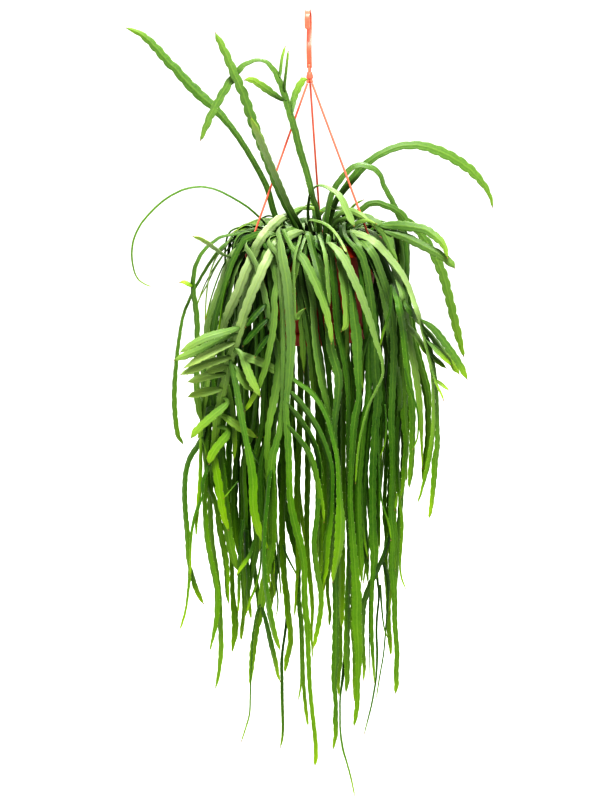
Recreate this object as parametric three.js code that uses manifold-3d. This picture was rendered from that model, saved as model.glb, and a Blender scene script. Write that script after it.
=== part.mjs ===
// Hanging pot with a trailing, flat-stemmed forest cactus (Lepismium bolivianum).
// Millimetres, +Z up.  The origin is the point of the hook that bears on the
// rod or eye it hangs from; everything else is below it.  -Y is the front.
import * as THREE from "three";
import { mergeVertices } from "three/addons/utils/BufferGeometryUtils.js";
import Module from "manifold-3d";

const wasm = await Module();
wasm.setup();

// ---------------------------------------------------------------- dimensions
const RIM_TOP_Z = -283; // top of the pot's rim
const RIM_TOP_R = 85.4; // outer radius of the rim at its top
const SKIRT_R = 91.0; // outer radius of the flared rim band at its lower edge
const SKIRT_Z = -297; // lower edge of the flared rim band
const WALL_TOP_R = 82.6; // outer radius of the wall under the rim
const WALL_BOTTOM_R = 64.0; // outer radius of the wall at the pot's floor
const POT_FLOOR_Z = -402; // underside of the pot's floor
const WALL_T = 2.2; // wall and floor thickness
const DRAIN_HOLES = 6;
const DRAIN_R = 4.0; // radius of one drainage hole
const DRAIN_PCR = 40; // radius of the circle they lie on
const SAUCER_TOP_Z = -393;
const SAUCER_BOTTOM_Z = -409;
const SAUCER_R = 70.5; // outer radius of the saucer's lip
const SAUCER_FOOT_R = 63;
const SAUCER_T = 1.8;
const SOIL_Z = -294; // level of the potting mix
const GAP = 0.4; // clearance between touching pieces
const JUNCTION_Z = -80; // where the three wires meet
const WIRE_FOOT_R = 93.66; // radius of the wires' lower ends
const WIRE_FOOT_Z = -298.2;
const WIRE_R = 1.3;
const WIRE_TURN = 5.7; // degrees the three wires are turned about the axis
const HOOK_T = 3.2; // thickness of the hook strap
const HOOK_W = 6.4; // width of the hook strap
const HOOK_IN_R = 9.4; // inner radius of the hook
const HOOK_TURN = -6.5; // degrees the hook is turned about the axis
const LATHE_SEG = 44;

// ------------------------------------------------------------------ materials
const terracotta = new THREE.MeshStandardMaterial({ color: 0xb8461c, roughness: 0.5, metalness: 0 });
const salmon = new THREE.MeshStandardMaterial({ color: 0xe8895c, roughness: 0.42, metalness: 0 });
const peat = new THREE.MeshStandardMaterial({ color: 0x2c2018, roughness: 0.95, metalness: 0 });
const greens = [0x6f9a3c, 0x86ac54, 0x5b8a22, 0x9fbf6c, 0x769f2a].map(
  (c) => new THREE.MeshStandardMaterial({ color: c, roughness: 0.55, metalness: 0 }),
);

// ------------------------------------------------------------------- helpers
function toSolid(geometry) {
  const g = geometry.index ? geometry.clone() : mergeVertices(geometry.clone());
  g.deleteAttribute("normal");
  g.deleteAttribute("uv");
  const m = mergeVertices(g, 1e-4);
  return new wasm.Manifold(
    new wasm.Mesh({
      numProp: 3,
      vertProperties: new Float32Array(m.attributes.position.array),
      triVerts: new Uint32Array(m.index.array),
    }),
  );
}
function toGeometry(solid) {
  const m = solid.getMesh();
  const g = new THREE.BufferGeometry();
  g.setAttribute("position", new THREE.BufferAttribute(new Float32Array(m.vertProperties), 3));
  g.setIndex(new THREE.BufferAttribute(new Uint32Array(m.triVerts), 1));
  g.computeVertexNormals();
  return g;
}
// A lathe about +Z from a closed outline of [radius, z] points.
function lathe(outline, seg = LATHE_SEG) {
  const pts = outline.map(([r, z]) => new THREE.Vector2(r, z));
  const g = new THREE.LatheGeometry(pts, seg);
  g.rotateX(Math.PI / 2);
  return outward(g);
}
// Flip the faces when they point inwards.
function outward(g) {
  g.deleteAttribute("normal");
  g.deleteAttribute("uv");
  const m = mergeVertices(g, 1e-4);
  const p = m.attributes.position;
  const ix = [];
  for (let i = 0; i < m.index.count; i += 3) {
    const a = m.index.getX(i), b = m.index.getX(i + 1), c = m.index.getX(i + 2);
    if (a !== b && b !== c && a !== c) ix.push(a, b, c);
  }
  let v = 0;
  const A = new THREE.Vector3(), B = new THREE.Vector3(), C = new THREE.Vector3();
  for (let i = 0; i < ix.length; i += 3) {
    A.fromBufferAttribute(p, ix[i]);
    B.fromBufferAttribute(p, ix[i + 1]);
    C.fromBufferAttribute(p, ix[i + 2]);
    v += A.dot(B.clone().cross(C));
  }
  if (v < 0) for (let i = 0; i < ix.length; i += 3) [ix[i], ix[i + 1]] = [ix[i + 1], ix[i]];
  m.setIndex(ix);
  return m;
}
const solidOf = (g) => toSolid(outward(g));
const all = new THREE.Group();
function put(name, geometry, material) {
  const mesh = new THREE.Mesh(geometry, material.clone());
  mesh.name = name;
  all.add(mesh);
  return mesh;
}

// ----------------------------------------------------------------------- pot
const potOutline = [
  [0, POT_FLOOR_Z],
  [WALL_BOTTOM_R - 2, POT_FLOOR_Z],
  [WALL_BOTTOM_R, POT_FLOOR_Z + 1.5],
  [WALL_TOP_R, SKIRT_Z + 9.5],
  [SKIRT_R - 1.7, SKIRT_Z],
  [SKIRT_R, SKIRT_Z],
  [RIM_TOP_R + 0.4, RIM_TOP_Z - 1.0],
  [RIM_TOP_R - 0.8, RIM_TOP_Z],
  [WALL_TOP_R - WALL_T + 0.6, RIM_TOP_Z],
  [WALL_TOP_R - WALL_T, RIM_TOP_Z - 1.2],
  [WALL_TOP_R - WALL_T - 0.4, SKIRT_Z],
  [WALL_BOTTOM_R - WALL_T, POT_FLOOR_Z + WALL_T + 0.6],
  [WALL_BOTTOM_R - WALL_T - 1.5, POT_FLOOR_Z + WALL_T],
  [0, POT_FLOOR_Z + WALL_T],
];
let pot = toSolid(lathe(potOutline));
for (let i = 0; i < DRAIN_HOLES; i++) {
  const a = (i / DRAIN_HOLES) * Math.PI * 2;
  const c = new THREE.CylinderGeometry(DRAIN_R, DRAIN_R, 8, 12);
  c.rotateX(Math.PI / 2);
  c.translate(DRAIN_PCR * Math.cos(a), DRAIN_PCR * Math.sin(a), POT_FLOOR_Z + 1);
  pot = pot.subtract(solidOf(c));
}
put("hanging_pot", toGeometry(pot), terracotta);

// ---------------------------------------------------- clip-on drip saucer
const saucerOutline = [
  [0, SAUCER_BOTTOM_Z],
  [SAUCER_FOOT_R, SAUCER_BOTTOM_Z],
  [SAUCER_FOOT_R + 1.5, SAUCER_BOTTOM_Z + 1.2],
  [SAUCER_R, SAUCER_TOP_Z - 1.2],
  [SAUCER_R, SAUCER_TOP_Z],
  [SAUCER_R - 1.5, SAUCER_TOP_Z],
  [SAUCER_FOOT_R + 0.6, SAUCER_BOTTOM_Z + SAUCER_T + 0.8],
  [SAUCER_FOOT_R - 0.6, SAUCER_BOTTOM_Z + SAUCER_T],
  [0, SAUCER_BOTTOM_Z + SAUCER_T],
];
let saucer = toSolid(lathe(saucerOutline));
// four ribs on its floor carry the pot and let water drain under it
for (let i = 0; i < 4; i++) {
  const h = POT_FLOOR_Z - GAP - (SAUCER_BOTTOM_Z + 0.9);
  const b = new THREE.BoxGeometry(34, 2.4, h);
  b.translate(36, 0, SAUCER_BOTTOM_Z + 0.9 + h / 2);
  b.rotateZ(Math.PI / 4 + (i * Math.PI) / 2 + 0.26);
  saucer = saucer.add(solidOf(b));
}
put("drip_saucer", toGeometry(saucer), terracotta);

// -------------------------------------------------------------- potting mix
const innerR = (z) => {
  const t = (SKIRT_Z - z) / (SKIRT_Z - (POT_FLOOR_Z + WALL_T + 0.6));
  return WALL_TOP_R - WALL_T - 0.4 + (WALL_BOTTOM_R - WALL_TOP_R + 0.4) * Math.max(0, t);
};
const soilBottom = POT_FLOOR_Z + WALL_T + GAP;
put(
  "potting_soil",
  lathe([
    [0, soilBottom],
    [innerR(soilBottom) - 1.5 - GAP, soilBottom],
    [innerR(soilBottom + 2) - GAP, soilBottom + 2],
    [innerR(SKIRT_Z) - GAP, SKIRT_Z],
    [innerR(SOIL_Z) - GAP, SOIL_Z - 1.5],
    [innerR(SOIL_Z) - 2 - GAP, SOIL_Z],
    [0, SOIL_Z],
  ]),
  peat,
);

// --------------------------------------------------------- hook with strap
// Side outline of the strap in the plane (y, z), made by offsetting its
// centreline by half the strap's thickness to both sides.
const cl = [];
const cr = HOOK_IN_R + HOOK_T / 2;
cl.push([0, -69.5], [0, -46], [2.6, -38.5], [8.2, -27.5], [10.6, -20.5]);
for (let i = 0; i <= 10; i++) {
  const a = (i / 10) * Math.PI;
  cl.push([cr * Math.cos(a), -HOOK_IN_R + cr * Math.sin(a)]);
}
cl.push([-cr - 0.2, -15.5], [-cr - 1.2, -20.6]);
function offset(path, d) {
  return path.map((p, i) => {
    const q = path[Math.max(0, i - 1)], r = path[Math.min(path.length - 1, i + 1)];
    const tx = r[0] - q[0], ty = r[1] - q[1], l = Math.hypot(tx, ty);
    return [p[0] - (ty / l) * d, p[1] + (tx / l) * d];
  });
}
const side = [...offset(cl, HOOK_T / 2), ...offset(cl, -HOOK_T / 2).reverse()];
const hookShape = new THREE.Shape(side.map(([y, z]) => new THREE.Vector2(y, z)));
const hookGeo = new THREE.ExtrudeGeometry(hookShape, { depth: HOOK_W, bevelEnabled: false, steps: 1 });
hookGeo.translate(0, 0, -HOOK_W / 2);
// shape x -> +Y, shape y -> +Z, extrusion -> +X
hookGeo.applyMatrix4(new THREE.Matrix4().set(0, 0, 1, 0, 1, 0, 0, 0, 0, 1, 0, 0, 0, 0, 0, 1));
let hook = solidOf(hookGeo);
// shallow groove along the front of the strap
const groove = new THREE.BoxGeometry(2.8, 1.4, 15.6);
groove.translate(0, -HOOK_T / 2, -55.1);
hook = hook.subtract(solidOf(groove));
// eye for the pin of the hub
const eye = new THREE.CylinderGeometry(1.5, 1.5, 12, 10);
eye.translate(0, 0, -66.5);
hook = hook.subtract(solidOf(eye));
const hookG = toGeometry(hook);
hookG.rotateZ(THREE.MathUtils.degToRad(HOOK_TURN));
put("hanger_hook", hookG, salmon);

// ------------------------------------------------ hub that joins the wires
// A short bar crosses the strap's eye; a fork carries it down to the hub.
let hub = solidOf((() => {
  const g = new THREE.CylinderGeometry(1.1, 1.1, 2 * 3.4, 10);
  g.translate(0, 0, -66.5);
  return g;
})());
for (const s of [-1, 1]) {
  const g = new THREE.BoxGeometry(2.6, 1.2, 11.5);
  g.translate(0, s * (HOOK_T / 2 + GAP + 0.6), -70.2);
  hub = hub.add(solidOf(g));
}
const hubBody = new THREE.CylinderGeometry(2.6, 4.2, 8, 12);
hubBody.rotateX(Math.PI / 2);
hubBody.translate(0, 0, -78);
hub = hub.add(solidOf(hubBody));
const hubG = toGeometry(hub);
hubG.rotateZ(THREE.MathUtils.degToRad(HOOK_TURN));

// -------------------------------------------------------------- three wires
const wireNames = ["hanger_wire_back", "hanger_wire_right", "hanger_wire_left"];
const wireAz = [90, -30, 210].map((a) => THREE.MathUtils.degToRad(a - WIRE_TURN));
const wireSolids = wireAz.map((az) => {
  const dir = new THREE.Vector3(WIRE_FOOT_R, 0, WIRE_FOOT_Z - JUNCTION_Z);
  const len = dir.length();
  dir.normalize();
  const start = 9; // the first stretch belongs to the hub's socket
  const rod = new THREE.CylinderGeometry(WIRE_R, WIRE_R, len - start, 10);
  rod.rotateX(Math.PI / 2);
  rod.translate(0, 0, (len - start) / 2);
  // +Z of the rod onto the wire's direction
  const tilt = Math.atan2(dir.x, dir.z);
  rod.rotateY(tilt);
  rod.translate(dir.x * start, 0, JUNCTION_Z + dir.z * start);
  let s = solidOf(rod);
  // clip: a flat shank on the last stretch and a toe under the rim band
  const shank = new THREE.BoxGeometry(2.6, 4.4, 13);
  shank.rotateY(tilt);
  shank.translate(WIRE_FOOT_R - dir.x * 5.2 + 0.1, 0, WIRE_FOOT_Z - dir.z * 5.2);
  s = s.add(solidOf(shank));
  const toe = new THREE.BoxGeometry(6.4, 4.4, 1.8);
  toe.translate(WIRE_FOOT_R - 1.9, 0, SKIRT_Z - GAP - 0.9);
  s = s.add(solidOf(toe));
  return s.rotate([0, 0, THREE.MathUtils.radToDeg(az)]);
});
wireSolids.forEach((s, i) => put(wireNames[i], toGeometry(s), salmon));
// three short sockets on the hub, each ending just before its wire
let hubSolid = toSolid(hubG);
for (const az of wireAz) {
  const dir = new THREE.Vector3(WIRE_FOOT_R, 0, WIRE_FOOT_Z - JUNCTION_Z).normalize();
  const g = new THREE.CylinderGeometry(1.9, 1.9, 8.4, 10);
  g.rotateX(Math.PI / 2);
  g.translate(0, 0, 4.2);
  g.rotateY(Math.atan2(dir.x, dir.z));
  g.translate(0, 0, JUNCTION_Z);
  g.rotateZ(az);
  hubSolid = hubSolid.add(solidOf(g));
}
put("hanger_hub", toGeometry(hubSolid), salmon);

// --------------------------------------------------------------------- stems
// Each stem is a flat ribbon with a thicker middle: a row of diamond sections
// on its centreline.  One ring is [x, y, z, width, thickness, sx, sy, sz],
// where s is the direction of the width, in thousandths.
function ribbon(rings) {
  const n = rings.length;
  const P = rings.map((r) => new THREE.Vector3(r[0], r[1], r[2]));
  const pos = [];
  for (let i = 0; i < n; i++) {
    const t = P[Math.min(n - 1, i + 1)].clone().sub(P[Math.max(0, i - 1)]).normalize();
    const s = new THREE.Vector3(rings[i][5], rings[i][6], rings[i][7]);
    s.addScaledVector(t, -s.dot(t)).normalize();
    const nn = t.clone().cross(s);
    const w = rings[i][3] / 2, h = rings[i][4] / 2;
    for (const [a, b] of [[w, 0], [0, h], [-w, 0], [0, -h]]) {
      const q = P[i].clone().addScaledVector(s, a).addScaledVector(nn, b);
      pos.push(q.x, q.y, q.z);
    }
  }
  const ix = [];
  for (let i = 0; i < n - 1; i++)
    for (let k = 0; k < 4; k++) {
      const a = i * 4 + k, b = i * 4 + ((k + 1) % 4);
      ix.push(a, b, b + 4, a, b + 4, a + 4);
    }
  const e = (n - 1) * 4;
  ix.push(0, 2, 1, 0, 3, 2, e, e + 1, e + 2, e, e + 2, e + 3);
  const g = new THREE.BufferGeometry();
  g.setAttribute("position", new THREE.BufferAttribute(new Float32Array(pos), 3));
  g.setIndex(ix);
  return outward(g);
}

// prettier-ignore
const stems = {
  stem_back_left_short: [
    [[-26.4,22.7,-292.6,4.9,2.4,-686,-712,-149],[-47.5,25.3,-257.1,7.9,2.8,-846,-425,-322],[-70.4,30.2,-192.9,7,2.8,-884,-69,-461],[-104.1,38.5,-139,8.2,2.8,-784,-81,-615],[-123.5,41.7,-115.9,11.1,2.8,-720,-84,-689],[-145.4,43.9,-95.3,13.1,2.8,-746,-84,-661],[-202.5,46,-30.7,8.6,2.8,-700,-83,-709],[-214.4,45.6,-21.8,6.1,2.8,-478,-76,-875],[-228.3,44.9,-16,2.6,1.5,-325,-68,-943]],
  ],
  stem_front_left_short_1: [
    [[-12,-12,-292.6,3.9,2,-910,414,13],[-36,-31.8,-231.4,8.2,2.8,-929,44,-366],[-58.5,-45.7,-168.3,10.2,2.8,-949,-50,-311],[-84.6,-55.6,-87.2,10.3,2.8,-926,-54,-373],[-100.7,-58.5,-46.4,8.8,2.8,-920,-54,-388],[-112.8,-60,-20.1,2.8,1.5,-905,-56,-421]],
  ],
  stem_front_left_short_2: [
    [[6,-8,-292.6,4.4,2.2,-818,-576,-8],[4.7,-26.7,-240.6,7.1,2.8,-729,-541,-419],[-1.7,-37.5,-217.1,8.6,2.8,-775,-563,-286],[-8.4,-37.5,-188.1,9.6,2.8,-760,-600,-250],[-32.9,-46.8,-91.5,9.7,2.8,-745,-605,-282],[-43,-47.8,-68,7.8,2.8,-655,-626,-423],[-52.7,-48.1,-57.2,5.8,2.8,-399,-661,-635],[-66.5,-48.5,-55.1,5.3,2.7,159,-640,-752],[-85.7,-49.1,-64.9,8.9,2.8,572,-608,-551],[-113.3,-48,-103.9,10.9,2.8,682,-583,-441],[-136.3,-45,-150.5,4.7,2.3,736,-573,-362]],
    [[-38.3,-47.5,-77.9,4.8,2.4,-820,557,130],[-29.2,-35.4,-40.6,3.2,1.6,-793,592,141]],
    [[-31.9,-46.6,-95,4.8,2.4,-789,543,287],[-28.8,-56.4,-69.6,4,2,-773,577,264],[-25.3,-61.2,-44.7,3.2,1.6,-775,594,216]],
    [[-29.1,-45.9,-105.8,5.4,2.7,-586,574,-571],[-47.8,-56.5,-93.6,8,2.8,-615,-69,-785],[-65.6,-62.2,-79.9,7.8,2.8,-557,-70,-827],[-71.9,-63.3,-77,7.1,2.8,-156,-72,-985],[-79.1,-64.5,-77.4,3.6,1.8,143,-65,-988]],
    [[-24.8,-44.5,-123.7,5.8,2.8,-740,664,-109],[-20.2,-36.2,-103.7,7.6,2.8,-959,15,283],[-14.1,-32.7,-90.4,8.5,2.8,-876,31,482],[-7.8,-31,-81.9,7.9,2.8,-556,57,829],[-2.6,-30.5,-81.3,3.8,1.9,99,69,993]],
  ],
  stem_back_right_short_1: [
    [[15,22,-292.6,5.3,2.6,-666,746,-21],[22.9,22.7,-256.9,7.6,2.8,-814,529,240],[41.2,24.2,-223.2,8.7,2.8,-750,319,580],[68.6,26.7,-193.1,9.3,2.8,-612,332,718],[112.7,30.8,-172.3,9.4,2.8,-116,345,931],[142.9,32.4,-173.6,11.5,2.8,218,323,921],[164.3,33.2,-181.7,13.1,2.8,390,307,868],[184.2,34,-193,12.5,2.8,551,290,783],[202.3,34.6,-207.1,11.1,2.8,677,271,684],[217,35.2,-224.9,7.7,2.8,784,248,569],[224.4,35.5,-238.3,4.6,2.3,908,217,358],[227.8,36,-253.3,2.3,1.5,973,183,138]],
  ],
  stem_front_right_mid_1: [
    [[12,5.3,-292.6,5,2.5,-704,710,25],[15.2,4.8,-267.7,8.3,2.8,-672,729,134],[19.9,4.6,-243.2,10.1,2.8,-646,753,130],[25.9,4.9,-223.4,10.7,2.8,-594,762,257],[36.8,5.4,-206.9,10.3,2.8,-478,784,397],[48.7,5.8,-196.6,10,2.8,-301,801,517],[68.3,6,-196.7,9.7,2.8,205,790,578],[86.7,6.1,-210.4,8.7,2.8,532,812,237],[91.5,6.1,-222.3,8.2,2.8,603,745,284],[100.5,6,-240.1,8.6,2.8,631,724,279],[110.2,5.8,-268.1,9.1,2.8,699,704,124],[111.4,5,-313.5,10.8,2.8,731,681,-44],[108,-1.8,-362.3,7.3,2.8,728,658,-191],[106.5,-28,-450,12.6,2.8,729,659,-185],[107.5,-38.6,-498.2,12.6,2.8,730,676,-103],[109.3,-45.1,-543.3,9,2.8,731,674,-107],[101.1,-50,-607.8,3.6,1.8,738,640,-213]],
  ],
  stem_front_right_short_1: [
    [[32,-8,-292.6,5,2.5,-705,708,47],[42.4,-7.6,-266.1,6.4,2.8,-729,529,434],[57.8,-7.7,-249.3,7.1,2.8,-603,329,727],[82.4,-8.4,-240.1,7.5,2.8,134,117,984],[112.1,-9.3,-255.1,8.2,2.8,699,65,712],[137,-9.9,-283.2,9.7,2.8,814,42,580],[155.1,-8.9,-316.8,11.1,2.8,921,10,388],[164.7,-7.2,-346.1,11.1,2.8,972,-17,233],[185.9,0,-438,4.4,2.2,973,-17,230]],
  ],
  stem_front_right_short_2: [
    [[25.1,-27,-292.6,3.9,1.9,-911,413,-1],[21.6,-32.9,-276.1,4.4,2.2,-917,384,109],[27.5,-37.1,-257.7,5.2,2.6,-567,395,723],[56.7,-46.9,-248.6,6.3,2.8,127,273,954],[70.9,-51.5,-254,9.9,2.8,550,175,816],[82.6,-55.8,-263.8,11,2.8,771,90,630],[102.3,-66.3,-304.3,4.1,2.1,842,49,537]],
    [[80,-54.8,-261,7.5,2.8,164,780,605],[113.7,-64.6,-260.9,11.2,2.8,103,126,987],[138.6,-72,-266.2,10,2.8,478,94,873],[157.5,-79.5,-282.3,7.5,2.8,839,31,543],[162.6,-84.7,-299.1,2.8,1.5,991,-37,125]],
    [[84.9,-56.8,-266.7,7.3,2.8,252,778,575],[123.6,-65.4,-280,10.7,2.8,489,99,867],[159.1,-73.5,-300,9.7,2.8,596,84,799],[171.7,-77.3,-313.1,5.5,2.7,828,35,560]],
  ],
  stem_front_middle_short_1: [
    [[0,4.3,-292.6,4.9,2.4,625,754,203],[-6.6,-10.3,-252.7,5.2,2.6,600,727,334],[-6.1,-14.9,-240.9,5.2,2.6,602,748,279],[-2,-24.8,-221.6,5.2,2.6,597,762,251],[5.2,-33.7,-212.9,5.3,2.6,644,717,266],[18.9,-49.4,-213.2,7.7,2.8,797,550,251],[33.2,-68.5,-221.9,10.5,2.8,864,503,16],[40.5,-83.1,-236.8,11.6,2.8,820,565,-96],[49,-95.6,-255.4,8.7,2.8,777,629,0]],
  ],
  stem_front_right_mid_2: [
    [[28.3,-11.1,-292.6,5.6,2.8,-426,736,526],[24.9,-13.8,-289,9.2,2.8,346,705,619],[25.7,-18.5,-283.6,10.9,2.8,317,724,613],[31.1,-28.3,-277,11.9,2.8,432,562,705],[42.9,-50.6,-269.8,11.9,2.8,490,514,704],[57.9,-63.5,-268.8,11.9,2.8,566,650,507],[75.5,-75.7,-274.9,12.5,2.8,587,696,413],[81.4,-76.4,-279.3,13.4,2.8,334,747,575],[88.9,-74.4,-287.1,13.5,2.8,495,785,372],[106.2,-78,-312.1,11.5,2.8,630,762,148],[118.1,-84.9,-341.4,9.5,2.8,717,690,-98],[123.9,-98.3,-360.8,8.5,2.8,724,678,126],[131.3,-87.4,-388.1,7.6,2.8,604,752,265],[142,-84,-440.7,6.6,2.8,642,754,139],[143,-81.7,-471.4,6,2.8,674,737,51],[142.1,-79.4,-513.9,8.1,2.8,686,728,-20],[138.6,-78.6,-540.7,9,2.8,693,714,-98],[121.4,-78,-607.9,2.6,1.5,683,680,-265]],
    [[127.2,-94.2,-372.3,3.8,1.9,468,642,608],[149.3,-95.1,-391.5,10.7,2.8,694,604,393],[168.2,-99.2,-418.3,10.2,2.8,709,596,377],[183.6,-100,-448.1,4.6,2.3,772,567,287]],
    [[129.4,-89.9,-380.3,6.2,2.8,355,771,529],[150,-80.2,-408.4,10,2.8,390,826,407],[170,-77.7,-435.9,13.6,2.8,468,823,323],[175.2,-77.5,-445.9,6.2,2.8,530,809,253]],
    [[133.8,-86.5,-399.3,4.3,2.1,636,704,316],[153.1,-93.8,-416.5,11.9,2.8,569,728,381],[165.5,-97.1,-430.6,5.2,2.6,621,714,323]],
    [[136,-85.9,-410.5,5.7,2.8,406,721,562],[147.5,-78.3,-427.4,9.4,2.8,254,753,607],[159.4,-73,-438.8,3.8,1.9,279,775,567]],
    [[128.3,-91.9,-376.4,4.7,2.3,589,698,407],[139.7,-82.2,-410.2,7.2,2.8,627,730,271],[147.4,-75.1,-468.2,5.6,2.8,708,702,81],[147,-71.9,-538.2,9.5,2.8,725,686,-64],[135.1,-71.7,-630.6,3.7,1.9,732,650,-205]],
    [[146.5,-76.7,-452.6,4,2,668,631,396],[161.4,-85.9,-464.1,3.2,1.6,688,625,370]],
    [[141.4,-84.3,-436.9,3.2,1.6,841,443,-312],[141.9,-86.8,-440.9,3.4,1.7,833,548,-76],[154.4,-97,-474.3,2.1,1.5,795,595,116]],
  ],
  stem_front_left_long_1: [
    [[-7.9,-22,-292.6,3.6,1.8,286,-851,-440],[-10.7,-44.3,-271.2,5.1,2.6,333,-557,-761],[-14,-55.9,-266.1,5.8,2.8,413,-356,-838],[-18.9,-68.5,-265,9.2,2.8,521,-170,-836],[-25.7,-81.1,-267.8,11.1,2.8,610,-125,-782],[-40.4,-99.5,-275.2,11.4,2.8,631,-264,-729],[-48.1,-103.6,-282,11.4,2.8,788,-110,-606],[-56.5,-113.5,-292.8,11.4,2.8,843,-93,-530],[-62.3,-117.8,-301.6,11.4,2.8,871,-60,-488],[-77.5,-115.7,-331.6,11.4,2.8,915,-40,-402],[-96.9,-100,-386.7,11.1,2.8,942,-26,-335],[-107.5,-88.1,-417.2,10.8,2.8,950,-21,-311],[-120.1,-66.8,-465.4,10.4,2.8,972,-7,-236],[-127.2,-57.9,-497.2,10.2,2.8,985,6,-175],[-133.4,-55.3,-551.4,9.2,2.8,994,56,92],[-125.1,-55.2,-617.1,9,2.8,984,85,157],[-118.3,-55,-643.6,3.8,1.9,939,122,322]],
    [[-93.2,-103.3,-375.5,5.3,2.6,415,-405,-815],[-117.2,-113.9,-380,10.6,2.8,337,-494,-802],[-134.6,-118.2,-384,10.6,2.8,321,-497,-806],[-166.3,-121.1,-400.7,4,2,539,-432,-723]],
    [[-95.6,-101.2,-383,6.5,2.8,-41,-748,-662],[-113.6,-99.3,-387.8,8.5,2.8,304,-502,-810],[-140.6,-97.5,-401.4,10.6,2.8,313,-501,-807],[-175.7,-96.6,-415,4.9,2.4,308,-502,-808]],
    [[-99.6,-97.4,-394.2,5.9,2.8,499,-596,-629],[-132.1,-107.9,-405.7,10.4,2.8,435,-472,-767],[-163.6,-110.8,-422.7,3,1.5,428,-475,-769]],
    [[-106.2,-89.8,-413.3,6,2.8,559,-585,-588],[-137.1,-101.2,-420.2,10.4,2.8,333,-501,-799],[-167.9,-105.1,-431.8,4.5,2.2,399,-484,-779]],
    [[-109.9,-84.6,-425,7.8,2.8,115,-836,-537],[-118.9,-83.3,-428.3,11.5,2.8,130,-672,-729],[-139.5,-81.2,-435.3,5.8,2.8,256,-519,-816]],
    [[-113.2,-79.1,-437,6.4,2.8,236,-708,-666],[-136.4,-84.7,-438.3,11.1,2.8,208,-528,-824],[-160.6,-87.9,-444.8,4.8,2.4,268,-518,-813]],
    [[-118.2,-70.1,-457.3,6.3,2.8,516,-652,-555],[-122.7,-72,-458.4,8.8,2.8,335,-636,-695],[-140.8,-76.1,-460.6,11.6,2.8,191,-534,-823],[-161.8,-79.5,-465.4,4.7,2.4,362,-501,-786]],
    [[-121.1,-65.3,-469.4,4.8,2.4,398,414,818],[-113.1,-68.8,-474,4.8,2.4,990,69,123],[-116.5,-71.8,-479,8.4,2.8,698,-377,-608],[-142.1,-77.6,-498.6,10.5,2.8,602,-426,-675],[-160,-78.8,-517.8,4.8,2.4,794,-312,-521]],
    [[-126.5,-58.6,-493.3,5.5,2.8,90,-177,980],[-116,-61.6,-496.6,8.4,2.8,569,204,797],[-100.6,-66.5,-507.4,11,2.8,575,472,668],[-78,-70.1,-521.3,4.1,2.1,456,510,729]],
    [[-129,-56.5,-508.9,6.2,2.8,30,-531,847],[-115.7,-58.4,-511.4,6.2,2.8,539,299,788],[-122.1,-63,-525.6,10.6,2.8,727,-366,-581],[-134.2,-64.5,-540.5,10.2,2.8,806,-310,-504],[-139.4,-65.3,-554.8,5.3,2.6,979,-83,-186]],
    [[-102.3,-94.6,-401.8,5.3,2.6,473,-105,875],[-94.1,-98.8,-408.3,7,2.8,820,133,556],[-88.5,-104.2,-421,10.3,2.8,947,195,256],[-81,-109.2,-441,10.6,2.8,893,264,364],[-71.6,-109.8,-461,4,2,887,270,375]],
    [[-103.6,-93,-405.6,5.8,2.8,214,-283,935],[-76.4,-103.3,-416.3,10.7,2.8,349,291,891],[-50.2,-104.5,-430.3,9.3,2.8,457,280,844],[-40.1,-111.9,-434,4.4,2.2,523,260,811]],
    [[-109.9,-84.6,-425,6.2,2.8,70,-378,923],[-101,-88.4,-429.3,7.5,2.8,766,14,643],[-91.8,-94.1,-444,10.8,2.8,786,356,505],[-79.9,-96.1,-457.3,4.6,2.3,671,421,610]],
    [[-107.5,-88.1,-417.2,5.5,2.7,940,-327,99],[-97.3,-95.2,-479,8.9,2.8,937,-314,153],[-85.7,-98.8,-549.5,10.5,2.8,937,-316,151],[-83.4,-99.2,-610.6,10.9,2.8,940,-316,127],[-78.3,-99.3,-633,9.6,2.8,908,-273,318],[-68,-99.1,-657.9,3.4,1.7,901,-261,347]],
    [[-124.8,-60.3,-485.4,6.2,2.8,-16,-60,-998],[-136.7,-50.7,-486.5,6.2,2.8,115,-246,-963],[-140.2,-45.9,-490.4,6.2,2.8,461,-669,-583],[-148,-35.3,-524.8,8.1,2.8,453,-777,-438],[-166.5,-21.3,-558,10.4,2.8,416,-782,-464],[-173,-14,-582.6,10.4,2.8,585,-760,-284],[-175.1,-4.8,-632.5,10.4,2.8,663,-746,-58],[-172.3,-2,-709.3,7.3,2.8,644,-765,-3],[-179.4,-2,-761.5,4.2,2.1,590,-798,-124],[-188,-2,-788.6,2.7,1.5,526,-824,-209]],
    [[-172.4,-2,-705.3,8,2.8,142,777,613],[-170.8,0.7,-710.9,9.5,2.8,314,900,301],[-166.9,4.8,-731.7,10.8,2.8,389,892,231],[-156.7,8.3,-758,4.6,2.3,326,909,258]],
  ],
  stem_front_left_long_2: [
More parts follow.
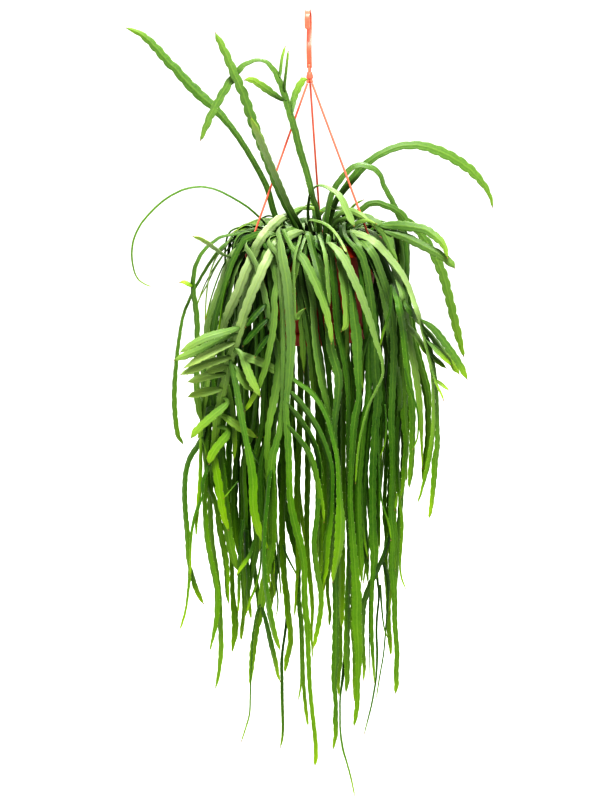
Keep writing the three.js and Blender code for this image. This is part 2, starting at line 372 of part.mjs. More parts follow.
    [[-26.6,-6.9,-292.6,3.6,1.8,35,-999,10],[-27.3,-7.9,-265.2,5.1,2.5,67,-974,-215],[-29.8,-14.8,-251.7,5.8,2.8,300,-640,-707],[-34.9,-22.1,-250,8.1,2.8,443,-313,-840],[-46.4,-42.8,-252.8,11.7,2.8,578,-82,-812],[-60.2,-77.1,-263.9,11.8,2.8,799,-60,-598],[-64.5,-82.2,-269.2,11.6,2.8,820,-58,-570],[-73.8,-80.4,-285.9,11.4,2.8,906,-35,-422],[-82.4,-84.6,-303.7,11.4,2.8,892,-37,-450],[-88.8,-83.7,-318.4,11.4,2.8,935,-39,-352],[-96.5,-78.9,-337.8,11.4,2.8,903,-34,-427],[-119.1,-56,-387.3,10.2,2.8,919,-37,-393],[-130.9,-50.2,-416.5,8.7,2.8,964,-14,-266],[-138.4,-48,-450.6,7.4,2.8,986,13,-164],[-144.6,-50.2,-488.2,5.7,2.8,982,14,-190],[-147.2,-48.2,-503.8,5,2.5,993,23,-115],[-160.1,-47.6,-651.6,2,1.5,997,38,-66]],
  ],
  stem_front_middle_long_1: [
    [[-2,-34,-292.6,4.2,2.1,-887,376,269],[-4.8,-50.5,-275.2,5.5,2.7,-920,336,201],[-6.3,-61.5,-267.2,6.3,2.8,-948,207,242],[-6.7,-72.6,-265,6.9,2.8,-952,-75,297],[-5.9,-81,-268,10.5,2.8,-921,-290,262],[-2.9,-94.4,-279.8,10.5,2.8,-889,-431,155],[3.6,-112.4,-305.1,10.5,2.8,-868,-492,60],[8.5,-121.2,-325.3,10.5,2.8,-852,-524,1],[12.6,-126.9,-349.8,9.6,2.8,-839,-543,-28],[16.4,-129.9,-397.2,11.8,2.8,-821,-561,-105],[25.6,-128.7,-440.7,11.8,2.8,-842,-540,8],[18.1,-125.5,-504.6,9,2.8,-849,-528,-14],[21.7,-119.8,-608.3,9,2.8,-849,-529,-3],[14.6,-115.1,-697.8,7.5,2.8,-848,-530,1],[12.6,-109.7,-801,10.5,2.8,-854,-520,11],[10.2,-108.2,-828.9,7.5,2.8,-848,-530,-6],[10.7,-104.5,-901.7,6.1,2.8,-862,-507,27],[6.6,-103.4,-921.6,3,1.5,-867,-457,198]],
  ],
  stem_front_middle_long_2: [
    [[10.2,-40.9,-292.6,5.2,2.6,-800,339,495],[3.9,-66.7,-278.8,7.2,2.8,-975,217,-50],[1.1,-79.6,-275.7,8.3,2.8,-965,50,-257],[11.8,-95.5,-287,11.1,2.8,-732,-679,-51],[19.9,-103.3,-304.6,11.1,2.8,-684,-729,-23],[23.2,-110.7,-334.9,11.1,2.8,-698,-710,98],[25.6,-114.5,-382.4,10,2.8,-668,-739,-85],[34.8,-113,-434.2,9.2,2.8,-669,-732,-126],[36.3,-111.6,-460.8,7.9,2.8,-693,-719,-45],[32.8,-102.1,-673.7,8.3,2.8,-704,-710,-3],[26.8,-97.7,-796.6,12,2.8,-697,-717,-14],[25,-95.8,-848.8,3.7,1.8,-728,-678,102]],
    [[27.2,-98.3,-780.6,4.8,2.4,899,400,178],[26.2,-95.6,-788.9,5.2,2.6,850,525,-47],[17.4,-88.8,-859.4,2.6,1.5,821,571,-17],[16.6,-86.2,-904.1,2.5,1.5,793,608,42],[19.1,-85.4,-928.1,3.1,1.6,746,646,160],[32.6,-84.5,-991.2,1.7,1.5,764,635,115]],
  ],
  stem_front_middle_short_2: [
    [[-19.4,-41.4,-292.6,3.8,1.9,-943,-156,-295],[-35.2,-70.4,-268.1,4.6,2.3,-968,83,-237],[-37.8,-85,-258.6,5.1,2.5,-963,69,-260],[-32,-107.3,-267.7,5.8,2.8,-952,-223,-207],[-27.3,-118.2,-276,6.2,2.8,-827,-353,-437],[-13.1,-128.1,-290.4,10.7,2.8,-839,-370,-399],[-1.8,-136.2,-311.7,10.7,2.8,-885,-362,-292],[11.6,-142.8,-348.2,9.3,2.8,-912,-354,-205],[17.7,-145.5,-390.9,2.7,1.5,-949,-312,36]],
  ],
  stem_front_right_mid_3: [
    [[16,-44,-292.6,4.6,2.3,999,19,42],[16.1,-77.6,-278,5.9,2.8,997,74,28],[20.3,-107.7,-274.6,7.3,2.8,980,179,83],[23.1,-113.9,-276.9,7.5,2.8,769,569,292],[34.4,-121,-289.5,11.8,2.8,743,635,213],[43.9,-126.1,-308.6,12.1,2.8,734,647,207],[55,-127.7,-335.7,11.7,2.8,705,654,276],[79.8,-122.5,-422.3,4.9,2.4,780,622,65],[78.4,-122.3,-440.7,4.1,2,780,575,-249],[62.7,-122.4,-470.6,4,2,765,544,-345],[52.2,-123.6,-502.6,3.4,1.7,789,571,-226],[42.9,-125.2,-569.8,2.1,1.5,795,604,-60]],
  ],
  stem_front_middle_short_3: [
    [[28,-40,-292.6,3.8,1.9,-966,232,116],[24.5,-57.8,-282.1,4.4,2.2,-980,61,-190],[23.5,-70.9,-278.8,5,2.5,-997,-3,-81],[24.4,-83.5,-280.9,5.4,2.7,-990,-138,-41],[27.6,-97.1,-289.7,6,2.8,-966,-253,-46],[31.5,-107.1,-300.6,9.3,2.8,-936,-339,-93],[34.2,-113.9,-317.7,10.3,2.8,-949,-315,9],[37.4,-123.3,-360.3,10.1,2.8,-944,-319,86],[36,-124.8,-370.9,8.3,2.8,-904,-293,312],[30.3,-125.8,-379.9,4,2,-722,-223,655]],
  ],
  stem_front_middle_long_3: [
    [[37.6,-17,-292.6,3.7,1.9,-981,-44,-190],[36.3,-14.9,-276.6,3.9,2,-999,-28,46],[36.5,-19.5,-269.2,4.1,2,-980,197,-41],[27.2,-52.1,-270.4,4.5,2.2,-982,11,-191],[30.8,-81.9,-273.5,4.8,2.4,-969,-151,-193],[35.3,-100.4,-279.8,5,2.5,-968,-211,-135],[40,-114.3,-291.7,5.3,2.6,-953,-293,-75],[41.7,-119.5,-303.3,5.5,2.8,-957,-288,28],[43.3,-123,-324.7,6.1,2.8,-949,-310,-66],[46.3,-124.4,-365,11.1,2.8,-948,-308,-84],[49.1,-121.9,-395,13.3,2.8,-952,-302,-59],[49.8,-119,-459,6.8,2.8,-959,-283,26],[42.7,-118.5,-499.8,9.3,2.8,-957,-271,105],[36.2,-116.8,-575.8,6.7,2.8,-957,-288,22],[41.5,-108.1,-716.9,12.8,2.8,-953,-300,-33],[41.8,-104.1,-788.7,10.9,2.8,-954,-299,-20],[39,-101.7,-860.7,6.6,2.8,-960,-273,61],[34,-101.3,-892.4,2.7,1.5,-952,-229,203]],
  ],
  stem_front_middle_long_4: [
    [[-32.4,-14.1,-292.6,3.9,2,878,476,39],[-35.2,-21.9,-274.3,4.5,2.2,847,374,378],[-37.2,-37.2,-262.3,5,2.5,800,122,587],[-42,-73.8,-258.3,5.6,2.8,751,-85,655],[-43.5,-101.7,-260.2,6.2,2.8,778,-101,620],[-41.7,-113.2,-266,6.4,2.8,839,-252,483],[-40.1,-121.8,-276.1,10.2,2.8,872,-336,357],[-36.1,-132,-300.4,12.6,2.8,888,-378,262],[-31.8,-134.6,-344.2,12.6,2.8,912,-411,-1],[-34.1,-128.7,-426.7,10.9,2.8,895,-436,-90],[-39.9,-122.3,-476.2,8.4,2.8,905,-421,-67],[-38.7,-116.1,-579.9,8.5,2.8,913,-408,3],[-35.5,-115.1,-610.5,10.3,2.8,912,-379,155],[-23.1,-113.9,-671.2,8.8,2.8,913,-403,56],[-20.6,-105.3,-838.1,5.7,2.8,912,-410,7],[-15.3,-101.8,-910.9,5.6,2.8,910,-415,3],[-16.8,-100,-943.6,4.2,2.1,867,-473,-156]],
    [[-34.5,-128.6,-430.4,5.1,2.5,554,747,368],[-9.7,-130.2,-451.9,8.4,2.8,492,762,421],[3.4,-132.4,-469.4,8.4,2.8,632,728,266],[12,-134.8,-489.5,8.4,2.8,700,700,140],[20,-137.8,-525.5,7.9,2.8,726,681,94],[22.3,-139.2,-555.2,7.8,2.8,753,658,-12],[22.9,-139.8,-619.6,16.8,2.8,764,644,-40],[19.8,-139.8,-649.9,14.4,2.8,774,622,-114],[12,-139.8,-691.3,4.2,2.1,769,635,-80]],
    [[-37,-126,-449.4,6.9,2.8,596,-562,573],[-21.8,-126.8,-467.5,9.9,2.8,625,-582,520],[-3.7,-129.4,-495.3,10.4,2.8,677,-604,419],[13.2,-132.7,-544.4,9.5,2.8,735,-661,148],[10.5,-134.1,-616.2,10.2,2.8,698,-711,-83],[5.6,-134,-642.5,12.8,2.8,699,-710,-83],[3,-134.2,-677,10.4,2.8,684,-723,-95],[-4.3,-134,-698.9,4.3,2.2,599,-758,-259]],
    [[-39.1,-123.6,-464.7,8.4,2.8,627,-753,199],[-11,-127.3,-507.3,10.2,2.8,573,-733,367],[-1.2,-130.2,-538.9,10.5,2.8,608,-784,120],[-3.4,-133.3,-591.1,10,2.8,586,-810,-17],[-10.1,-134.5,-643.8,9.5,2.8,598,-802,-10],[-3.4,-134.6,-701,10.2,2.8,617,-785,55],[-3.2,-134.7,-724.1,9.5,2.8,581,-813,-42],[-14.4,-134.6,-777.3,3.8,1.9,533,-837,-125]],
    [[-39.4,-120.7,-495.4,7.2,2.8,299,-625,721],[-19.5,-129,-518.2,10.4,2.8,496,-684,535],[-9.6,-133.2,-537.5,11.3,2.8,597,-728,338],[-3.2,-135.9,-566.4,10.2,2.8,636,-761,128],[2.8,-136.5,-615.4,5.1,2.6,635,-769,72]],
  ],
  stem_front_left_long_3: [
    [[-43.5,-25.6,-292.6,3.9,1.9,815,578,-36],[-33.1,-38.2,-274.9,4.5,2.2,867,498,-7],[-27.5,-55,-267.3,4.9,2.5,984,138,110],[-28.9,-72.4,-268.2,5.3,2.7,955,-249,159],[-31.8,-79.1,-267.7,5.5,2.7,835,-508,213],[-44.2,-88,-265.7,5.8,2.8,421,-847,326],[-54,-94.1,-268.1,6,2.8,509,-714,481],[-54.5,-103.1,-274.1,6.2,2.8,596,-257,761],[-44.8,-112,-284.8,6.9,2.8,791,-263,552],[-42.4,-114.3,-295.2,6.9,2.8,910,-329,252],[-41,-121.3,-316.6,6.9,2.8,921,-387,33],[-41.4,-121.6,-432.6,6.9,2.8,918,-393,-46],[-46.7,-113,-494.2,7.7,2.8,885,-424,-193],[-60.4,-104.8,-551.3,11.1,2.8,901,-411,-139],[-62,-95.7,-649.8,10.4,2.8,901,-415,-129],[-77.5,-79.8,-722.9,11.1,2.8,879,-415,-236],[-80.4,-72.7,-748.5,9.7,2.8,854,-421,-305],[-91.8,-55.3,-800.3,9.3,2.8,876,-402,-266],[-98.1,-41,-853,3.5,1.7,897,-399,-192]],
    [[-60.8,-104.4,-555.2,9,2.8,508,-854,-114],[-71.2,-110.4,-621.6,9,2.8,566,-825,5],[-73.6,-113.1,-670.8,9.3,2.8,586,-809,30],[-67.6,-113.7,-740.1,13.5,2.8,611,-787,89],[-61.6,-113.8,-770.6,11.4,2.8,625,-765,158],[-56.6,-113.6,-785.4,5.6,2.8,626,-745,232]],
    [[-79.3,-75.2,-740,6.9,2.8,537,-732,420],[-68.3,-84.6,-786.2,11.1,2.8,592,-783,193],[-58.4,-86.2,-835.1,3,1.5,617,-759,207]],
  ],
  stem_front_left_mid_1: [
    [[-50.2,-3.5,-292.6,4.8,2.4,103,-957,271],[-52.1,-2.8,-283.4,5,2.5,136,-991,8],[-49.8,-3.2,-276.6,5.2,2.6,19,-961,-274],[-44.9,-6.7,-271.9,5.4,2.7,-353,-647,-676],[-41.8,-13.9,-270.1,5.5,2.8,-528,-247,-813],[-43.1,-38.5,-267.9,6,2.8,-513,-105,-852],[-34.2,-52.1,-267.8,6.3,2.8,-451,-211,-867],[-33.2,-57.6,-269.1,6.5,2.8,-499,422,-757],[-43,-71.7,-273.9,6.9,2.8,-583,450,-676],[-51,-86.6,-272.8,7.2,2.8,-731,214,-648],[-51.6,-96.8,-276.5,7.5,2.8,-754,385,-533],[-48.9,-101.6,-288.6,7.7,2.8,-816,566,-118],[-50.1,-100.7,-298.1,7.9,2.8,-834,546,79],[-49.1,-105.9,-306,9.8,2.8,-736,412,-537],[-46.3,-114.5,-322.5,10.3,2.8,-750,654,-94],[-49.9,-117.1,-336.3,10.3,2.8,-740,673,-5],[-53.2,-120.1,-379.9,11,2.8,-717,682,145],[-64.8,-112.5,-428.3,10,2.8,-607,675,420],[-76.9,-102.4,-458,7.9,2.8,-526,695,489],[-91.3,-91,-482.7,4.3,2.1,-429,684,589]],
  ],
  stem_front_left_long_4: [
    [[-51.5,-9.1,-292.6,4.8,2.4,807,-562,-180],[-45,-15.1,-279.4,5.3,2.6,597,-545,-589],[-49.7,-28.1,-257.9,5.8,2.8,592,-626,-508],[-47.4,-35.9,-253.8,6,2.8,305,301,-904],[-46.6,-43.4,-260,6.3,2.8,79,786,-613],[-51.5,-46.9,-265.5,6.5,2.8,20,819,-573],[-70.7,-56.1,-270.7,6.9,2.8,-488,514,-705],[-74.7,-61.6,-271,7,2.8,-430,581,-691],[-83.8,-73.2,-277.3,7.4,2.8,-394,424,-815],[-83.1,-81.1,-280.8,7.6,2.8,-428,352,-833],[-78.9,-87,-286.4,7.7,2.8,-521,463,-717],[-71.3,-94.7,-300.5,8,2.8,-657,583,-478],[-67.2,-99,-314.9,9.7,2.8,-714,625,-315],[-57.5,-105.7,-369.3,10.4,2.8,-736,639,-225],[-48,-109.2,-401,11.5,2.8,-719,633,-285],[-45.8,-112.2,-422.6,15.5,2.8,-739,673,-27],[-47.6,-111.5,-433.9,14.7,2.8,-685,670,286],[-62.1,-97.7,-499.5,11,2.8,-684,686,249],[-65.1,-94.2,-526.8,9.8,2.8,-732,672,113],[-64.2,-87.4,-648.2,8.7,2.8,-750,662,16],[-61.8,-85.9,-695.5,3.5,1.7,-758,651,-38]],
    [[-60.8,-103.5,-347.5,7.3,2.8,558,-746,-364],[-76.8,-111.5,-361.7,10.4,2.8,628,-735,-255],[-86.1,-113.7,-373.4,5.5,2.7,553,-767,-324]],
    [[-58.3,-105.4,-365.7,7.2,2.8,605,-657,-450],[-61.9,-107.6,-367.3,8.9,2.8,601,-701,-384],[-73.6,-112.4,-377.1,10.8,2.8,581,-749,-318],[-90.3,-117.4,-396.1,4.5,2.2,562,-762,-323]],
    [[-53.8,-107.2,-383.5,8,2.8,459,-825,-329],[-66.4,-111.4,-394.9,10.8,2.8,546,-811,-208],[-76.1,-115.7,-410.5,5,2.5,614,-786,-74]],
  ],
  stem_front_middle_long_5: [
    [[-10,-52.4,-292.6,4.6,2.3,539,-695,-475],[-11.7,-68.3,-277.9,5.4,2.7,581,-441,-684],[-13.9,-84.7,-276.3,6.3,2.8,663,151,-733],[-15.4,-94.5,-284.2,6.9,2.8,739,528,-418],[-16.5,-103,-307.8,9,2.8,759,651,-23],[-12.1,-105.3,-336.7,10.7,2.8,731,668,139],[2.7,-105.4,-409.9,10.7,2.8,738,660,143],[12.7,-101,-508.5,9.9,2.8,760,645,72],[9.8,-95,-648.3,9.9,2.8,778,629,3],[5.2,-92.5,-707.4,5.6,2.8,777,630,-2],[7.3,-90.9,-743.1,5.2,2.6,765,642,53],[5.7,-90,-762.9,2.5,1.5,796,596,-108]],
  ],
  stem_front_middle_long_6: [
    [[1.7,-53.2,-292.6,4.8,2.4,299,-923,-242],[-2.8,-68.6,-273,5.8,2.8,404,-427,-809],[-6.9,-81,-273.5,6.6,2.8,565,154,-811],[-11,-96.5,-286.7,7.6,2.8,686,522,-506],[-12.4,-102.6,-296.4,7.9,2.8,736,625,-259],[-10.5,-106.5,-306.8,8.6,2.8,740,667,-87],[-4.4,-113,-334.9,9.8,2.8,721,691,44],[-2.7,-115.1,-356.6,10.7,2.8,732,681,-22],[-0.7,-115.7,-401,12,2.8,717,691,93],[12.2,-112.4,-486.6,8.9,2.8,730,681,60],[7.7,-110.1,-536,10.3,2.8,749,662,-17],[3.4,-104.8,-652,10.3,2.8,750,661,-26],[-0.1,-101.9,-714.8,3.4,1.7,752,659,-29]],
  ],
  stem_front_left_mid_2: [
    [[-60,2,-292.6,5.8,2.8,173,-952,-252],[-64,-4.5,-273.2,6.2,2.8,208,-924,-321],[-73.6,-10,-267.6,6.2,2.8,360,-835,-417],[-118.9,-24.8,-275.3,5.7,2.8,425,-825,-373],[-141.1,-32.7,-293.9,6.8,2.8,583,-795,-167],[-149.2,-36.9,-310.3,7.8,2.8,634,-773,-17],[-152.3,-41.1,-332.1,8.9,2.8,648,-754,113],[-148.5,-46.9,-380.5,10.4,2.8,648,-758,73],[-151.4,-52.8,-471.3,13.2,2.8,653,-755,59],[-148,-54,-501.7,5.2,2.6,659,-743,115]],
    [[-152.3,-41.1,-332.1,9.4,2.8,-11,-847,-531],[-162.2,-41.6,-327,10.3,2.8,-52,-932,-359],[-168.4,-42.4,-327.2,4.7,2.3,217,-881,-421]],
  ],
  stem_front_left_mid_3: [
    [[-62,12,-292.6,5.6,2.8,-605,-767,-212],[-65.6,9.6,-282.7,7.2,2.8,-399,-776,-489],[-70.5,7.5,-277.6,8,2.8,-51,-811,-583],[-78.1,5.1,-275.7,8,2.8,216,-819,-531],[-90.9,1.5,-277.4,7.3,2.8,352,-818,-454],[-110.7,-4,-285.8,6.4,2.8,439,-819,-370],[-119.4,-6.7,-292.5,6,2.8,539,-795,-276],[-149.1,-16.2,-334.8,5,2.5,576,-788,-218],[-168.2,-20.2,-375.3,5.2,2.6,624,-771,-131],[-179.3,-21,-439.5,7.8,2.8,655,-750,-99],[-183,-19.4,-482.1,9.6,2.8,675,-735,-62],[-181.9,-17.5,-513.6,9.4,2.8,703,-711,-6],[-179.5,-16.3,-529,8,2.8,704,-688,175],[-174,-14.9,-539.4,4,2,684,-648,333]],
  ],
  stem_front_left_long_5: [
    [[-55.9,-16.9,-292.6,4.8,2.4,-950,107,-294],[-56.3,-21.4,-291.1,5.2,2.6,-890,-182,-418],[-59.2,-49,-271.3,6.5,2.8,-891,-179,-417],[-58.9,-57.6,-269.6,6.9,2.8,-930,10,-367],[-60.1,-68,-273.6,7.4,2.8,-927,374,-35],[-70.1,-72.1,-281.8,9.1,2.8,77,674,734],[-82,-65,-283.3,10.4,2.8,223,581,783],[-98.1,-56.1,-292.1,11,2.8,-298,661,689],[-109.7,-40.6,-311.8,11.3,2.8,-544,623,562],[-118.9,-32.3,-336.2,11.3,2.8,-630,684,368],[-135.7,-30,-377.8,10.4,2.8,-706,684,184],[-144.1,-30.4,-442.4,9.8,2.8,-752,657,53],[-145.8,-30.2,-551.2,7.6,2.8,-769,635,-67],[-142,-30.6,-590.1,7.4,2.8,-777,615,-135],[-133.2,-30.2,-620.3,8.7,2.8,-775,616,-145],[-124.8,-30,-683.1,10.7,2.8,-773,628,-92],[-122.6,-30.1,-747,3.1,1.6,-775,625,-90]],
    [[-102.8,-51.2,-298.1,5.4,2.7,-772,615,-161],[-106.9,-53.7,-294.8,5.9,2.8,-502,751,-429],[-134.7,-61.1,-273.8,8.4,2.8,-484,699,-526],[-148.6,-63,-267.3,4.3,2.2,-298,707,-641]],
  ],
  stem_front_left_long_6: [
    [[-42.1,-38.9,-292.6,4.8,2.4,217,-948,-233],[-46.3,-48.7,-276.5,6.9,2.8,311,-672,-672],[-54.4,-66,-266.6,8.7,2.8,324,-548,-771],[-60.9,-72.6,-264.3,8.7,2.8,225,-586,-778],[-72.1,-73.3,-264.9,10.2,2.8,-24,-657,-753],[-83.8,-67.3,-270.5,10.4,2.8,110,-653,-750],[-90.2,-63.9,-276.9,10.4,2.8,458,-745,-485],[-104.1,-59.7,-305.7,10.4,2.8,639,-696,-328],[-124.7,-46.7,-369.9,10.4,2.8,680,-673,-291],[-131.7,-41.8,-427.5,10.4,2.8,751,-659,-40],[-132.1,-43.7,-465.4,10.4,2.8,765,-641,65],[-118.9,-43.8,-651.3,14.1,2.8,771,-631,83],[-114.4,-43.8,-678.5,12.3,2.8,776,-606,173],[-107.2,-43.6,-701,4.3,2.2,755,-566,330]],
  ],
  stem_back_left_long_1: [
    [[-20,2,-292.6,4.2,2.1,835,433,-340],[-24.9,15.2,-277.1,4.7,2.4,815,548,-187],[-31.1,27.6,-271.1,5.2,2.6,813,541,-213],[-45.3,49.4,-271.2,6,2.8,829,519,-210],[-57.2,65.9,-279.4,6.6,2.8,902,419,-101],[-62,72.6,-290.4,8.1,2.8,785,466,-408],[-74.4,79.1,-306.7,9.1,2.8,813,449,-372],[-86,85.7,-329.3,10.4,2.8,856,465,-224],[-97.8,96.2,-367.1,10.4,2.8,869,490,-69],[-103.8,105.5,-400.4,10.4,2.8,858,514,-4],[-107.2,109.6,-423.5,10.4,2.8,845,530,-71],[-110.9,109.6,-449.8,10.4,2.8,833,531,-153],[-119,98.1,-559.1,9.7,2.8,834,538,-125],[-121.2,83.9,-649.9,8.6,2.8,832,547,-92],[-118,56.4,-803.2,9.9,2.8,834,541,-105],[-123.5,50,-838.1,3,1.5,831,501,-240]],
  ],
  stem_back_left_long_2: [
    [[-30,6,-292.6,4.8,2.4,929,-284,238],[-23.9,21,-277,5.4,2.7,954,-213,209],[-24.8,38.7,-269.4,5.9,2.8,948,-57,314],[-27.3,59.6,-265.6,6.4,2.8,906,260,333],[-33.7,76,-270,6.8,2.8,831,449,327],[-36.1,86.9,-278,7.2,2.8,826,483,290],[-38.2,96.2,-291.3,7.6,2.8,775,597,208],[-39.6,102.4,-310.3,8,2.8,735,672,93],[-41.7,106.8,-406.2,10.4,2.8,725,688,-17],[-44.9,102.9,-493.8,10.4,2.8,723,686,-80],[-46.7,96.7,-549.1,10.4,2.8,722,679,-134],[-52.6,75.1,-682.3,10.4,2.8,719,688,-93],[-51.2,66.8,-745.8,10.4,2.8,711,701,-48],[-45.1,58.9,-825.9,9.5,2.8,728,680,-86],[-54.2,55,-869.3,4.3,2.2,734,654,-181]],
    [[-48.5,63.8,-773.6,4.8,2.4,809,588,13],[-58.7,73.6,-863.2,5,2.5,800,600,-2],[-59.5,75.5,-952.2,4,2,799,601,-32],[-63.7,75.5,-981.5,1.7,1.5,814,541,-213]],
  ],
  stem_back_middle_long_1: [
    [[-15.1,20,-292.6,4.8,2.4,953,-179,244],[-14.1,49.9,-273,5.9,2.8,959,-115,261],[-15.2,68.7,-272.3,6.5,2.8,945,161,286],[-18.7,83.1,-278.6,7.1,2.8,873,432,227],[-20.9,92.1,-291.4,7.5,2.8,786,580,215],[-22.6,99.7,-310.4,8,2.8,742,656,135],[-23.2,106.4,-374.6,10.4,2.8,725,688,15],[-21.9,102.5,-449.7,10.4,2.8,726,683,-76],[-31.7,74,-636.8,10.4,2.8,725,676,-130],[-31.3,61.7,-715.2,9.3,2.8,726,673,-140],[-39.2,50,-789.3,2.8,1.5,727,669,-156]],
    [[-31.5,61.1,-719.1,4.8,2.4,-750,-525,-403],[-31.3,60.8,-726.8,4.3,2.2,-801,-591,97],[-32.1,55.6,-759,3.5,1.7,-796,-595,106],[-32.4,51.2,-807.1,3.2,1.6,-791,-611,24],[-32.4,49.3,-872.6,3.6,1.8,-803,-593,49],[-37.2,49.1,-905.4,1.7,1.5,-815,-542,206]],
  ],
  stem_back_middle_long_2: [
    [[25.8,6.8,-292.6,5.8,2.8,952,245,-181],[24,18.2,-281.2,6.3,2.8,948,288,-137],[21.5,31.8,-273.3,6.7,2.8,958,232,-168],[19,47.5,-269.3,7.2,2.8,961,205,-184],[16.6,67.3,-269.8,7.7,2.8,985,-70,-155],[19.2,79.3,-274.1,8.1,2.8,927,-365,-82],[25,91.5,-283.1,8.6,2.8,811,-578,-90],[29.1,98.2,-293.5,8.9,2.8,712,-693,-114],[32.1,103,-309.8,9.4,2.8,633,-771,-68],[33.2,104.9,-324.5,10.4,2.8,608,-792,-55],[33.1,106.7,-396,10.4,2.8,601,-799,-10],[33.3,104.2,-463.5,10.4,2.8,601,-795,82],[25,63.7,-737.6,12.4,2.8,598,-797,82],[22.5,55,-809.1,4.2,2.1,596,-800,67]],
  ],
  stem_front_right_long_1: [
    [[43.9,-32.7,-292.6,4.3,2.1,829,351,436],[43.9,-38.6,-287.9,5.2,2.6,812,462,358],[51.7,-57.1,-276.5,7,2.8,821,477,313],[61.8,-75.9,-278.3,10.4,2.8,896,318,311],[68.9,-86.7,-284.5,10.7,2.8,764,453,460],[76.4,-87.2,-293.6,10.7,2.8,658,513,552],[83.7,-79.7,-313.1,10.7,2.8,751,541,380],[90.9,-68.8,-349.9,10.7,2.8,805,511,302],[93.8,-63.2,-375.6,10.7,2.8,847,525,81],[95.7,-64.6,-411.2,10.7,2.8,851,523,-42],[90.5,-68.6,-493.6,9.9,2.8,852,520,-60],[90.4,-68.4,-528.1,8.8,2.8,847,530,44],[87.2,-61.8,-692.6,7.8,2.8,848,529,31],[91.7,-54.5,-809.7,7.5,2.8,847,528,62],[89,-50,-867.2,4.6,2.3,872,479,-101]],
    [[89,-63.8,-645.2,5.6,2.8,742,594,-312],[76.7,-58.6,-682.8,7.4,2.8,746,635,-201],[50.5,-52.5,-745.1,11,2.8,727,674,-132],[47,-51.8,-792.5,11.1,2.8,693,721,-7],[49.7,-51.8,-828.2,6,2.8,690,723,32],[48.2,-51.8,-848,2.8,1.5,721,684,-106]],
  ],
  stem_front_right_long_2: [
    [[47.2,-24.1,-292.6,3.8,1.9,-775,632,32],[43,-29.5,-283.2,4,2,-775,623,106],[40.2,-35.2,-265.2,4.4,2.2,-799,593,-103],[37.1,-43.4,-260.6,4.6,2.3,-991,31,129],[37.8,-69.7,-268.1,5.2,2.6,-996,-88,26],[41.1,-85.8,-273.2,5.7,2.8,-923,-209,-322],[47.2,-95.7,-279,6.2,2.8,-709,-387,-590],[56.1,-97.5,-289.6,9.4,2.8,-808,-396,-437],[63,-96.6,-311.1,9.5,2.8,-913,-352,-207],[67.6,-94,-345.1,10,2.8,-937,-330,-110],[73.8,-86.2,-470.6,11.6,2.8,-950,-311,-22],[64.5,-84.7,-589.2,9.4,2.8,-951,-310,9],[65.1,-80.3,-675.8,10.8,2.8,-951,-310,12],[59.6,-77.5,-766.9,5.1,2.6,-949,-314,-2],[61.9,-71.3,-844.6,1.8,1.5,-945,-323,-51]],
  ],
  stem_front_right_mid_4: [
    [[47.7,-19.8,-292.6,4.8,2.4,844,528,96],[43.1,-23.1,-283.4,6.2,2.8,544,520,659],[43.3,-25.6,-278.2,6.9,2.8,306,915,264],[51.8,-29.8,-269.1,8,2.8,232,936,263],[63,-35.5,-268,9.4,2.8,563,737,375],[78.7,-47.9,-277,10.4,2.8,757,605,247],[95.3,-57.1,-303.8,10.4,2.8,682,701,207],[101.5,-63.3,-318,10.4,2.8,803,587,-106],[104,-68.9,-324.7,10.2,2.8,838,497,-226],[107.7,-82.4,-338.4,9.8,2.8,852,500,-157],[108.9,-85.3,-345.8,9.6,2.8,854,516,63],[109.8,-83.6,-353.9,9.5,2.8,793,529,304],[111.3,-67.5,-380,9.5,2.8,712,609,349],[113.8,-61.6,-399.9,9.8,2.8,723,658,210],[125.9,-55.5,-480.6,10,2.8,742,662,104],[129,-50,-570.9,2.2,1.5,756,652,56]],
    [[109.4,-85.1,-349.8,6.4,2.8,812,398,-426],[112,-92.4,-357.1,9.2,2.8,732,667,137],[116.7,-91.6,-363.3,10.6,2.8,310,627,715],[121.5,-83.1,-370.7,10.5,2.8,167,571,804],[127.6,-66.2,-383.8,5.3,2.7,216,542,812]],
    [[111,-69.6,-375.8,6.4,2.8,619,783,-65],[112.7,-70.6,-384.7,9.1,2.8,521,840,152],[124.6,-73.2,-399.2,11,2.8,519,834,186],[136.9,-76.5,-422.4,4.3,2.2,518,832,199]],
  ],
  stem_front_right_mid_5: [
    [[63,12.2,-292.6,4.7,2.4,563,-801,203],[66.3,20.4,-279.6,6.7,2.8,583,-583,566],[77.4,39.4,-278.2,9.1,2.8,717,-238,655],[81.1,44.4,-281.7,9.8,2.8,856,-295,424],[84.9,41.8,-290.4,10.1,2.8,420,-633,650],[88.9,31.4,-299.9,10.1,2.8,330,-448,831],[94.2,11.7,-311.2,10.1,2.8,419,-410,810],[99.4,1.8,-320.3,10.1,2.8,528,-484,698],[103.9,-4.4,-329.9,10,2.8,640,-593,488],[109,-9.5,-347.6,9.4,2.8,711,-648,271],[116.4,-12.6,-384.9,10.2,2.8,734,-666,131],[121.6,-12.6,-419.3,11.1,2.8,731,-661,171],[138.2,-14.9,-494.7,10.4,2.8,728,-682,71],[137.7,-15,-541.6,9,2.8,708,-705,-50],[130.9,-15,-596.2,4.2,2.1,704,-707,-69]],
  ],
  stem_front_right_mid_6: [
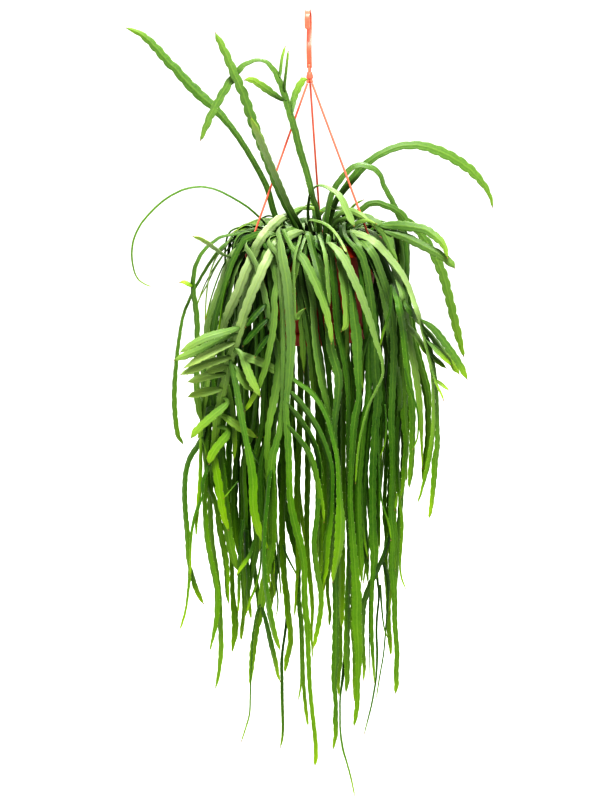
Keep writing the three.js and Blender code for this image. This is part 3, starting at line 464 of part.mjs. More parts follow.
    [[42.9,3.1,-292.6,4.8,2.4,856,499,134],[45,-6.2,-281.2,8,2.8,879,413,236],[49.1,-16,-277.5,9,2.8,882,426,203],[60.1,-48.6,-277.5,10.4,2.8,923,314,224],[68.5,-64.2,-282,10.4,2.8,753,523,400],[76.9,-64.3,-289.9,10.4,2.8,468,552,690],[87.1,-52.9,-311.2,10.4,2.8,627,676,387],[94.7,-52.7,-328.8,10.4,2.8,772,631,75],[97,-57.7,-334.7,10.4,2.8,899,339,-277],[100.2,-95.2,-347,10.4,2.8,873,262,-412],[101.8,-107.1,-356.1,10.4,2.8,874,479,-85],[103.5,-105.4,-367.5,10.4,2.8,753,530,390],[106,-93.9,-384.3,10.4,2.8,730,567,381],[106.8,-92.2,-392.1,10.4,2.8,745,649,156],[115.8,-91.7,-490,11.3,2.8,753,654,72],[114.2,-84.9,-552.3,8.7,2.8,770,637,32],[110.7,-80,-587.8,4.3,2.2,780,626,5]],
  ],
  stem_back_left_long_3: [
    [[-13.8,49.6,-292.6,3.6,1.8,276,771,-574],[-12.5,56,-286.6,3.9,1.9,324,533,-782],[-2.8,69.3,-277.5,4.4,2.2,162,165,-973],[4.3,88.6,-273.6,4.9,2.4,154,185,-971],[4.4,104.9,-272.2,5.3,2.7,154,-26,-988],[-0.6,120.2,-274.6,5.8,2.8,212,-112,-971],[-20.9,123.5,-283.7,10.4,2.8,571,-104,-814],[-38.2,123.7,-299.9,10.8,2.8,765,-78,-639],[-49.4,121.7,-316,10.8,2.8,870,-55,-491],[-74.6,113.7,-364.4,10.8,2.8,897,-48,-440],[-86.9,107.3,-392.7,10.8,2.8,931,-38,-363],[-96.5,98.2,-417.2,10.6,2.8,934,-42,-356],[-106,85.2,-441,10.4,2.8,945,-29,-327],[-119.5,49.4,-496.5,9.8,2.8,977,1,-213],[-124.4,37.1,-521.4,9.6,2.8,989,10,-150],[-127.2,31.6,-543.9,8.5,2.8,991,14,-131],[-129.5,29.6,-571.2,8.8,2.8,994,54,92],[-121.4,28.2,-634.4,8.8,2.8,987,78,137],[-114,34.3,-667.2,3.6,1.8,939,120,324]],
    [[-93.7,101.2,-410.3,5.3,2.6,507,287,-813],[-111.3,102.6,-415.1,9.4,2.8,287,255,-923],[-141.2,108.8,-424.9,10.6,2.8,369,281,-886],[-171.1,107.5,-442.5,4,2,549,312,-775]],
    [[-100.7,93.1,-427.5,5.9,2.8,858,260,-444],[-104.9,97.7,-430.1,7.9,2.8,584,435,-685],[-112.8,101.7,-433.3,9.3,2.8,457,450,-767],[-144.2,104.1,-449.2,10.4,2.8,440,466,-768],[-167.3,103.4,-463.3,3,1.5,427,466,-775]],
    [[-107.2,83.1,-444.4,6,2.8,648,465,-603],[-138.5,88,-455.2,10.4,2.8,328,448,-832],[-170.6,88.1,-469,4.5,2.2,386,464,-797]],
    [[-116.6,58.1,-482.5,6.4,2.8,810,122,-573],[-123.1,62.4,-485.6,9.7,2.8,383,433,-816],[-142.6,67.5,-489.8,11,2.8,273,496,-824],[-161.3,70.1,-495.8,4.8,2.4,378,512,-771]],
    [[-118.8,51.5,-493,4.8,2.4,432,-499,752],[-109.1,55.6,-497.3,4.8,2.4,772,-378,511],[-109.7,58.8,-503.2,6.9,2.8,798,257,-545],[-139.7,64,-528.8,10.5,2.8,623,374,-687],[-158.8,64.6,-549.6,4.8,2.4,753,418,-508]],
    [[-123.2,40,-514.1,5.5,2.8,-64,636,769],[-109.7,43.9,-520.4,9.2,2.8,374,676,635],[-85.2,48,-539.7,10.4,2.8,383,647,659],[-72.1,49.3,-547.9,4.1,2.1,342,651,678]],
    [[-104.7,87.3,-437.6,5.8,2.8,94,666,740],[-69,96.2,-455.2,10.8,2.8,265,690,673],[-34.2,97.4,-474.6,4.3,2.2,330,690,644]],
  ],
  stem_back_middle_long_3: [
    [[-8,46,-292.6,4.5,2.2,-789,614,15],[-10.5,47.5,-281,4.9,2.4,-446,511,-735],[-23.1,56,-274.5,5.4,2.7,-37,408,-912],[-32.4,66.1,-272.1,5.8,2.8,408,252,-878],[-41.8,80.8,-275.5,6.3,2.8,815,219,-536],[-46.2,92.5,-280.2,6.7,2.8,945,276,-178],[-51.1,103.4,-290.4,7.2,2.8,871,490,40],[-52.9,109,-301.6,8.8,2.8,778,577,248],[-45,116.6,-353.4,12.3,2.8,757,640,130],[-41.9,117.9,-417.4,12.3,2.8,778,628,10],[-42.9,115.8,-453.1,11.4,2.8,781,613,-120],[-51.1,109.5,-524,8.2,2.8,780,622,-71],[-49.6,103.9,-632.7,8.2,2.8,774,634,-5],[-46.4,103.4,-665.3,10,2.8,740,660,133],[-33,103.8,-730.1,8.6,2.8,763,644,57],[-30.2,96.4,-903.7,5.6,2.8,775,632,-1],[-25.9,94.6,-958.1,3.2,1.6,756,651,66]],
  ],
  stem_back_left_long_4: [
    [[-24,52,-292.6,4.8,2.4,986,109,-123],[-24.8,77.9,-279.4,5.5,2.7,982,146,-120],[-30.8,109.2,-277.5,6.1,2.8,966,246,-76],[-35.8,124.4,-286.8,6.4,2.8,856,464,228],[-36.7,130.6,-298.1,6.6,2.8,758,621,200],[-37.3,134.8,-314.3,6.9,2.8,713,695,98],[-34.5,136.9,-341.6,6.9,2.8,714,697,64],[-32.9,137.5,-397.8,6.9,2.8,722,692,2],[-33.7,131.8,-501.9,6.9,2.8,726,678,-117],[-39.1,126.9,-549.6,7.9,2.8,722,658,-212],[-53.1,120.2,-603.5,11.1,2.8,724,673,-152],[-55.1,109.4,-712.1,10.4,2.8,722,661,-202],[-70,98.3,-773.9,11.1,2.8,717,654,-242],[-72.5,94,-797.5,3.5,1.7,719,674,-171]],
  ],
  stem_back_middle_long_4: [
    [[7.9,54.4,-292.6,4.6,2.3,-615,-706,351],[2,68,-273.8,5.4,2.7,-656,-601,457],[-1.7,80.2,-270.6,6,2.8,-825,-59,561],[-1.3,108.4,-281.9,7,2.8,-848,174,500],[-2.8,121.9,-283.5,7.6,2.8,-897,23,441],[-2.1,127.2,-291.5,10.4,2.8,-827,562,18],[16,132.5,-373,10.4,2.8,-770,624,-134],[23.7,129.2,-448.4,11.8,2.8,-763,623,-173],[33.2,126.4,-487,11.9,2.8,-761,645,-66],[25.1,123,-554.9,9,2.8,-755,656,7],[28.9,117.2,-664.4,8.9,2.8,-760,650,-23],[21.2,112.1,-762.4,7.4,2.8,-758,652,-3],[19,106.7,-870,10.4,2.8,-753,658,-1],[17.1,104,-919.8,3.3,1.6,-775,624,-94]],
  ],
  stem_back_middle_long_5: [
    [[22.9,49.8,-292.6,4.3,2.2,949,-55,312],[25.5,65.7,-284.9,4.5,2.2,806,-526,273],[30.1,73.8,-281,4.6,2.3,747,-608,269],[34.3,79.1,-279.7,4.6,2.3,768,-575,280],[35.5,86.8,-283.7,4.8,2.4,987,136,-83],[32.9,103.4,-287.7,4.9,2.4,990,-136,33],[42.2,114.1,-298.3,5,2.5,778,-626,45],[41.8,117,-311.1,5.1,2.6,801,-575,-165],[40.6,119.3,-332.5,5.2,2.6,812,-582,-37],[42.9,120.6,-363.3,6,2.8,817,-572,78],[48.5,118.9,-426.6,13.7,2.8,814,-572,104],[50,115,-502.7,7.1,2.8,806,-591,8],[42.2,114.4,-550.6,9.1,2.8,792,-605,-81],[35,112.1,-631.9,6.6,2.8,808,-589,3],[40.6,103.3,-783.4,12.9,2.8,812,-583,26],[40.6,99.1,-862.2,9.9,2.8,810,-586,19],[37.8,96.6,-925,3.1,1.5,809,-587,3]],
  ],
  stem_back_right_long_1: [
    [[34.5,43.5,-292.6,4.6,2.3,206,-974,90],[32.1,50.1,-274.2,5.2,2.6,174,-630,756],[32.4,60.1,-274.6,5.6,2.8,216,394,893],[26.6,76.9,-275.1,5.9,2.8,454,-163,876],[27.7,89.3,-270.4,6.2,2.8,535,-459,709],[32.2,96.1,-269.5,6.4,2.8,642,-416,644],[37.3,102.2,-272.3,6.5,2.8,821,-223,526],[40.6,110.7,-281.4,6.8,2.8,978,180,110],[36.2,119.1,-291.7,7.2,2.8,918,372,-142],[36,123.4,-296.2,7.4,2.8,846,-267,461],[42.1,125.2,-301.7,7.6,2.8,474,-493,729],[52.6,124,-307.2,10.1,2.8,369,-534,761],[61.2,121.1,-314.7,10.4,2.8,506,-561,655],[73.8,115.7,-334.2,10.4,2.8,663,-599,448],[84.5,110.7,-363.6,10.4,2.8,726,-624,288],[93.1,103,-429.6,10.4,2.8,749,-657,82],[83.9,92.8,-658.2,7,2.8,750,-661,37],[86.3,90.2,-694.4,8.1,2.8,749,-661,40],[83.8,87.1,-738.9,7.9,2.8,751,-654,92],[87.8,75.2,-856,3.3,1.6,754,-648,105]],
  ],
  stem_back_right_long_2: [
    [[48,29.3,-292.6,5.4,2.7,905,358,-232],[39.7,46.3,-274.5,6.3,2.8,930,342,-135],[38.4,55.9,-271.2,6.7,2.8,972,53,-229],[39.4,66,-271.5,7.1,2.8,937,-264,-227],[42.9,77.6,-276.4,7.6,2.8,873,-457,-172],[46.1,84.9,-283.8,8,2.8,792,-595,-139],[49.8,90.9,-299.3,8.7,2.8,691,-719,78],[56.3,91.8,-307.3,9.6,2.8,491,-725,483],[69.1,90,-326.5,10.4,2.8,582,-718,382],[77.4,85.1,-351.9,10.4,2.8,613,-731,299],[84.7,77.5,-389.3,10.4,2.8,627,-741,240],[89.2,67.3,-434.6,10.5,2.8,622,-731,281],[99.9,54.1,-486.3,9.4,2.8,629,-751,201],[99.1,50.3,-517.2,8.7,2.8,622,-783,5],[93.2,47.6,-584,10.9,2.8,634,-769,79],[97.1,34.7,-652.8,3.8,1.9,634,-749,193]],
  ],
  stem_back_left_long_5: [
    [[-48,36,-292.6,5.4,2.7,938,163,-306],[-44.9,56.5,-278.9,6.6,2.8,926,196,-323],[-46.2,62.7,-277.5,7,2.8,891,342,-298],[-50,68.9,-279,7.6,2.8,771,552,-319],[-56.2,72.9,-283.3,8.1,2.8,538,773,-336],[-65.1,74.7,-289,8.7,2.8,365,764,-533],[-82.4,74.5,-296.3,10.4,2.8,97,654,-750],[-94.9,71.3,-304.4,11,2.8,385,670,-635],[-104.4,64.6,-320.3,11.3,2.8,519,688,-507],[-130,38.7,-385.6,10.5,2.8,576,722,-383],[-137.9,30.1,-438.3,10.1,2.8,629,767,-127],[-140.4,28.3,-481.1,9.3,2.8,626,779,-29],[-140.9,28,-564.4,7.6,2.8,610,792,43],[-137,28,-604.1,7.4,2.8,578,810,101],[-128.1,28.2,-634.8,8.6,2.8,575,811,111],[-125.8,27.7,-658.7,10.3,2.8,601,798,45],[-122.7,27.2,-678.5,3.8,1.9,583,808,91]],
  ],
  stem_back_left_mid: [
    [[-39.1,45.8,-292.6,5.1,2.6,933,177,-313],[-28.1,70,-276,6.2,2.8,864,4,-503],[-27.1,79.3,-272.6,6.6,2.8,876,168,-452],[-29.4,88.5,-271.6,7,2.8,835,350,-425],[-39.3,104.6,-276.9,7.8,2.8,873,434,-222],[-45,112.5,-285.4,8.4,2.8,783,545,-300],[-68.3,116.4,-295.8,10.4,2.8,467,654,-595],[-81.3,115.4,-311,10.4,2.8,575,674,-464],[-94.4,111.4,-335.1,10.4,2.8,609,687,-397],[-115.8,97.5,-405.2,10.4,2.8,743,641,-191],[-116.5,92.8,-448.4,9.7,2.8,661,748,54],[-103,93.4,-520.6,7.8,2.8,651,756,71],[-101,93.1,-557.4,8.7,2.8,671,741,-14],[-101.7,92.7,-573.6,3.6,1.8,679,731,-60]],
  ],
  stem_back_middle_long_6: [
    [[1,63.5,-292.6,5.3,2.6,843,420,336],[-8.5,74.1,-278.8,6,2.8,902,-184,390],[-10.2,80,-274.1,6.2,2.8,849,0,528],[-13.8,90.8,-271.5,6.5,2.8,769,208,605],[-24.8,123.5,-275.7,7.2,2.8,702,482,524],[-24.9,131.8,-286.4,7.6,2.8,672,650,355],[-24.9,136.5,-298.7,7.9,2.8,669,721,181],[-24.7,139.4,-331.9,8.5,2.8,649,758,70],[-14.3,139.8,-382.9,10.2,2.8,651,756,67],[-12.1,138.6,-439.1,11.7,2.8,661,750,11],[2.6,133.1,-538.3,8.8,2.8,668,744,-18],[-2.4,129.9,-590.6,10.2,2.8,680,728,-90],[-7,122.2,-712.7,10.2,2.8,681,726,-96],[-9.2,120.4,-741.3,3.8,1.9,681,725,-98]],
  ],
  stem_back_middle_short: [
    [[4,12,-292.6,5.2,2.6,-737,-584,341],[1,35.9,-251.8,7.8,2.8,-716,-637,287],[-5.8,58.4,-214.1,9.2,2.8,-743,-634,214],[-31.2,116.2,-116.4,10.2,2.8,-739,-652,170],[-39.9,130,-92.1,3.7,1.8,-744,-667,38]],
  ],
  stem_back_right_short_2: [
    [[19.6,36.5,-292.6,5.3,2.6,-683,645,-343],[12.8,48.6,-269,6.4,2.8,-653,628,-423],[15.2,54.7,-259.8,6.4,2.8,-710,696,-109],[31.2,71.7,-240.5,6.5,2.8,-753,654,76],[70.8,115.5,-202.7,7.9,2.8,-732,653,194],[90.9,131.2,-191.7,7.4,2.8,-621,693,366],[113.4,144.6,-185.2,7.9,2.8,-440,731,521],[137.3,155.6,-184.5,9,2.8,-238,744,624],[160.8,165,-191.1,3.8,1.9,-9,743,669]],
  ],
};

Object.entries(stems).forEach(([name, list], k) => {
  let s = null;
  for (const rings of list) {
    const one = toSolid(ribbon(rings));
    s = s ? s.add(one) : one;
  }
  put(name, toGeometry(s), greens[k % greens.length]);
});

export default all;
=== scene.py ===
import math

import bpy
import numpy as np
from mathutils import Matrix, Vector, noise


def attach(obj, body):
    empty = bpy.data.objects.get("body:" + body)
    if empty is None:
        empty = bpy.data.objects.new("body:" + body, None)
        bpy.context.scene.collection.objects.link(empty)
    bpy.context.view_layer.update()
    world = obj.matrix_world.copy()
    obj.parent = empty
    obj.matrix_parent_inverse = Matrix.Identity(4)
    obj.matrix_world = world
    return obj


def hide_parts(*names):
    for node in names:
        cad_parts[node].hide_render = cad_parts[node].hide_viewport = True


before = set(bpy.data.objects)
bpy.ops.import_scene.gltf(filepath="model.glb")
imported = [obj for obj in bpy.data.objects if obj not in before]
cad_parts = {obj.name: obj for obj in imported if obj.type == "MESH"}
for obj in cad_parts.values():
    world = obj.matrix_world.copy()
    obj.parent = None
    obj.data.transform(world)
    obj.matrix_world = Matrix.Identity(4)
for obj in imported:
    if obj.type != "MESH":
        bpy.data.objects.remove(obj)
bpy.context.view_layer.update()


MM = 0.001

# ------------------------------------------------------------------ camera
# Where the photograph was taken from: 3 m away, a little above the pot's rim.
YAW, PITCH, ROLL = (math.radians(a) for a in (-0.4485, 11.5907, -1.6332))
cam_data = bpy.data.cameras.new("photo_camera")
cam_data.lens = 108.0
cam_data.sensor_width = 36.0
cam_data.clip_end = 60.0
cam = bpy.data.objects.new("photo_camera", cam_data)
bpy.context.scene.collection.objects.link(cam)
f = Vector((math.sin(YAW) * math.cos(PITCH), math.cos(YAW) * math.cos(PITCH), -math.sin(PITCH)))
r = f.cross(Vector((0, 0, 1))).normalized()
u = r.cross(f)
c, q = math.cos(ROLL), math.sin(ROLL)
right, up = c * r + q * u, -q * r + c * u
m = Matrix((right, up, -f)).transposed().to_4x4()
m.translation = Vector((0.00, -3000.00, 126.00)) * MM
cam.matrix_world = m
bpy.context.scene.camera = cam


# --------------------------------------------------------------- materials
def new_material(name):
    mat = bpy.data.materials.new(name)
    mat.use_nodes = True
    nt = mat.node_tree
    nt.nodes.clear()
    out = nt.nodes.new("ShaderNodeOutputMaterial")
    sh = nt.nodes.new("ShaderNodeBsdfPrincipled")
    nt.links.new(sh.outputs[0], out.inputs[0])
    return mat, nt, sh


def node(nt, kind, **kw):
    n = nt.nodes.new(kind)
    for k, v in kw.items():
        if k.startswith("i_"):
            n.inputs[int(k[2:])].default_value = v
        else:
            setattr(n, k, v)
    return n


def ramp(nt, fac, stops, interpolation="LINEAR"):
    n = nt.nodes.new("ShaderNodeValToRGB")
    n.color_ramp.interpolation = interpolation
    el = n.color_ramp.elements
    while len(el) < len(stops):
        el.new(0.5)
    for e, (p, col) in zip(el, stops):
        e.position = p
        e.color = (*col, 1.0)
    nt.links.new(fac, n.inputs[0])
    return n.outputs[0]


def mix(nt, fac, a, b, blend="MIX"):
    n = nt.nodes.new("ShaderNodeMix")
    n.data_type = "RGBA"
    n.blend_type = blend
    for sock, v in ((n.inputs[0], fac), (n.inputs[6], a), (n.inputs[7], b)):
        if hasattr(v, "is_linked"):
            nt.links.new(v, sock)
        else:
            sock.default_value = v if not isinstance(v, tuple) else (*v, 1.0)
    return n.outputs[2]


def math_node(nt, op, a, b=0.5, c_=0.0, clamp=False):
    n = nt.nodes.new("ShaderNodeMath")
    n.operation = op
    n.use_clamp = clamp
    for sock, v in zip(n.inputs, (a, b, c_)):
        if hasattr(v, "is_linked"):
            nt.links.new(v, sock)
        else:
            sock.default_value = v
    return n.outputs[0]


def attribute(nt, name):
    n = nt.nodes.new("ShaderNodeAttribute")
    n.attribute_type = "GEOMETRY"
    n.attribute_name = name
    return n


def separate(nt, vec):
    n = nt.nodes.new("ShaderNodeSeparateXYZ")
    nt.links.new(vec, n.inputs[0])
    return n.outputs


def coords(nt, scale=(1, 1, 1)):
    tc = nt.nodes.new("ShaderNodeTexCoord")
    mp = nt.nodes.new("ShaderNodeMapping")
    mp.inputs[3].default_value = scale
    nt.links.new(tc.outputs["Object"], mp.inputs[0])
    return mp.outputs[0]


def noise_tex(nt, vec, scale, detail=3.0, rough=0.55):
    n = nt.nodes.new("ShaderNodeTexNoise")
    n.inputs["Scale"].default_value = scale
    n.inputs["Detail"].default_value = detail
    n.inputs["Roughness"].default_value = rough
    nt.links.new(vec, n.inputs["Vector"])
    return n.outputs[0]


def bump(nt, height, strength, distance, sh, normal=None):
    n = nt.nodes.new("ShaderNodeBump")
    n.inputs["Strength"].default_value = strength
    n.inputs["Distance"].default_value = distance
    nt.links.new(height, n.inputs["Height"])
    if normal is not None:
        nt.links.new(normal, n.inputs["Normal"])
    nt.links.new(n.outputs[0], sh.inputs["Normal"])
    return n.outputs[0]


def stem_material(name):
    """Fleshy flat stem: waxy grey-green when old, yellow-green when young; paler high up, partly as painted top light.

    Mesh attributes: along (age, height for the waxy bloom and painted top light, random tone with painted shade) and
    across (-1..1 over the width, 0 at the midrib; second value is the distance along in metres)."""
    mat, nt, sh = new_material(name)
    age, height_bloom_and_top_light, tone_and_painted_shade = separate(nt, attribute(nt, "along").outputs["Vector"])
    acr, run, warm = separate(nt, attribute(nt, "across").outputs["Vector"])
    vec = coords(nt)
    n1 = noise_tex(nt, vec, 28.0, 2.0)
    n2 = noise_tex(nt, vec, 330.0, 3.0)
    # old to young along a stem, shifted a little by noise
    a = math_node(nt, "ADD", age, math_node(nt, "MULTIPLY", math_node(nt, "SUBTRACT", n1, 0.5), 0.35), clamp=True)
    base = ramp(nt, a, ((0.0, (0.018, 0.084, 0.001)), (0.35, (0.052, 0.150, 0.001)), (0.65, (0.125, 0.240, 0.002)), (1.0, (0.22, 0.345, 0.003))))
    # high up the skin is greyer and paler, low down more saturated: partly the waxy bloom, partly painted light on the
    # top-lit crown
    waxy_and_top_lit = ramp(nt, a, ((0.0, (0.115, 0.175, 0.070)), (0.5, (0.242, 0.305, 0.155)), (1.0, (0.355, 0.385, 0.22))))
    col = mix(nt, height_bloom_and_top_light, base, waxy_and_top_lit)
    # each stem differs a little in tone, and stems deep in the mass are set darker as painted shade
    dark = mix(nt, 1.0, col, (0.24, 0.42, 0.10), "MULTIPLY")
    col = mix(nt, tone_and_painted_shade, col, dark)
    # young yellow growth
    col = mix(nt, warm, col, (0.25, 0.37, 0.006))
    # paler line over the midrib, pale thin edge, and darker bands beside the midrib: painted shade of the furrows
    # there
    x = math_node(nt, "ABSOLUTE", acr, 0.0)
    rib = ramp(nt, x, ((0.0, (1, 1, 1)), (0.10, (0.7, 0.7, 0.7)), (0.24, (0.0, 0.0, 0.0)), (0.84, (0.05, 0.05, 0.05)), (1.0, (0.75, 0.75, 0.75))))
    col = mix(nt, math_node(nt, "MULTIPLY", rib, 0.16), col, (0.30, 0.42, 0.08))
    furrow_shade = ramp(nt, x, ((0.10, (0, 0, 0)), (0.27, (1, 1, 1)), (0.5, (0, 0, 0)), (1.0, (0, 0, 0))))
    col = mix(nt, math_node(nt, "MULTIPLY", furrow_shade, 0.12), col, (0.03, 0.10, 0.006))
    # fine mottling of the skin
    mott = ramp(nt, n2, ((0.38, (0, 0, 0)), (0.62, (1, 1, 1))))
    col = mix(nt, math_node(nt, "MULTIPLY", mott, 0.10), col, (0.22, 0.34, 0.03), "MIX")
    # painted shade: deeper green where stems lie close together, from ambient occlusion
    ao = node(nt, "ShaderNodeAmbientOcclusion", samples=3)
    ao.inputs["Distance"].default_value = 0.028
    painted_crevice_shade = ramp(nt, ao.outputs["AO"], ((0.25, (1.0,) * 3), (0.80, (0.0,) * 3)))
    col = mix(nt, painted_crevice_shade, col, mix(nt, 1.0, col, (0.18, 0.34, 0.08), "MULTIPLY"))
    nt.links.new(col, sh.inputs["Base Color"])
    rough = ramp(nt, n2, ((0.3, (0.40,) * 3), (0.7, (0.56,) * 3)))
    nt.links.new(rough, sh.inputs["Roughness"])
    sh.inputs["Specular IOR Level"].default_value = 0.25
    sh.inputs["Subsurface Weight"].default_value = 0.08
    sh.inputs["Subsurface Radius"].default_value = (0.3, 0.6, 0.08)
    sh.inputs["Subsurface Scale"].default_value = 0.004
    sh.inputs["Sheen Weight"].default_value = 0.015
    sh.inputs["Sheen Roughness"].default_value = 0.5
    sh.inputs["Coat Weight"].default_value = 0.05
    sh.inputs["Coat Roughness"].default_value = 0.35
    # long fine striations and a slightly uneven skin
    st = node(nt, "ShaderNodeTexWave", wave_type="BANDS", bands_direction="X")
    st.inputs["Scale"].default_value = 3.2
    st.inputs["Distortion"].default_value = 1.4
    st.inputs["Detail"].default_value = 2.0
    cx = nt.nodes.new("ShaderNodeCombineXYZ")
    nt.links.new(acr, cx.inputs[0])
    nt.links.new(math_node(nt, "MULTIPLY", run, 14.0), cx.inputs[1])
    nt.links.new(cx.outputs[0], st.inputs["Vector"])
    h = math_node(nt, "ADD", math_node(nt, "MULTIPLY", st.outputs[1], 0.30), math_node(nt, "MULTIPLY", n2, 0.7))
    bump(nt, h, 0.25, 0.0005, sh)
    return mat


def plastic_material(name, col_a, col_b, dusty, rough=(0.38, 0.52), grain=900.0, coat=0.1):
    """Moulded plastic: slight cloudiness, rubbed edges, dust in patches."""
    mat, nt, sh = new_material(name)
    vec = coords(nt)
    big = noise_tex(nt, vec, 14.0, 3.0)
    fine = noise_tex(nt, vec, grain, 2.0)
    spots = noise_tex(nt, vec, 120.0, 5.0, 0.7)
    col = mix(nt, ramp(nt, big, ((0.35, (0, 0, 0)), (0.65, (1, 1, 1)))), col_a, col_b)
    film = ramp(nt, spots, ((0.52, (0, 0, 0)), (0.74, (1, 1, 1))))
    col = mix(nt, math_node(nt, "MULTIPLY", film, 0.30), col, dusty)
    geo = nt.nodes.new("ShaderNodeNewGeometry")
    edge = ramp(nt, geo.outputs["Pointiness"], ((0.50, (0, 0, 0)), (0.56, (1, 1, 1))))
    col = mix(nt, math_node(nt, "MULTIPLY", edge, 0.35), col, tuple(min(1.0, v * 1.7 + 0.02) for v in col_b))
    nt.links.new(col, sh.inputs["Base Color"])
    nt.links.new(ramp(nt, spots, ((0.3, (rough[0],) * 3), (0.7, (rough[1],) * 3))), sh.inputs["Roughness"])
    sh.inputs["Specular IOR Level"].default_value = 0.5
    sh.inputs["Coat Weight"].default_value = coat
    sh.inputs["Coat Roughness"].default_value = 0.35
    sh.inputs["Subsurface Weight"].default_value = 0.04
    sh.inputs["Subsurface Radius"].default_value = (1.0, 0.25, 0.08)
    sh.inputs["Subsurface Scale"].default_value = 0.002
    bump(nt, math_node(nt, "ADD", math_node(nt, "MULTIPLY", fine, 0.6), math_node(nt, "MULTIPLY", spots, 0.5)), 0.16, 0.0004, sh)
    return mat


def soil_material(name):
    mat, nt, sh = new_material(name)
    vec = coords(nt)
    n1 = noise_tex(nt, vec, 160.0, 5.0, 0.7)
    n2 = noise_tex(nt, vec, 700.0, 3.0)
    vor = nt.nodes.new("ShaderNodeTexVoronoi")
    vor.inputs["Scale"].default_value = 330.0
    nt.links.new(vec, vor.inputs["Vector"])
    col = ramp(nt, n1, ((0.30, (0.010, 0.006, 0.004)), (0.52, (0.045, 0.026, 0.014)), (0.72, (0.11, 0.068, 0.036)), (0.86, (0.24, 0.17, 0.10))))
    col = mix(nt, math_node(nt, "MULTIPLY", n2, 0.4), col, (0.02, 0.012, 0.008))
    nt.links.new(col, sh.inputs["Base Color"])
    nt.links.new(ramp(nt, n2, ((0.3, (0.78,) * 3), (0.7, (0.98,) * 3))), sh.inputs["Roughness"])
    sh.inputs["Specular IOR Level"].default_value = 0.25
    bump(nt, math_node(nt, "ADD", n1, math_node(nt, "MULTIPLY", vor.outputs[0], 0.8)), 0.8, 0.0015, sh)
    return mat


# ------------------------------------------------------------- mesh makers
scene_coll = bpy.context.scene.collection


def make_object(name, verts, faces, mats, smooth=True, attrs=None, face_mats=None):
    me = bpy.data.meshes.new(name)
    me.from_pydata([tuple(v) for v in verts], [], [tuple(int(i) for i in fc) for fc in faces])
    me.validate(clean_customdata=False)
    for a, vals in (attrs or {}).items():
        at = me.attributes.new(a, "FLOAT_VECTOR", "POINT")
        at.data.foreach_set("vector", np.asarray(vals, dtype=np.float32).ravel())
    for mt in mats:
        me.materials.append(mt)
    if face_mats is not None:
        me.polygons.foreach_set("material_index", np.asarray(face_mats, dtype=np.int32))
    me.polygons.foreach_set("use_smooth", np.full(len(me.polygons), smooth))
    me.update()
    ob = bpy.data.objects.new(name, me)
    scene_coll.objects.link(ob)
    return ob


def fix_normals(ob):
    import bmesh

    bm = bmesh.new()
    bm.from_mesh(ob.data)
    bmesh.ops.recalc_face_normals(bm, faces=bm.faces)
    bm.to_mesh(ob.data)
    bm.free()


def sharp_by_angle(ob, deg):
    ob.data.set_sharp_from_angle(angle=math.radians(deg))


def lathe_object(name, outline, seg, mats):
    """outline: closed [radius mm, z mm] list; points on the axis are shared."""
    verts, rings = [], []
    for rr, z in outline:
        if rr < 1e-6:
            rings.append([len(verts)])
            verts.append((0, 0, z * MM))
        else:
            rings.append(list(range(len(verts), len(verts) + seg)))
            for i in range(seg):
                a = 2 * math.pi * i / seg
                verts.append((rr * math.cos(a) * MM, rr * math.sin(a) * MM, z * MM))
    faces = []
    n = len(rings)
    closed = outline[0][0] > 1e-6
    for k in range(n if closed else n - 1):
        A, B = rings[k], rings[(k + 1) % n]
        for i in range(seg):
            j = (i + 1) % seg
            if len(A) == 1 and len(B) == 1:
                break
            if len(A) == 1:
                faces.append((A[0], B[i], B[j]))
            elif len(B) == 1:
                faces.append((A[i], B[0], A[j]))
            else:
                faces.append((A[i], B[i], B[j], A[j]))
    ob = make_object(name, verts, faces, mats)
    fix_normals(ob)
    return ob


def rounded(outline, radii, steps=4):
    """Rounds the corners of an open outline of [r, z] points."""
    out = [outline[0]]
    for i in range(1, len(outline) - 1):
        p, a, b = (np.array(outline[k], float) for k in (i, i - 1, i + 1))
        rad = radii[i]
        if rad <= 0:
            out.append(tuple(p))
            continue
        da, db = a - p, b - p
        la, lb = np.linalg.norm(da), np.linalg.norm(db)
        t = min(rad, la * 0.45, lb * 0.45)
        pa, pb = p + da / la * t, p + db / lb * t
        for k in range(steps + 1):
            w = k / steps
            out.append(tuple((1 - w) ** 2 * pa + 2 * w * (1 - w) * p + w * w * pb))
    out.append(outline[-1])
    return out


def sweep(path, widths, section, ends=True):
    """Loft of a closed section (list of (u, v)) along a path with frames.

    path: list of (point, side, normal); widths: list of (half u, half v)."""
    k = len(section)
    verts, faces = [], []
    for (p, s, nn), (a, b) in zip(path, widths):
        for su, sv in section:
            verts.append(p + s * (a * su) + nn * (b * sv))
    n = len(path)
    for i in range(n - 1):
        for j in range(k):
            j2 = (j + 1) % k
            faces.append((i * k + j, i * k + j2, (i + 1) * k + j2, (i + 1) * k + j))
    if ends:
        faces.append(tuple(range(k))[::-1])
        faces.append(tuple(range((n - 1) * k, n * k)))
    return verts, faces


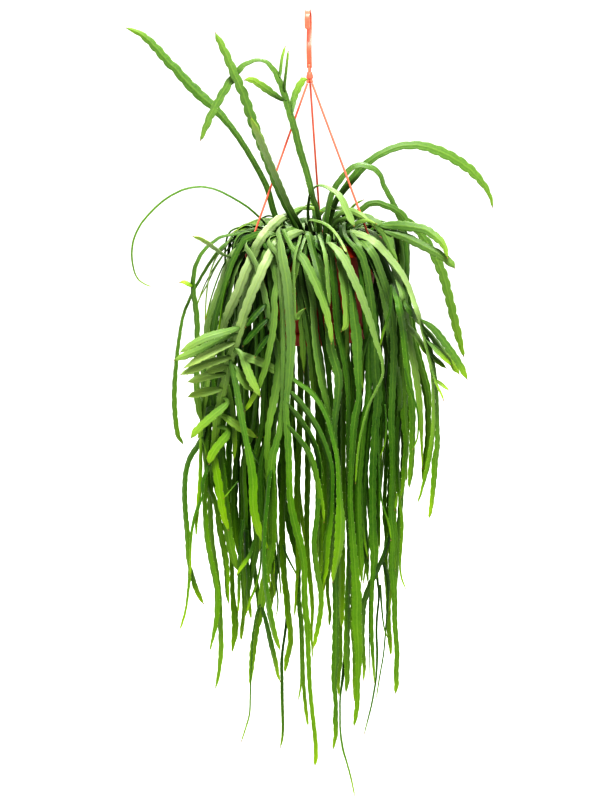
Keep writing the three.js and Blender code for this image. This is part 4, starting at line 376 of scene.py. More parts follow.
# ------------------------------------------------------------------- stems
# One stem: (name, piece, is it a branch, has a free tip, rings); a ring is
# x, y, z, width, thickness in tenths of a millimetre and the direction of
# the width in hundredths.
STEMS = [
    ("A1", "stem_back_left_short", 0, 1, [[-264,227,-2926,49,24,-69,-71,-15],[-276,230,-2886,52,26,-64,-71,-28],[-374,241,-2763,62,28,-67,-62,-40],[-461,251,-2603,76,28,-82,-46,-34],[-509,257,-2470,77,28,-92,-32,-23],[-567,270,-2227,71,28,-95,-8,-30],[-638,285,-2060,70,28,-90,-7,-43],[-740,311,-1864,70,28,-88,-7,-48],[-851,341,-1669,72,28,-86,-7,-50],[-996,376,-1450,78,28,-81,-8,-59],[-1235,417,-1159,111,28,-72,-8,-69],[-1348,429,-1060,125,28,-67,-9,-74],[-1454,439,-953,131,28,-75,-8,-66],[-1583,448,-816,118,28,-74,-8,-67],[-1675,455,-697,108,28,-76,-8,-65],[-1782,458,-592,105,28,-73,-8,-68],[-1875,460,-475,101,28,-78,-8,-63],[-2025,460,-307,86,28,-70,-8,-71],[-2144,456,-218,61,28,-48,-8,-87],[-2283,449,-160,26,15,-33,-7,-94]]),
    ("A2", "stem_front_left_short_1", 0, 1, [[-120,-120,-2926,39,20,-91,41,1],[-136,-142,-2862,43,21,-89,40,-23],[-255,-239,-2577,59,28,-93,16,-32],[-375,-328,-2280,83,28,-93,3,-38],[-466,-387,-2038,91,28,-94,-5,-34],[-584,-457,-1683,102,28,-95,-5,-31],[-654,-490,-1470,107,28,-95,-5,-31],[-723,-518,-1258,112,28,-95,-5,-31],[-819,-550,-940,105,28,-94,-5,-35],[-916,-570,-703,99,28,-92,-5,-39],[-1021,-587,-431,86,28,-91,-5,-42],[-1082,-595,-300,72,28,-91,-6,-42],[-1128,-600,-201,28,15,-91,-6,-42]]),
    ("A3", "stem_front_left_short_2", 0, 1, [[60,-80,-2926,44,22,-82,-58,-1],[60,-80,-2891,46,23,-82,-56,-9],[60,-154,-2680,57,28,-81,-54,-21],[47,-267,-2406,71,28,-73,-54,-42],[7,-319,-2292,82,28,-72,-54,-44],[-17,-375,-2171,86,28,-78,-56,-29],[-40,-375,-2057,90,28,-79,-59,-15],[-84,-375,-1881,96,28,-76,-60,-25],[-144,-399,-1671,102,28,-76,-60,-27],[-198,-429,-1416,108,28,-76,-60,-27],[-265,-451,-1165,103,28,-77,-60,-23],[-330,-468,-915,97,28,-74,-60,-28],[-397,-476,-745,86,28,-72,-62,-33],[-430,-478,-680,78,28,-66,-63,-42],[-473,-480,-621,69,28,-57,-64,-51],[-527,-481,-571,58,28,-41,-66,-63],[-593,-483,-546,47,24,-7,-66,-74],[-665,-485,-551,53,27,17,-64,-75],[-769,-489,-585,65,28,36,-62,-69],[-857,-491,-649,89,28,57,-61,-55],[-971,-492,-793,109,28,65,-59,-47],[-1133,-480,-1039,109,28,68,-58,-44],[-1258,-466,-1267,101,28,71,-58,-40],[-1363,-450,-1505,47,23,74,-57,-36]]),
    ("A3b1", "stem_front_left_short_2", 1, 1, [[-383,-475,-779,48,24,-82,56,13],[-361,-448,-723,48,24,-84,53,-4],[-333,-389,-543,41,20,-82,58,2],[-292,-354,-406,32,16,-79,59,14]]),
    ("A3b2", "stem_front_left_short_2", 1, 1, [[-319,-466,-950,48,24,-79,54,29],[-309,-513,-841,44,22,-77,55,33],[-288,-564,-696,40,20,-77,58,26],[-253,-612,-447,32,16,-78,59,21]]),
    ("A3b3", "stem_front_left_short_2", 1, 1, [[-291,-459,-1058,54,27,-59,57,-57],[-358,-498,-1025,58,28,-62,34,-71],[-449,-551,-959,74,28,-60,-7,-80],[-536,-590,-889,91,28,-59,-7,-80],[-657,-622,-800,78,28,-56,-7,-82],[-720,-633,-770,71,28,-16,-7,-98],[-791,-645,-774,36,18,15,-6,-99]]),
    ("A3b4", "stem_front_left_short_2", 1, 1, [[-248,-445,-1237,58,28,-74,66,-11],[-231,-416,-1182,65,28,-90,44,-1],[-202,-362,-1037,76,28,-96,2,29],[-175,-342,-970,82,28,-90,3,43],[-123,-320,-871,83,28,-87,3,50],[-81,-310,-817,79,28,-55,6,83],[-26,-305,-813,38,19,15,7,99]]),
    ("A4", "trailing_stems_extra_left", 0, 1, [[-306,-104,-2926,44,22,-78,-61,-14],[-311,-105,-2892,43,21,-71,-65,-27],[-348,-114,-2831,40,20,-51,-66,-55],[-463,-121,-2737,33,17,-36,-65,-67],[-584,-177,-2639,28,15,-40,-68,-62],[-624,-198,-2572,28,15,-49,-69,-53],[-673,-212,-2513,28,15,-41,-65,-64],[-808,-284,-2376,28,15,-33,-66,-67],[-898,-314,-2307,28,15,-27,-67,-69],[-1056,-350,-2205,28,15,-30,-69,-66],[-1188,-367,-2136,27,15,-21,-69,-69],[-1331,-380,-2095,27,15,-6,-69,-72],[-1442,-388,-2090,27,15,9,-68,-72],[-1588,-396,-2114,27,15,23,-67,-70],[-1693,-398,-2156,27,15,33,-66,-67],[-1792,-399,-2208,26,15,39,-66,-65],[-1884,-399,-2272,26,15,48,-65,-60],[-1998,-400,-2371,26,15,52,-63,-57],[-2126,-400,-2509,26,15,63,-62,-47],[-2187,-400,-2605,26,15,70,-60,-38],[-2235,-399,-2708,26,15,76,-58,-29],[-2262,-397,-2817,26,15,82,-56,-15],[-2272,-392,-2930,25,15,84,-54,-3],[-2264,-385,-3045,22,15,85,-52,7],[-2241,-377,-3156,19,15,83,-50,26],[-2207,-372,-3222,17,15,72,-50,49],[-2183,-368,-3249,16,15,63,-49,60],[-2123,-359,-3291,14,15,49,-48,73],[-2052,-348,-3325,13,15,43,-44,79]]),
    ("B1", "stem_back_right_short_1", 0, 1, [[150,220,-2926,53,26,-67,75,-2],[150,221,-2891,56,28,-68,73,6],[183,223,-2730,70,28,-77,62,17],[246,229,-2500,76,28,-85,48,23],[283,233,-2399,76,28,-82,40,40],[321,235,-2338,77,28,-76,35,55],[550,255,-2062,102,28,-73,32,60],[686,267,-1931,93,28,-61,33,72],[778,276,-1863,85,28,-53,33,78],[879,285,-1807,88,28,-44,34,83],[1090,305,-1730,93,28,-23,35,91],[1279,317,-1716,103,28,-1,33,94],[1429,324,-1736,115,28,22,32,92],[1643,332,-1817,131,28,39,31,87],[1810,339,-1908,127,28,52,29,80],[1966,344,-2021,117,28,58,28,77],[2023,346,-2070,111,28,68,27,68],[2170,352,-2249,77,28,78,25,57],[2244,355,-2383,46,23,91,22,36],[2278,360,-2533,23,15,97,18,14]]),
    ("B2", "stem_front_right_mid_1", 0, 1, [[120,53,-2926,50,25,-70,71,3],[141,49,-2747,73,28,-69,72,12],[198,46,-2394,102,28,-64,75,14],[242,48,-2263,107,28,-60,76,26],[308,51,-2147,105,28,-54,77,34],[413,55,-2023,102,28,-44,80,42],[515,58,-1939,100,28,-28,81,52],[559,59,-1923,99,28,-12,79,60],[620,60,-1919,99,28,5,79,61],[695,60,-1935,97,28,19,79,58],[768,61,-1969,95,28,31,79,53],[822,61,-2010,94,28,41,80,44],[852,61,-2048,92,28,48,82,30],[864,61,-2078,90,28,50,85,16],[901,61,-2198,82,28,60,76,26],[974,60,-2338,85,28,61,73,31],[1048,59,-2501,87,28,65,72,26],[1086,58,-2606,89,28,68,71,19],[1103,58,-2680,91,28,70,70,12],[1113,57,-2793,95,28,72,70,0],[1108,56,-2945,101,28,73,68,-1],[1113,48,-3173,106,28,73,68,-8],[1099,25,-3399,93,28,73,67,-15],[1082,-10,-3586,76,28,73,66,-21],[1083,-91,-3880,72,28,73,65,-19],[1085,-184,-4172,106,28,73,65,-22],[1068,-260,-4427,122,28,73,65,-23],[1065,-299,-4574,126,28,73,67,-15],[1070,-342,-4759,126,28,73,67,-13],[1075,-386,-4982,126,28,73,68,-10],[1081,-422,-5207,109,28,73,68,-7],[1094,-446,-5395,92,28,73,68,-7],[1071,-468,-5622,90,28,74,66,-13],[1054,-483,-5813,87,28,74,66,-12],[1036,-493,-5965,60,28,74,65,-17],[1011,-500,-6078,36,18,74,64,-21]]),
    ("B3", "stem_front_right_short_1", 0, 1, [[320,-80,-2926,50,25,-70,71,5],[334,-78,-2859,53,26,-69,68,24],[370,-77,-2771,58,28,-73,62,30],[440,-76,-2636,66,28,-72,51,48],[555,-77,-2510,71,28,-65,36,67],[603,-78,-2464,71,28,-63,30,72],[662,-79,-2419,72,28,-51,24,82],[728,-81,-2389,73,28,-23,18,95],[795,-83,-2385,74,28,12,12,99],[858,-85,-2402,76,28,34,11,93],[945,-88,-2437,77,28,38,10,92],[1040,-91,-2484,79,28,56,8,82],[1119,-93,-2552,82,28,74,6,67],[1163,-96,-2611,85,28,73,6,68],[1221,-97,-2660,87,28,65,7,76],[1301,-98,-2741,92,28,77,5,64],[1434,-97,-2927,103,28,84,3,54],[1505,-93,-3061,108,28,92,1,40],[1595,-84,-3275,114,28,93,0,36],[1629,-77,-3385,113,28,97,-1,24],[1710,-53,-3727,105,28,97,-2,22],[1777,-29,-4034,98,28,98,-2,22],[1859,0,-4380,44,22,97,-2,23]]),
    ("B6", "stem_front_right_short_2", 0, 1, [[251,-270,-2926,39,19,-91,41,0],[231,-302,-2829,42,21,-90,44,-8],[219,-316,-2798,43,22,-91,41,-3],[218,-340,-2722,46,23,-90,38,21],[238,-356,-2642,49,24,-83,40,38],[275,-371,-2577,52,26,-57,40,72],[341,-392,-2543,55,27,-17,32,93],[477,-438,-2509,60,28,-17,31,93],[567,-469,-2486,63,28,13,27,95],[639,-492,-2506,85,28,42,21,88],[708,-515,-2541,99,28,56,17,81],[770,-537,-2585,109,28,67,13,73],[825,-558,-2639,110,28,76,9,64],[869,-578,-2699,108,28,86,4,50],[902,-597,-2766,104,28,93,2,37],[964,-640,-2943,68,28,91,3,42],[1021,-663,-3044,41,21,86,4,52]]),
    ("B4", "stem_front_right_short_2", 1, 1, [[800,-548,-2610,75,28,17,78,60],[989,-602,-2606,105,28,7,12,99],[1100,-635,-2610,113,28,8,12,99],[1318,-699,-2642,103,28,24,12,96],[1385,-720,-2662,100,28,48,9,87],[1527,-774,-2770,94,28,68,6,73],[1573,-795,-2824,75,28,84,3,54],[1605,-816,-2887,56,28,94,0,34],[1626,-847,-2991,28,15,99,-3,14]]),
    ("B5", "stem_front_right_short_2", 1, 1, [[849,-568,-2667,73,28,26,78,58],[916,-583,-2682,88,28,36,55,76],[1026,-606,-2718,100,28,32,11,94],[1133,-630,-2755,109,28,40,11,91],[1465,-707,-2925,102,28,49,10,87],[1559,-728,-2981,98,28,57,9,82],[1647,-750,-3048,93,28,68,7,73],[1673,-757,-3073,91,28,74,6,67],[1717,-773,-3131,55,27,82,4,57]]),
    ("B7", "stem_front_middle_short_1", 0, 1, [[0,43,-2926,49,24,62,75,20],[-25,-8,-2758,50,25,61,71,36],[-66,-103,-2527,52,26,60,73,33],[-62,-149,-2409,52,26,60,75,28],[-46,-204,-2291,52,26,60,76,26],[-22,-248,-2214,52,26,60,76,25],[20,-304,-2146,52,26,61,75,25],[51,-337,-2124,53,26,64,73,26],[86,-373,-2113,59,28,68,68,27],[157,-453,-2119,71,28,77,58,26],[282,-614,-2177,95,28,82,55,16],[331,-685,-2219,105,28,87,50,1],[363,-749,-2276,110,28,86,50,-9],[404,-831,-2368,116,28,82,57,-9],[445,-898,-2462,117,28,79,61,-4],[490,-956,-2554,87,28,78,63,0]]),
    ("B8", "trailing_stems_extra_right", 0, 1, [[100,280,-2926,56,28,-63,77,0],[100,280,-2886,59,28,-63,77,-7],[62,290,-2654,80,28,-58,82,-1],[62,285,-2614,80,28,-53,79,32],[73,263,-2570,80,28,-43,72,55],[92,239,-2530,80,28,-39,74,55],[115,234,-2501,80,28,-39,79,47],[177,240,-2474,80,28,-13,85,51],[255,239,-2469,80,28,3,86,52],[335,235,-2476,80,28,17,85,50],[407,226,-2498,78,28,34,83,43],[538,200,-2579,40,20,38,82,42]]),
    ("B9", "trailing_stems_extra_front_right", 0, 1, [[-120,0,-2926,64,28,-48,87,11],[-127,-8,-2891,65,28,-51,84,19],[-146,-32,-2855,66,28,-55,79,26],[-225,-120,-2754,70,28,-40,90,18],[-260,-134,-2727,71,28,-18,98,2],[-300,-135,-2701,73,28,-3,100,-8],[-338,-132,-2674,74,28,-2,100,-5],[-364,-133,-2641,75,28,-9,99,9],[-372,-142,-2602,76,28,-14,96,23],[-365,-165,-2522,79,28,-15,91,38],[-344,-178,-2492,80,28,-10,85,51],[-308,-185,-2477,80,28,-22,84,49],[-272,-175,-2465,80,28,-49,78,40],[-172,-119,-2428,80,28,-49,79,38],[-100,-83,-2421,80,28,-34,84,43],[9,-49,-2438,80,28,-11,87,49],[109,-19,-2489,46,23,7,86,51]]),
    ("C1", "stem_front_right_mid_2", 0, 1, [[283,-111,-2926,56,28,-43,74,53],[249,-138,-2890,92,28,35,70,62],[246,-157,-2866,92,28,32,74,59],[257,-185,-2836,109,28,32,72,61],[280,-225,-2803,119,28,37,65,66],[311,-283,-2770,119,28,43,56,71],[390,-436,-2717,119,28,50,46,73],[429,-506,-2701,119,28,50,50,71],[465,-546,-2694,119,28,47,58,66],[575,-635,-2702,119,28,61,62,50],[644,-686,-2726,119,28,66,64,40],[705,-736,-2758,121,28,70,62,34],[733,-757,-2776,125,28,64,67,37],[760,-767,-2797,130,28,49,74,46],[786,-764,-2821,134,28,36,75,55],[810,-754,-2847,138,28,33,76,56],[856,-744,-2900,135,28,49,79,37],[899,-756,-2951,131,28,54,78,31],[1003,-764,-3083,119,28,55,79,27],[1059,-788,-3162,112,28,62,77,16],[1138,-824,-3316,101,28,63,76,12],[1175,-849,-3416,95,28,71,70,-8],[1195,-891,-3481,92,28,76,61,-23],[1215,-946,-3543,88,28,79,57,-23],[1226,-971,-3575,87,28,78,62,-9],[1237,-983,-3609,85,28,72,68,14],[1248,-980,-3645,83,28,64,68,37],[1260,-965,-3684,81,28,57,66,49],[1293,-899,-3804,78,28,55,69,46],[1312,-874,-3881,76,28,60,75,27],[1366,-857,-4143,71,28,63,76,16],[1417,-840,-4407,66,28,64,75,15],[1426,-831,-4521,64,28,66,75,8],[1429,-814,-4753,60,28,68,74,5],[1422,-795,-5101,80,28,68,73,-1],[1384,-786,-5407,90,28,69,71,-10],[1339,-782,-5634,85,28,69,70,-16],[1252,-781,-5970,41,20,69,69,-19],[1214,-780,-6079,26,15,68,68,-26]]),
    ("R1", "stem_front_right_mid_2", 1, 1, [[1272,-942,-3723,38,19,47,64,61],[1420,-940,-3835,92,28,54,64,55],[1493,-951,-3916,107,28,70,60,39],[1598,-980,-4063,104,28,67,61,43],[1682,-992,-4184,102,28,71,60,38],[1775,-998,-4345,95,28,72,59,38],[1836,-1000,-4481,46,23,77,57,29]]),
    ("R1b", "stem_front_right_mid_2", 1, 1, [[1294,-899,-3803,62,28,35,77,53],[1334,-872,-3866,76,28,29,77,57],[1411,-835,-3958,90,28,30,80,52],[1500,-802,-4084,100,28,39,83,41],[1634,-782,-4268,104,28,42,83,37],[1700,-777,-4360,136,28,47,82,32],[1719,-776,-4392,136,28,49,82,29],[1752,-775,-4459,62,28,53,81,25]]),
    ("R2", "stem_front_right_mid_2", 1, 1, [[1338,-865,-3993,43,21,64,70,32],[1531,-938,-4166,119,28,57,73,38],[1609,-958,-4247,101,28,60,72,35],[1655,-971,-4306,52,26,62,71,32]]),
    ("R2b", "stem_front_right_mid_2", 1, 1, [[1360,-859,-4105,57,28,41,72,56],[1400,-827,-4174,61,28,35,74,57],[1475,-783,-4274,94,28,25,75,61],[1536,-756,-4328,78,28,23,76,61],[1594,-730,-4388,38,19,28,78,57]]),
    ("T2", "stem_front_right_mid_2", 1, 1, [[1283,-919,-3764,47,23,59,70,41],[1327,-868,-3917,60,28,55,71,44],[1374,-836,-4027,72,28,58,72,38],[1397,-822,-4102,72,28,63,73,27],[1449,-780,-4410,56,28,68,71,18],[1473,-751,-4682,56,28,71,70,8],[1476,-726,-5072,70,28,72,70,3],[1470,-719,-5382,95,28,72,69,-7],[1438,-717,-5573,111,28,73,68,-6],[1427,-718,-5766,101,28,73,68,-6],[1388,-718,-6114,76,28,73,67,-9],[1370,-718,-6230,61,28,73,66,-14],[1351,-717,-6306,37,19,73,65,-20]]),
    ("R4", "stem_front_right_mid_2", 1, 1, [[1465,-767,-4526,40,20,67,63,40],[1525,-804,-4571,55,28,69,62,38],[1614,-859,-4641,32,16,69,62,37]]),
    ("R6", "stem_front_right_mid_2", 1, 1, [[1414,-843,-4369,32,16,84,44,-31],[1419,-868,-4409,34,17,83,55,-8],[1461,-921,-4550,38,19,79,60,12],[1521,-956,-4676,29,15,77,61,18],[1544,-970,-4743,21,15,80,60,12]]),
    ("C2", "trailing_stems_extra_front_left", 0, 1, [[0,-200,-2926,44,22,62,78,1],[0,-200,-2883,46,23,61,79,7],[-31,-200,-2759,49,25,59,78,19],[-47,-210,-2683,52,26,59,77,26],[-59,-230,-2612,54,27,59,73,35],[-59,-245,-2581,55,28,59,71,38],[-50,-264,-2560,55,28,60,69,40],[-27,-290,-2551,55,27,62,67,41],[39,-355,-2556,53,26,69,60,42],[141,-475,-2580,50,25,80,49,35],[225,-616,-2632,48,24,91,38,18],[271,-716,-2676,46,23,95,31,5],[291,-786,-2697,45,22,94,34,2],[310,-820,-2723,44,22,94,35,-3],[343,-953,-2769,42,21,95,28,-13],[370,-1068,-2820,40,20,94,25,-21],[383,-1149,-2843,40,20,94,21,-25]]),
    ("C3", "stem_front_left_long_1", 0, 1, [[-79,-220,-2926,36,18,29,-85,-44],[-80,-236,-2895,37,19,30,-77,-56],[-92,-364,-2773,46,23,30,-66,-69],[-114,-471,-2696,53,26,35,-51,-79],[-130,-529,-2670,56,28,39,-41,-82],[-151,-590,-2654,58,28,44,-32,-84],[-209,-717,-2647,103,28,50,-23,-83],[-297,-841,-2668,113,28,54,-24,-80],[-439,-995,-2724,114,28,66,-24,-71],[-466,-1017,-2744,114,28,74,-17,-66],[-509,-1036,-2802,114,28,85,-7,-52],[-528,-1054,-2832,114,28,87,-5,-50],[-581,-1135,-2920,114,28,88,-5,-47],[-615,-1170,-2980,114,28,88,-5,-46],[-632,-1178,-3012,114,28,90,-5,-44],[-692,-1183,-3146,114,28,90,-4,-43],[-775,-1157,-3316,114,28,92,-4,-39],[-831,-1119,-3459,114,28,93,-3,-36],[-884,-1070,-3607,114,28,95,-3,-32],[-956,-1012,-3830,111,28,95,-3,-33],[-1008,-960,-3980,110,28,94,-3,-34],[-1074,-881,-4172,108,28,95,-2,-32],[-1140,-773,-4411,106,28,97,-1,-25],[-1200,-668,-4654,104,28,97,-1,-23],[-1236,-614,-4815,103,28,98,0,-22],[-1271,-579,-4972,102,28,98,1,-19],[-1300,-559,-5167,93,28,99,1,-13],[-1331,-553,-5399,89,28,99,3,-11],[-1335,-553,-5476,90,28,100,5,3],[-1290,-551,-5822,101,28,99,7,13],[-1250,-552,-6171,90,28,98,9,16],[-1227,-552,-6286,77,28,97,10,24],[-1183,-550,-6436,38,19,95,12,30]]),
    ("c1", "stem_front_left_long_1", 1, 1, [[-932,-1033,-3755,53,26,42,-40,-81],[-1033,-1083,-3773,82,28,33,-47,-82],[-1172,-1139,-3800,106,28,34,-49,-80],[-1345,-1182,-3841,106,28,33,-50,-81],[-1509,-1201,-3913,89,28,45,-46,-77],[-1663,-1211,-4007,40,20,53,-43,-73]]),
    ("c2", "stem_front_left_long_1", 1, 1, [[-956,-1012,-3830,65,28,-4,-75,-66],[-1028,-1003,-3840,73,28,11,-67,-74],[-1135,-993,-3878,85,28,31,-50,-81],[-1406,-975,-4014,106,28,31,-50,-81],[-1582,-968,-4082,106,28,30,-50,-81],[-1757,-966,-4150,49,24,31,-50,-81]]),
    ("c3", "stem_front_left_long_1", 1, 1, [[-996,-974,-3942,59,28,50,-60,-63],[-1054,-1000,-3958,82,28,38,-58,-72],[-1158,-1036,-3989,98,28,45,-47,-76],[-1320,-1079,-4058,104,28,44,-47,-77],[-1448,-1096,-4121,98,28,46,-46,-76],[-1636,-1108,-4227,30,15,43,-47,-77]]),
    ("c4", "stem_front_left_long_1", 1, 1, [[-1062,-898,-4133,60,28,56,-58,-59],[-1123,-929,-4150,89,28,38,-59,-71],[-1266,-983,-4176,103,28,35,-50,-80],[-1371,-1012,-4203,104,28,34,-50,-80],[-1510,-1035,-4247,103,28,35,-50,-79],[-1679,-1051,-4318,45,22,39,-49,-79]]),
    ("c5", "stem_front_left_long_1", 1, 1, [[-1099,-846,-4250,78,28,11,-84,-54],[-1189,-833,-4283,115,28,13,-67,-73],[-1259,-825,-4304,103,28,22,-52,-82],[-1395,-812,-4353,58,28,26,-52,-82]]),
    ("c6", "stem_front_left_long_1", 1, 1, [[-1132,-791,-4370,64,28,24,-71,-67],[-1183,-809,-4370,91,28,21,-65,-73],[-1364,-847,-4383,111,28,21,-53,-82],[-1502,-868,-4419,97,28,31,-51,-80],[-1606,-879,-4448,48,24,27,-52,-81]]),
    ("c7", "stem_front_left_long_1", 1, 1, [[-1182,-701,-4573,63,28,52,-65,-56],[-1227,-720,-4584,88,28,33,-64,-70],[-1408,-761,-4606,116,28,19,-53,-82],[-1515,-778,-4623,95,28,26,-52,-81],[-1618,-795,-4654,47,24,36,-50,-79]]),
    ("c12", "stem_front_left_long_1", 1, 1, [[-1211,-653,-4694,48,24,41,41,82],[-1155,-670,-4716,48,24,56,39,73],[-1130,-688,-4742,48,24,99,7,13],[-1145,-708,-4773,72,28,78,-32,-53],[-1188,-727,-4810,91,28,64,-41,-65],[-1244,-746,-4850,106,28,61,-42,-67],[-1362,-770,-4940,107,28,59,-43,-68],[-1532,-784,-5088,92,28,68,-38,-62],[-1601,-788,-5178,48,24,79,-31,-52]]),
    ("c13", "stem_front_left_long_1", 1, 1, [[-1265,-586,-4933,55,28,9,-18,98],[-1193,-605,-4949,66,28,41,8,91],[-1160,-616,-4966,84,28,57,20,80],[-1099,-638,-5010,101,28,61,46,65],[-1037,-657,-5053,108,28,59,47,66],[-911,-685,-5137,104,28,52,49,70],[-780,-701,-5213,41,21,46,51,73]]),
    ("c14", "stem_front_left_long_1", 1, 1, [[-1290,-565,-5089,62,28,4,-53,85],[-1210,-574,-5100,62,28,17,-12,98],[-1153,-584,-5117,62,28,54,30,78],[-1142,-603,-5162,80,28,90,-21,-38],[-1174,-616,-5206,106,28,76,-34,-55],[-1196,-623,-5231,106,28,74,-35,-57],[-1318,-643,-5374,104,28,77,-34,-54],[-1376,-649,-5474,97,28,93,-18,-33],[-1394,-653,-5548,53,26,98,-8,-19]]),
    ("c9", "stem_front_left_long_1", 1, 1, [[-1023,-946,-4018,53,26,47,-10,87],[-964,-973,-4058,58,28,70,8,71],[-941,-988,-4083,70,28,82,13,56],[-908,-1016,-4143,88,28,93,22,29],[-885,-1042,-4210,103,28,95,20,26],[-810,-1092,-4410,106,28,89,26,36],[-761,-1102,-4508,84,28,86,29,41],[-716,-1098,-4611,40,20,89,27,37]]),
    ("c10", "stem_front_left_long_1", 1, 1, [[-1036,-930,-4056,58,28,21,-28,93],[-968,-963,-4083,58,28,37,-9,92],[-869,-1007,-4130,102,28,43,27,86],[-764,-1033,-4163,107,28,35,29,89],[-696,-1040,-4192,108,28,47,27,84],[-569,-1037,-4271,102,28,46,28,84],[-502,-1045,-4303,93,28,45,28,85],[-468,-1065,-4315,88,28,49,27,83],[-401,-1119,-4340,44,22,52,26,81]]),
    ("c11", "stem_front_left_long_1", 1, 1, [[-1099,-846,-4250,62,28,7,-38,92],[-1033,-870,-4271,63,28,51,-10,86],[-991,-898,-4321,88,28,87,14,47],[-957,-923,-4382,104,28,86,29,41],[-895,-947,-4467,108,28,75,38,54],[-872,-952,-4494,105,28,72,39,57],[-799,-961,-4573,46,23,67,42,61]]),
    ("h", "stem_front_left_long_1", 1, 1, [[-1075,-881,-4172,55,27,94,-33,10],[-1068,-892,-4243,60,28,92,-31,22],[-1013,-924,-4496,82,28,93,-31,19],[-973,-952,-4790,89,28,94,-31,15],[-913,-977,-5159,76,28,94,-31,15],[-858,-988,-5495,105,28,94,-32,15],[-837,-990,-5723,121,28,94,-34,2],[-845,-991,-5914,109,28,94,-35,-1],[-834,-992,-6106,109,28,94,-32,13],[-783,-993,-6330,96,28,91,-27,32],[-680,-991,-6579,34,17,90,-26,35]]),
    ("C4a", "stem_front_left_long_2", 0, 1, [[-266,-69,-2926,36,18,4,-100,1],[-265,-68,-2849,38,19,4,-100,2],[-270,-66,-2731,46,23,4,-100,-8],[-273,-79,-2652,51,25,7,-97,-21],[-278,-103,-2575,56,28,14,-90,-41],[-285,-122,-2542,58,28,21,-81,-55],[-298,-148,-2517,58,28,30,-63,-71],[-320,-181,-2505,69,28,40,-44,-81],[-348,-221,-2502,81,28,46,-29,-84],[-378,-267,-2506,92,28,50,-19,-85],[-433,-371,-2525,114,28,56,-9,-83],[-531,-590,-2589,120,28,68,-7,-73],[-577,-717,-2622,118,28,76,-8,-65],[-600,-771,-2642,118,28,79,-9,-61],[-622,-807,-2666,117,28,79,-10,-60],[-644,-822,-2693,116,28,80,-7,-59],[-685,-817,-2755,115,28,86,-3,-50],[-738,-804,-2859,114,28,91,-3,-42],[-787,-835,-2966,114,28,90,-3,-43],[-823,-846,-3037,114,28,89,-4,-45],[-858,-845,-3109,114,28,91,-3,-41],[-902,-831,-3222,114,28,94,-4,-34],[-947,-802,-3339,114,28,91,-3,-41],[-1001,-759,-3454,114,28,89,-4,-45],[-1112,-647,-3681,108,28,91,-4,-42],[-1191,-560,-3873,102,28,92,-4,-39],[-1256,-518,-4021,95,28,91,-2,-41],[-1310,-502,-4165,87,28,97,-1,-26],[-1384,-480,-4506,74,28,99,1,-16],[-1413,-482,-4696,66,28,99,2,-15],[-1446,-502,-4882,57,28,98,1,-19],[-1472,-482,-5038,50,25,99,2,-12],[-1495,-472,-5310,39,19,100,3,-8],[-1516,-472,-5699,46,23,100,3,-8],[-1545,-473,-6009,51,25,99,2,-11],[-1586,-475,-6320,38,19,99,3,-10],[-1601,-476,-6516,20,15,100,4,-7]]),
    ("C4b", "trailing_stems_extra_left", 0, 1, [[-140,-300,-2926,48,24,-35,-82,46],[-136,-285,-2896,51,25,-33,-75,58],[-129,-259,-2866,53,26,-30,-62,73],[-111,-188,-2812,57,28,-27,-52,81],[-108,-112,-2764,62,28,-25,-57,78],[-117,-77,-2731,66,28,-20,-73,66],[-129,-52,-2701,71,28,-6,-87,49],[-147,-46,-2676,75,28,31,-95,8],[-189,-80,-2653,80,28,68,-67,-29],[-247,-157,-2641,126,28,78,-53,-33],[-272,-197,-2642,139,28,84,-43,-32],[-306,-269,-2647,139,28,89,-34,-30],[-339,-365,-2650,139,28,92,-30,-26],[-399,-528,-2669,139,28,93,-33,-18],[-477,-741,-2717,139,28,94,-34,-5],[-499,-794,-2738,139,28,90,-43,-6],[-520,-825,-2764,139,28,83,-54,-9],[-559,-868,-2821,139,28,78,-62,-8],[-592,-898,-2883,139,28,74,-66,-12],[-621,-913,-2949,139,28,68,-70,-24],[-670,-907,-3050,134,28,59,-70,-41],[-744,-876,-3225,126,28,62,-70,-36],[-784,-848,-3335,121,28,59,-68,-44],[-843,-791,-3482,121,28,55,-66,-52],[-890,-736,-3594,121,28,52,-64,-57],[-940,-670,-3708,116,28,49,-62,-61],[-1026,-544,-3900,104,28,50,-61,-61],[-1106,-423,-4097,104,28,50,-64,-58],[-1160,-364,-4210,104,28,50,-66,-56],[-1198,-334,-4284,104,28,53,-68,-51],[-1235,-323,-4353,104,28,64,-71,-31],[-1285,-331,-4456,103,28,65,-71,-27],[-1358,-324,-4638,92,28,72,-66,-19],[-1370,-333,-4672,90,28,79,-62,1],[-1388,-369,-4738,87,28,79,-61,6],[-1404,-384,-4849,87,28,75,-65,-8],[-1421,-376,-5006,87,28,75,-65,-11],[-1430,-351,-5205,80,28,77,-64,-1],[-1431,-370,-5357,73,28,76,-65,3],[-1435,-372,-5473,69,28,76,-65,-3],[-1455,-354,-5830,70,28,75,-66,-8],[-1480,-351,-6065,77,28,75,-66,-5],[-1483,-351,-6183,78,28,76,-65,0],[-1469,-351,-6578,87,28,78,-63,7],[-1420,-350,-6931,87,28,78,-61,12],[-1370,-348,-7247,87,28,77,-63,8],[-1366,-349,-7446,101,28,75,-66,-2],[-1398,-351,-7725,79,28,72,-69,-12],[-1483,-354,-8076,28,15,70,-70,-16]]),
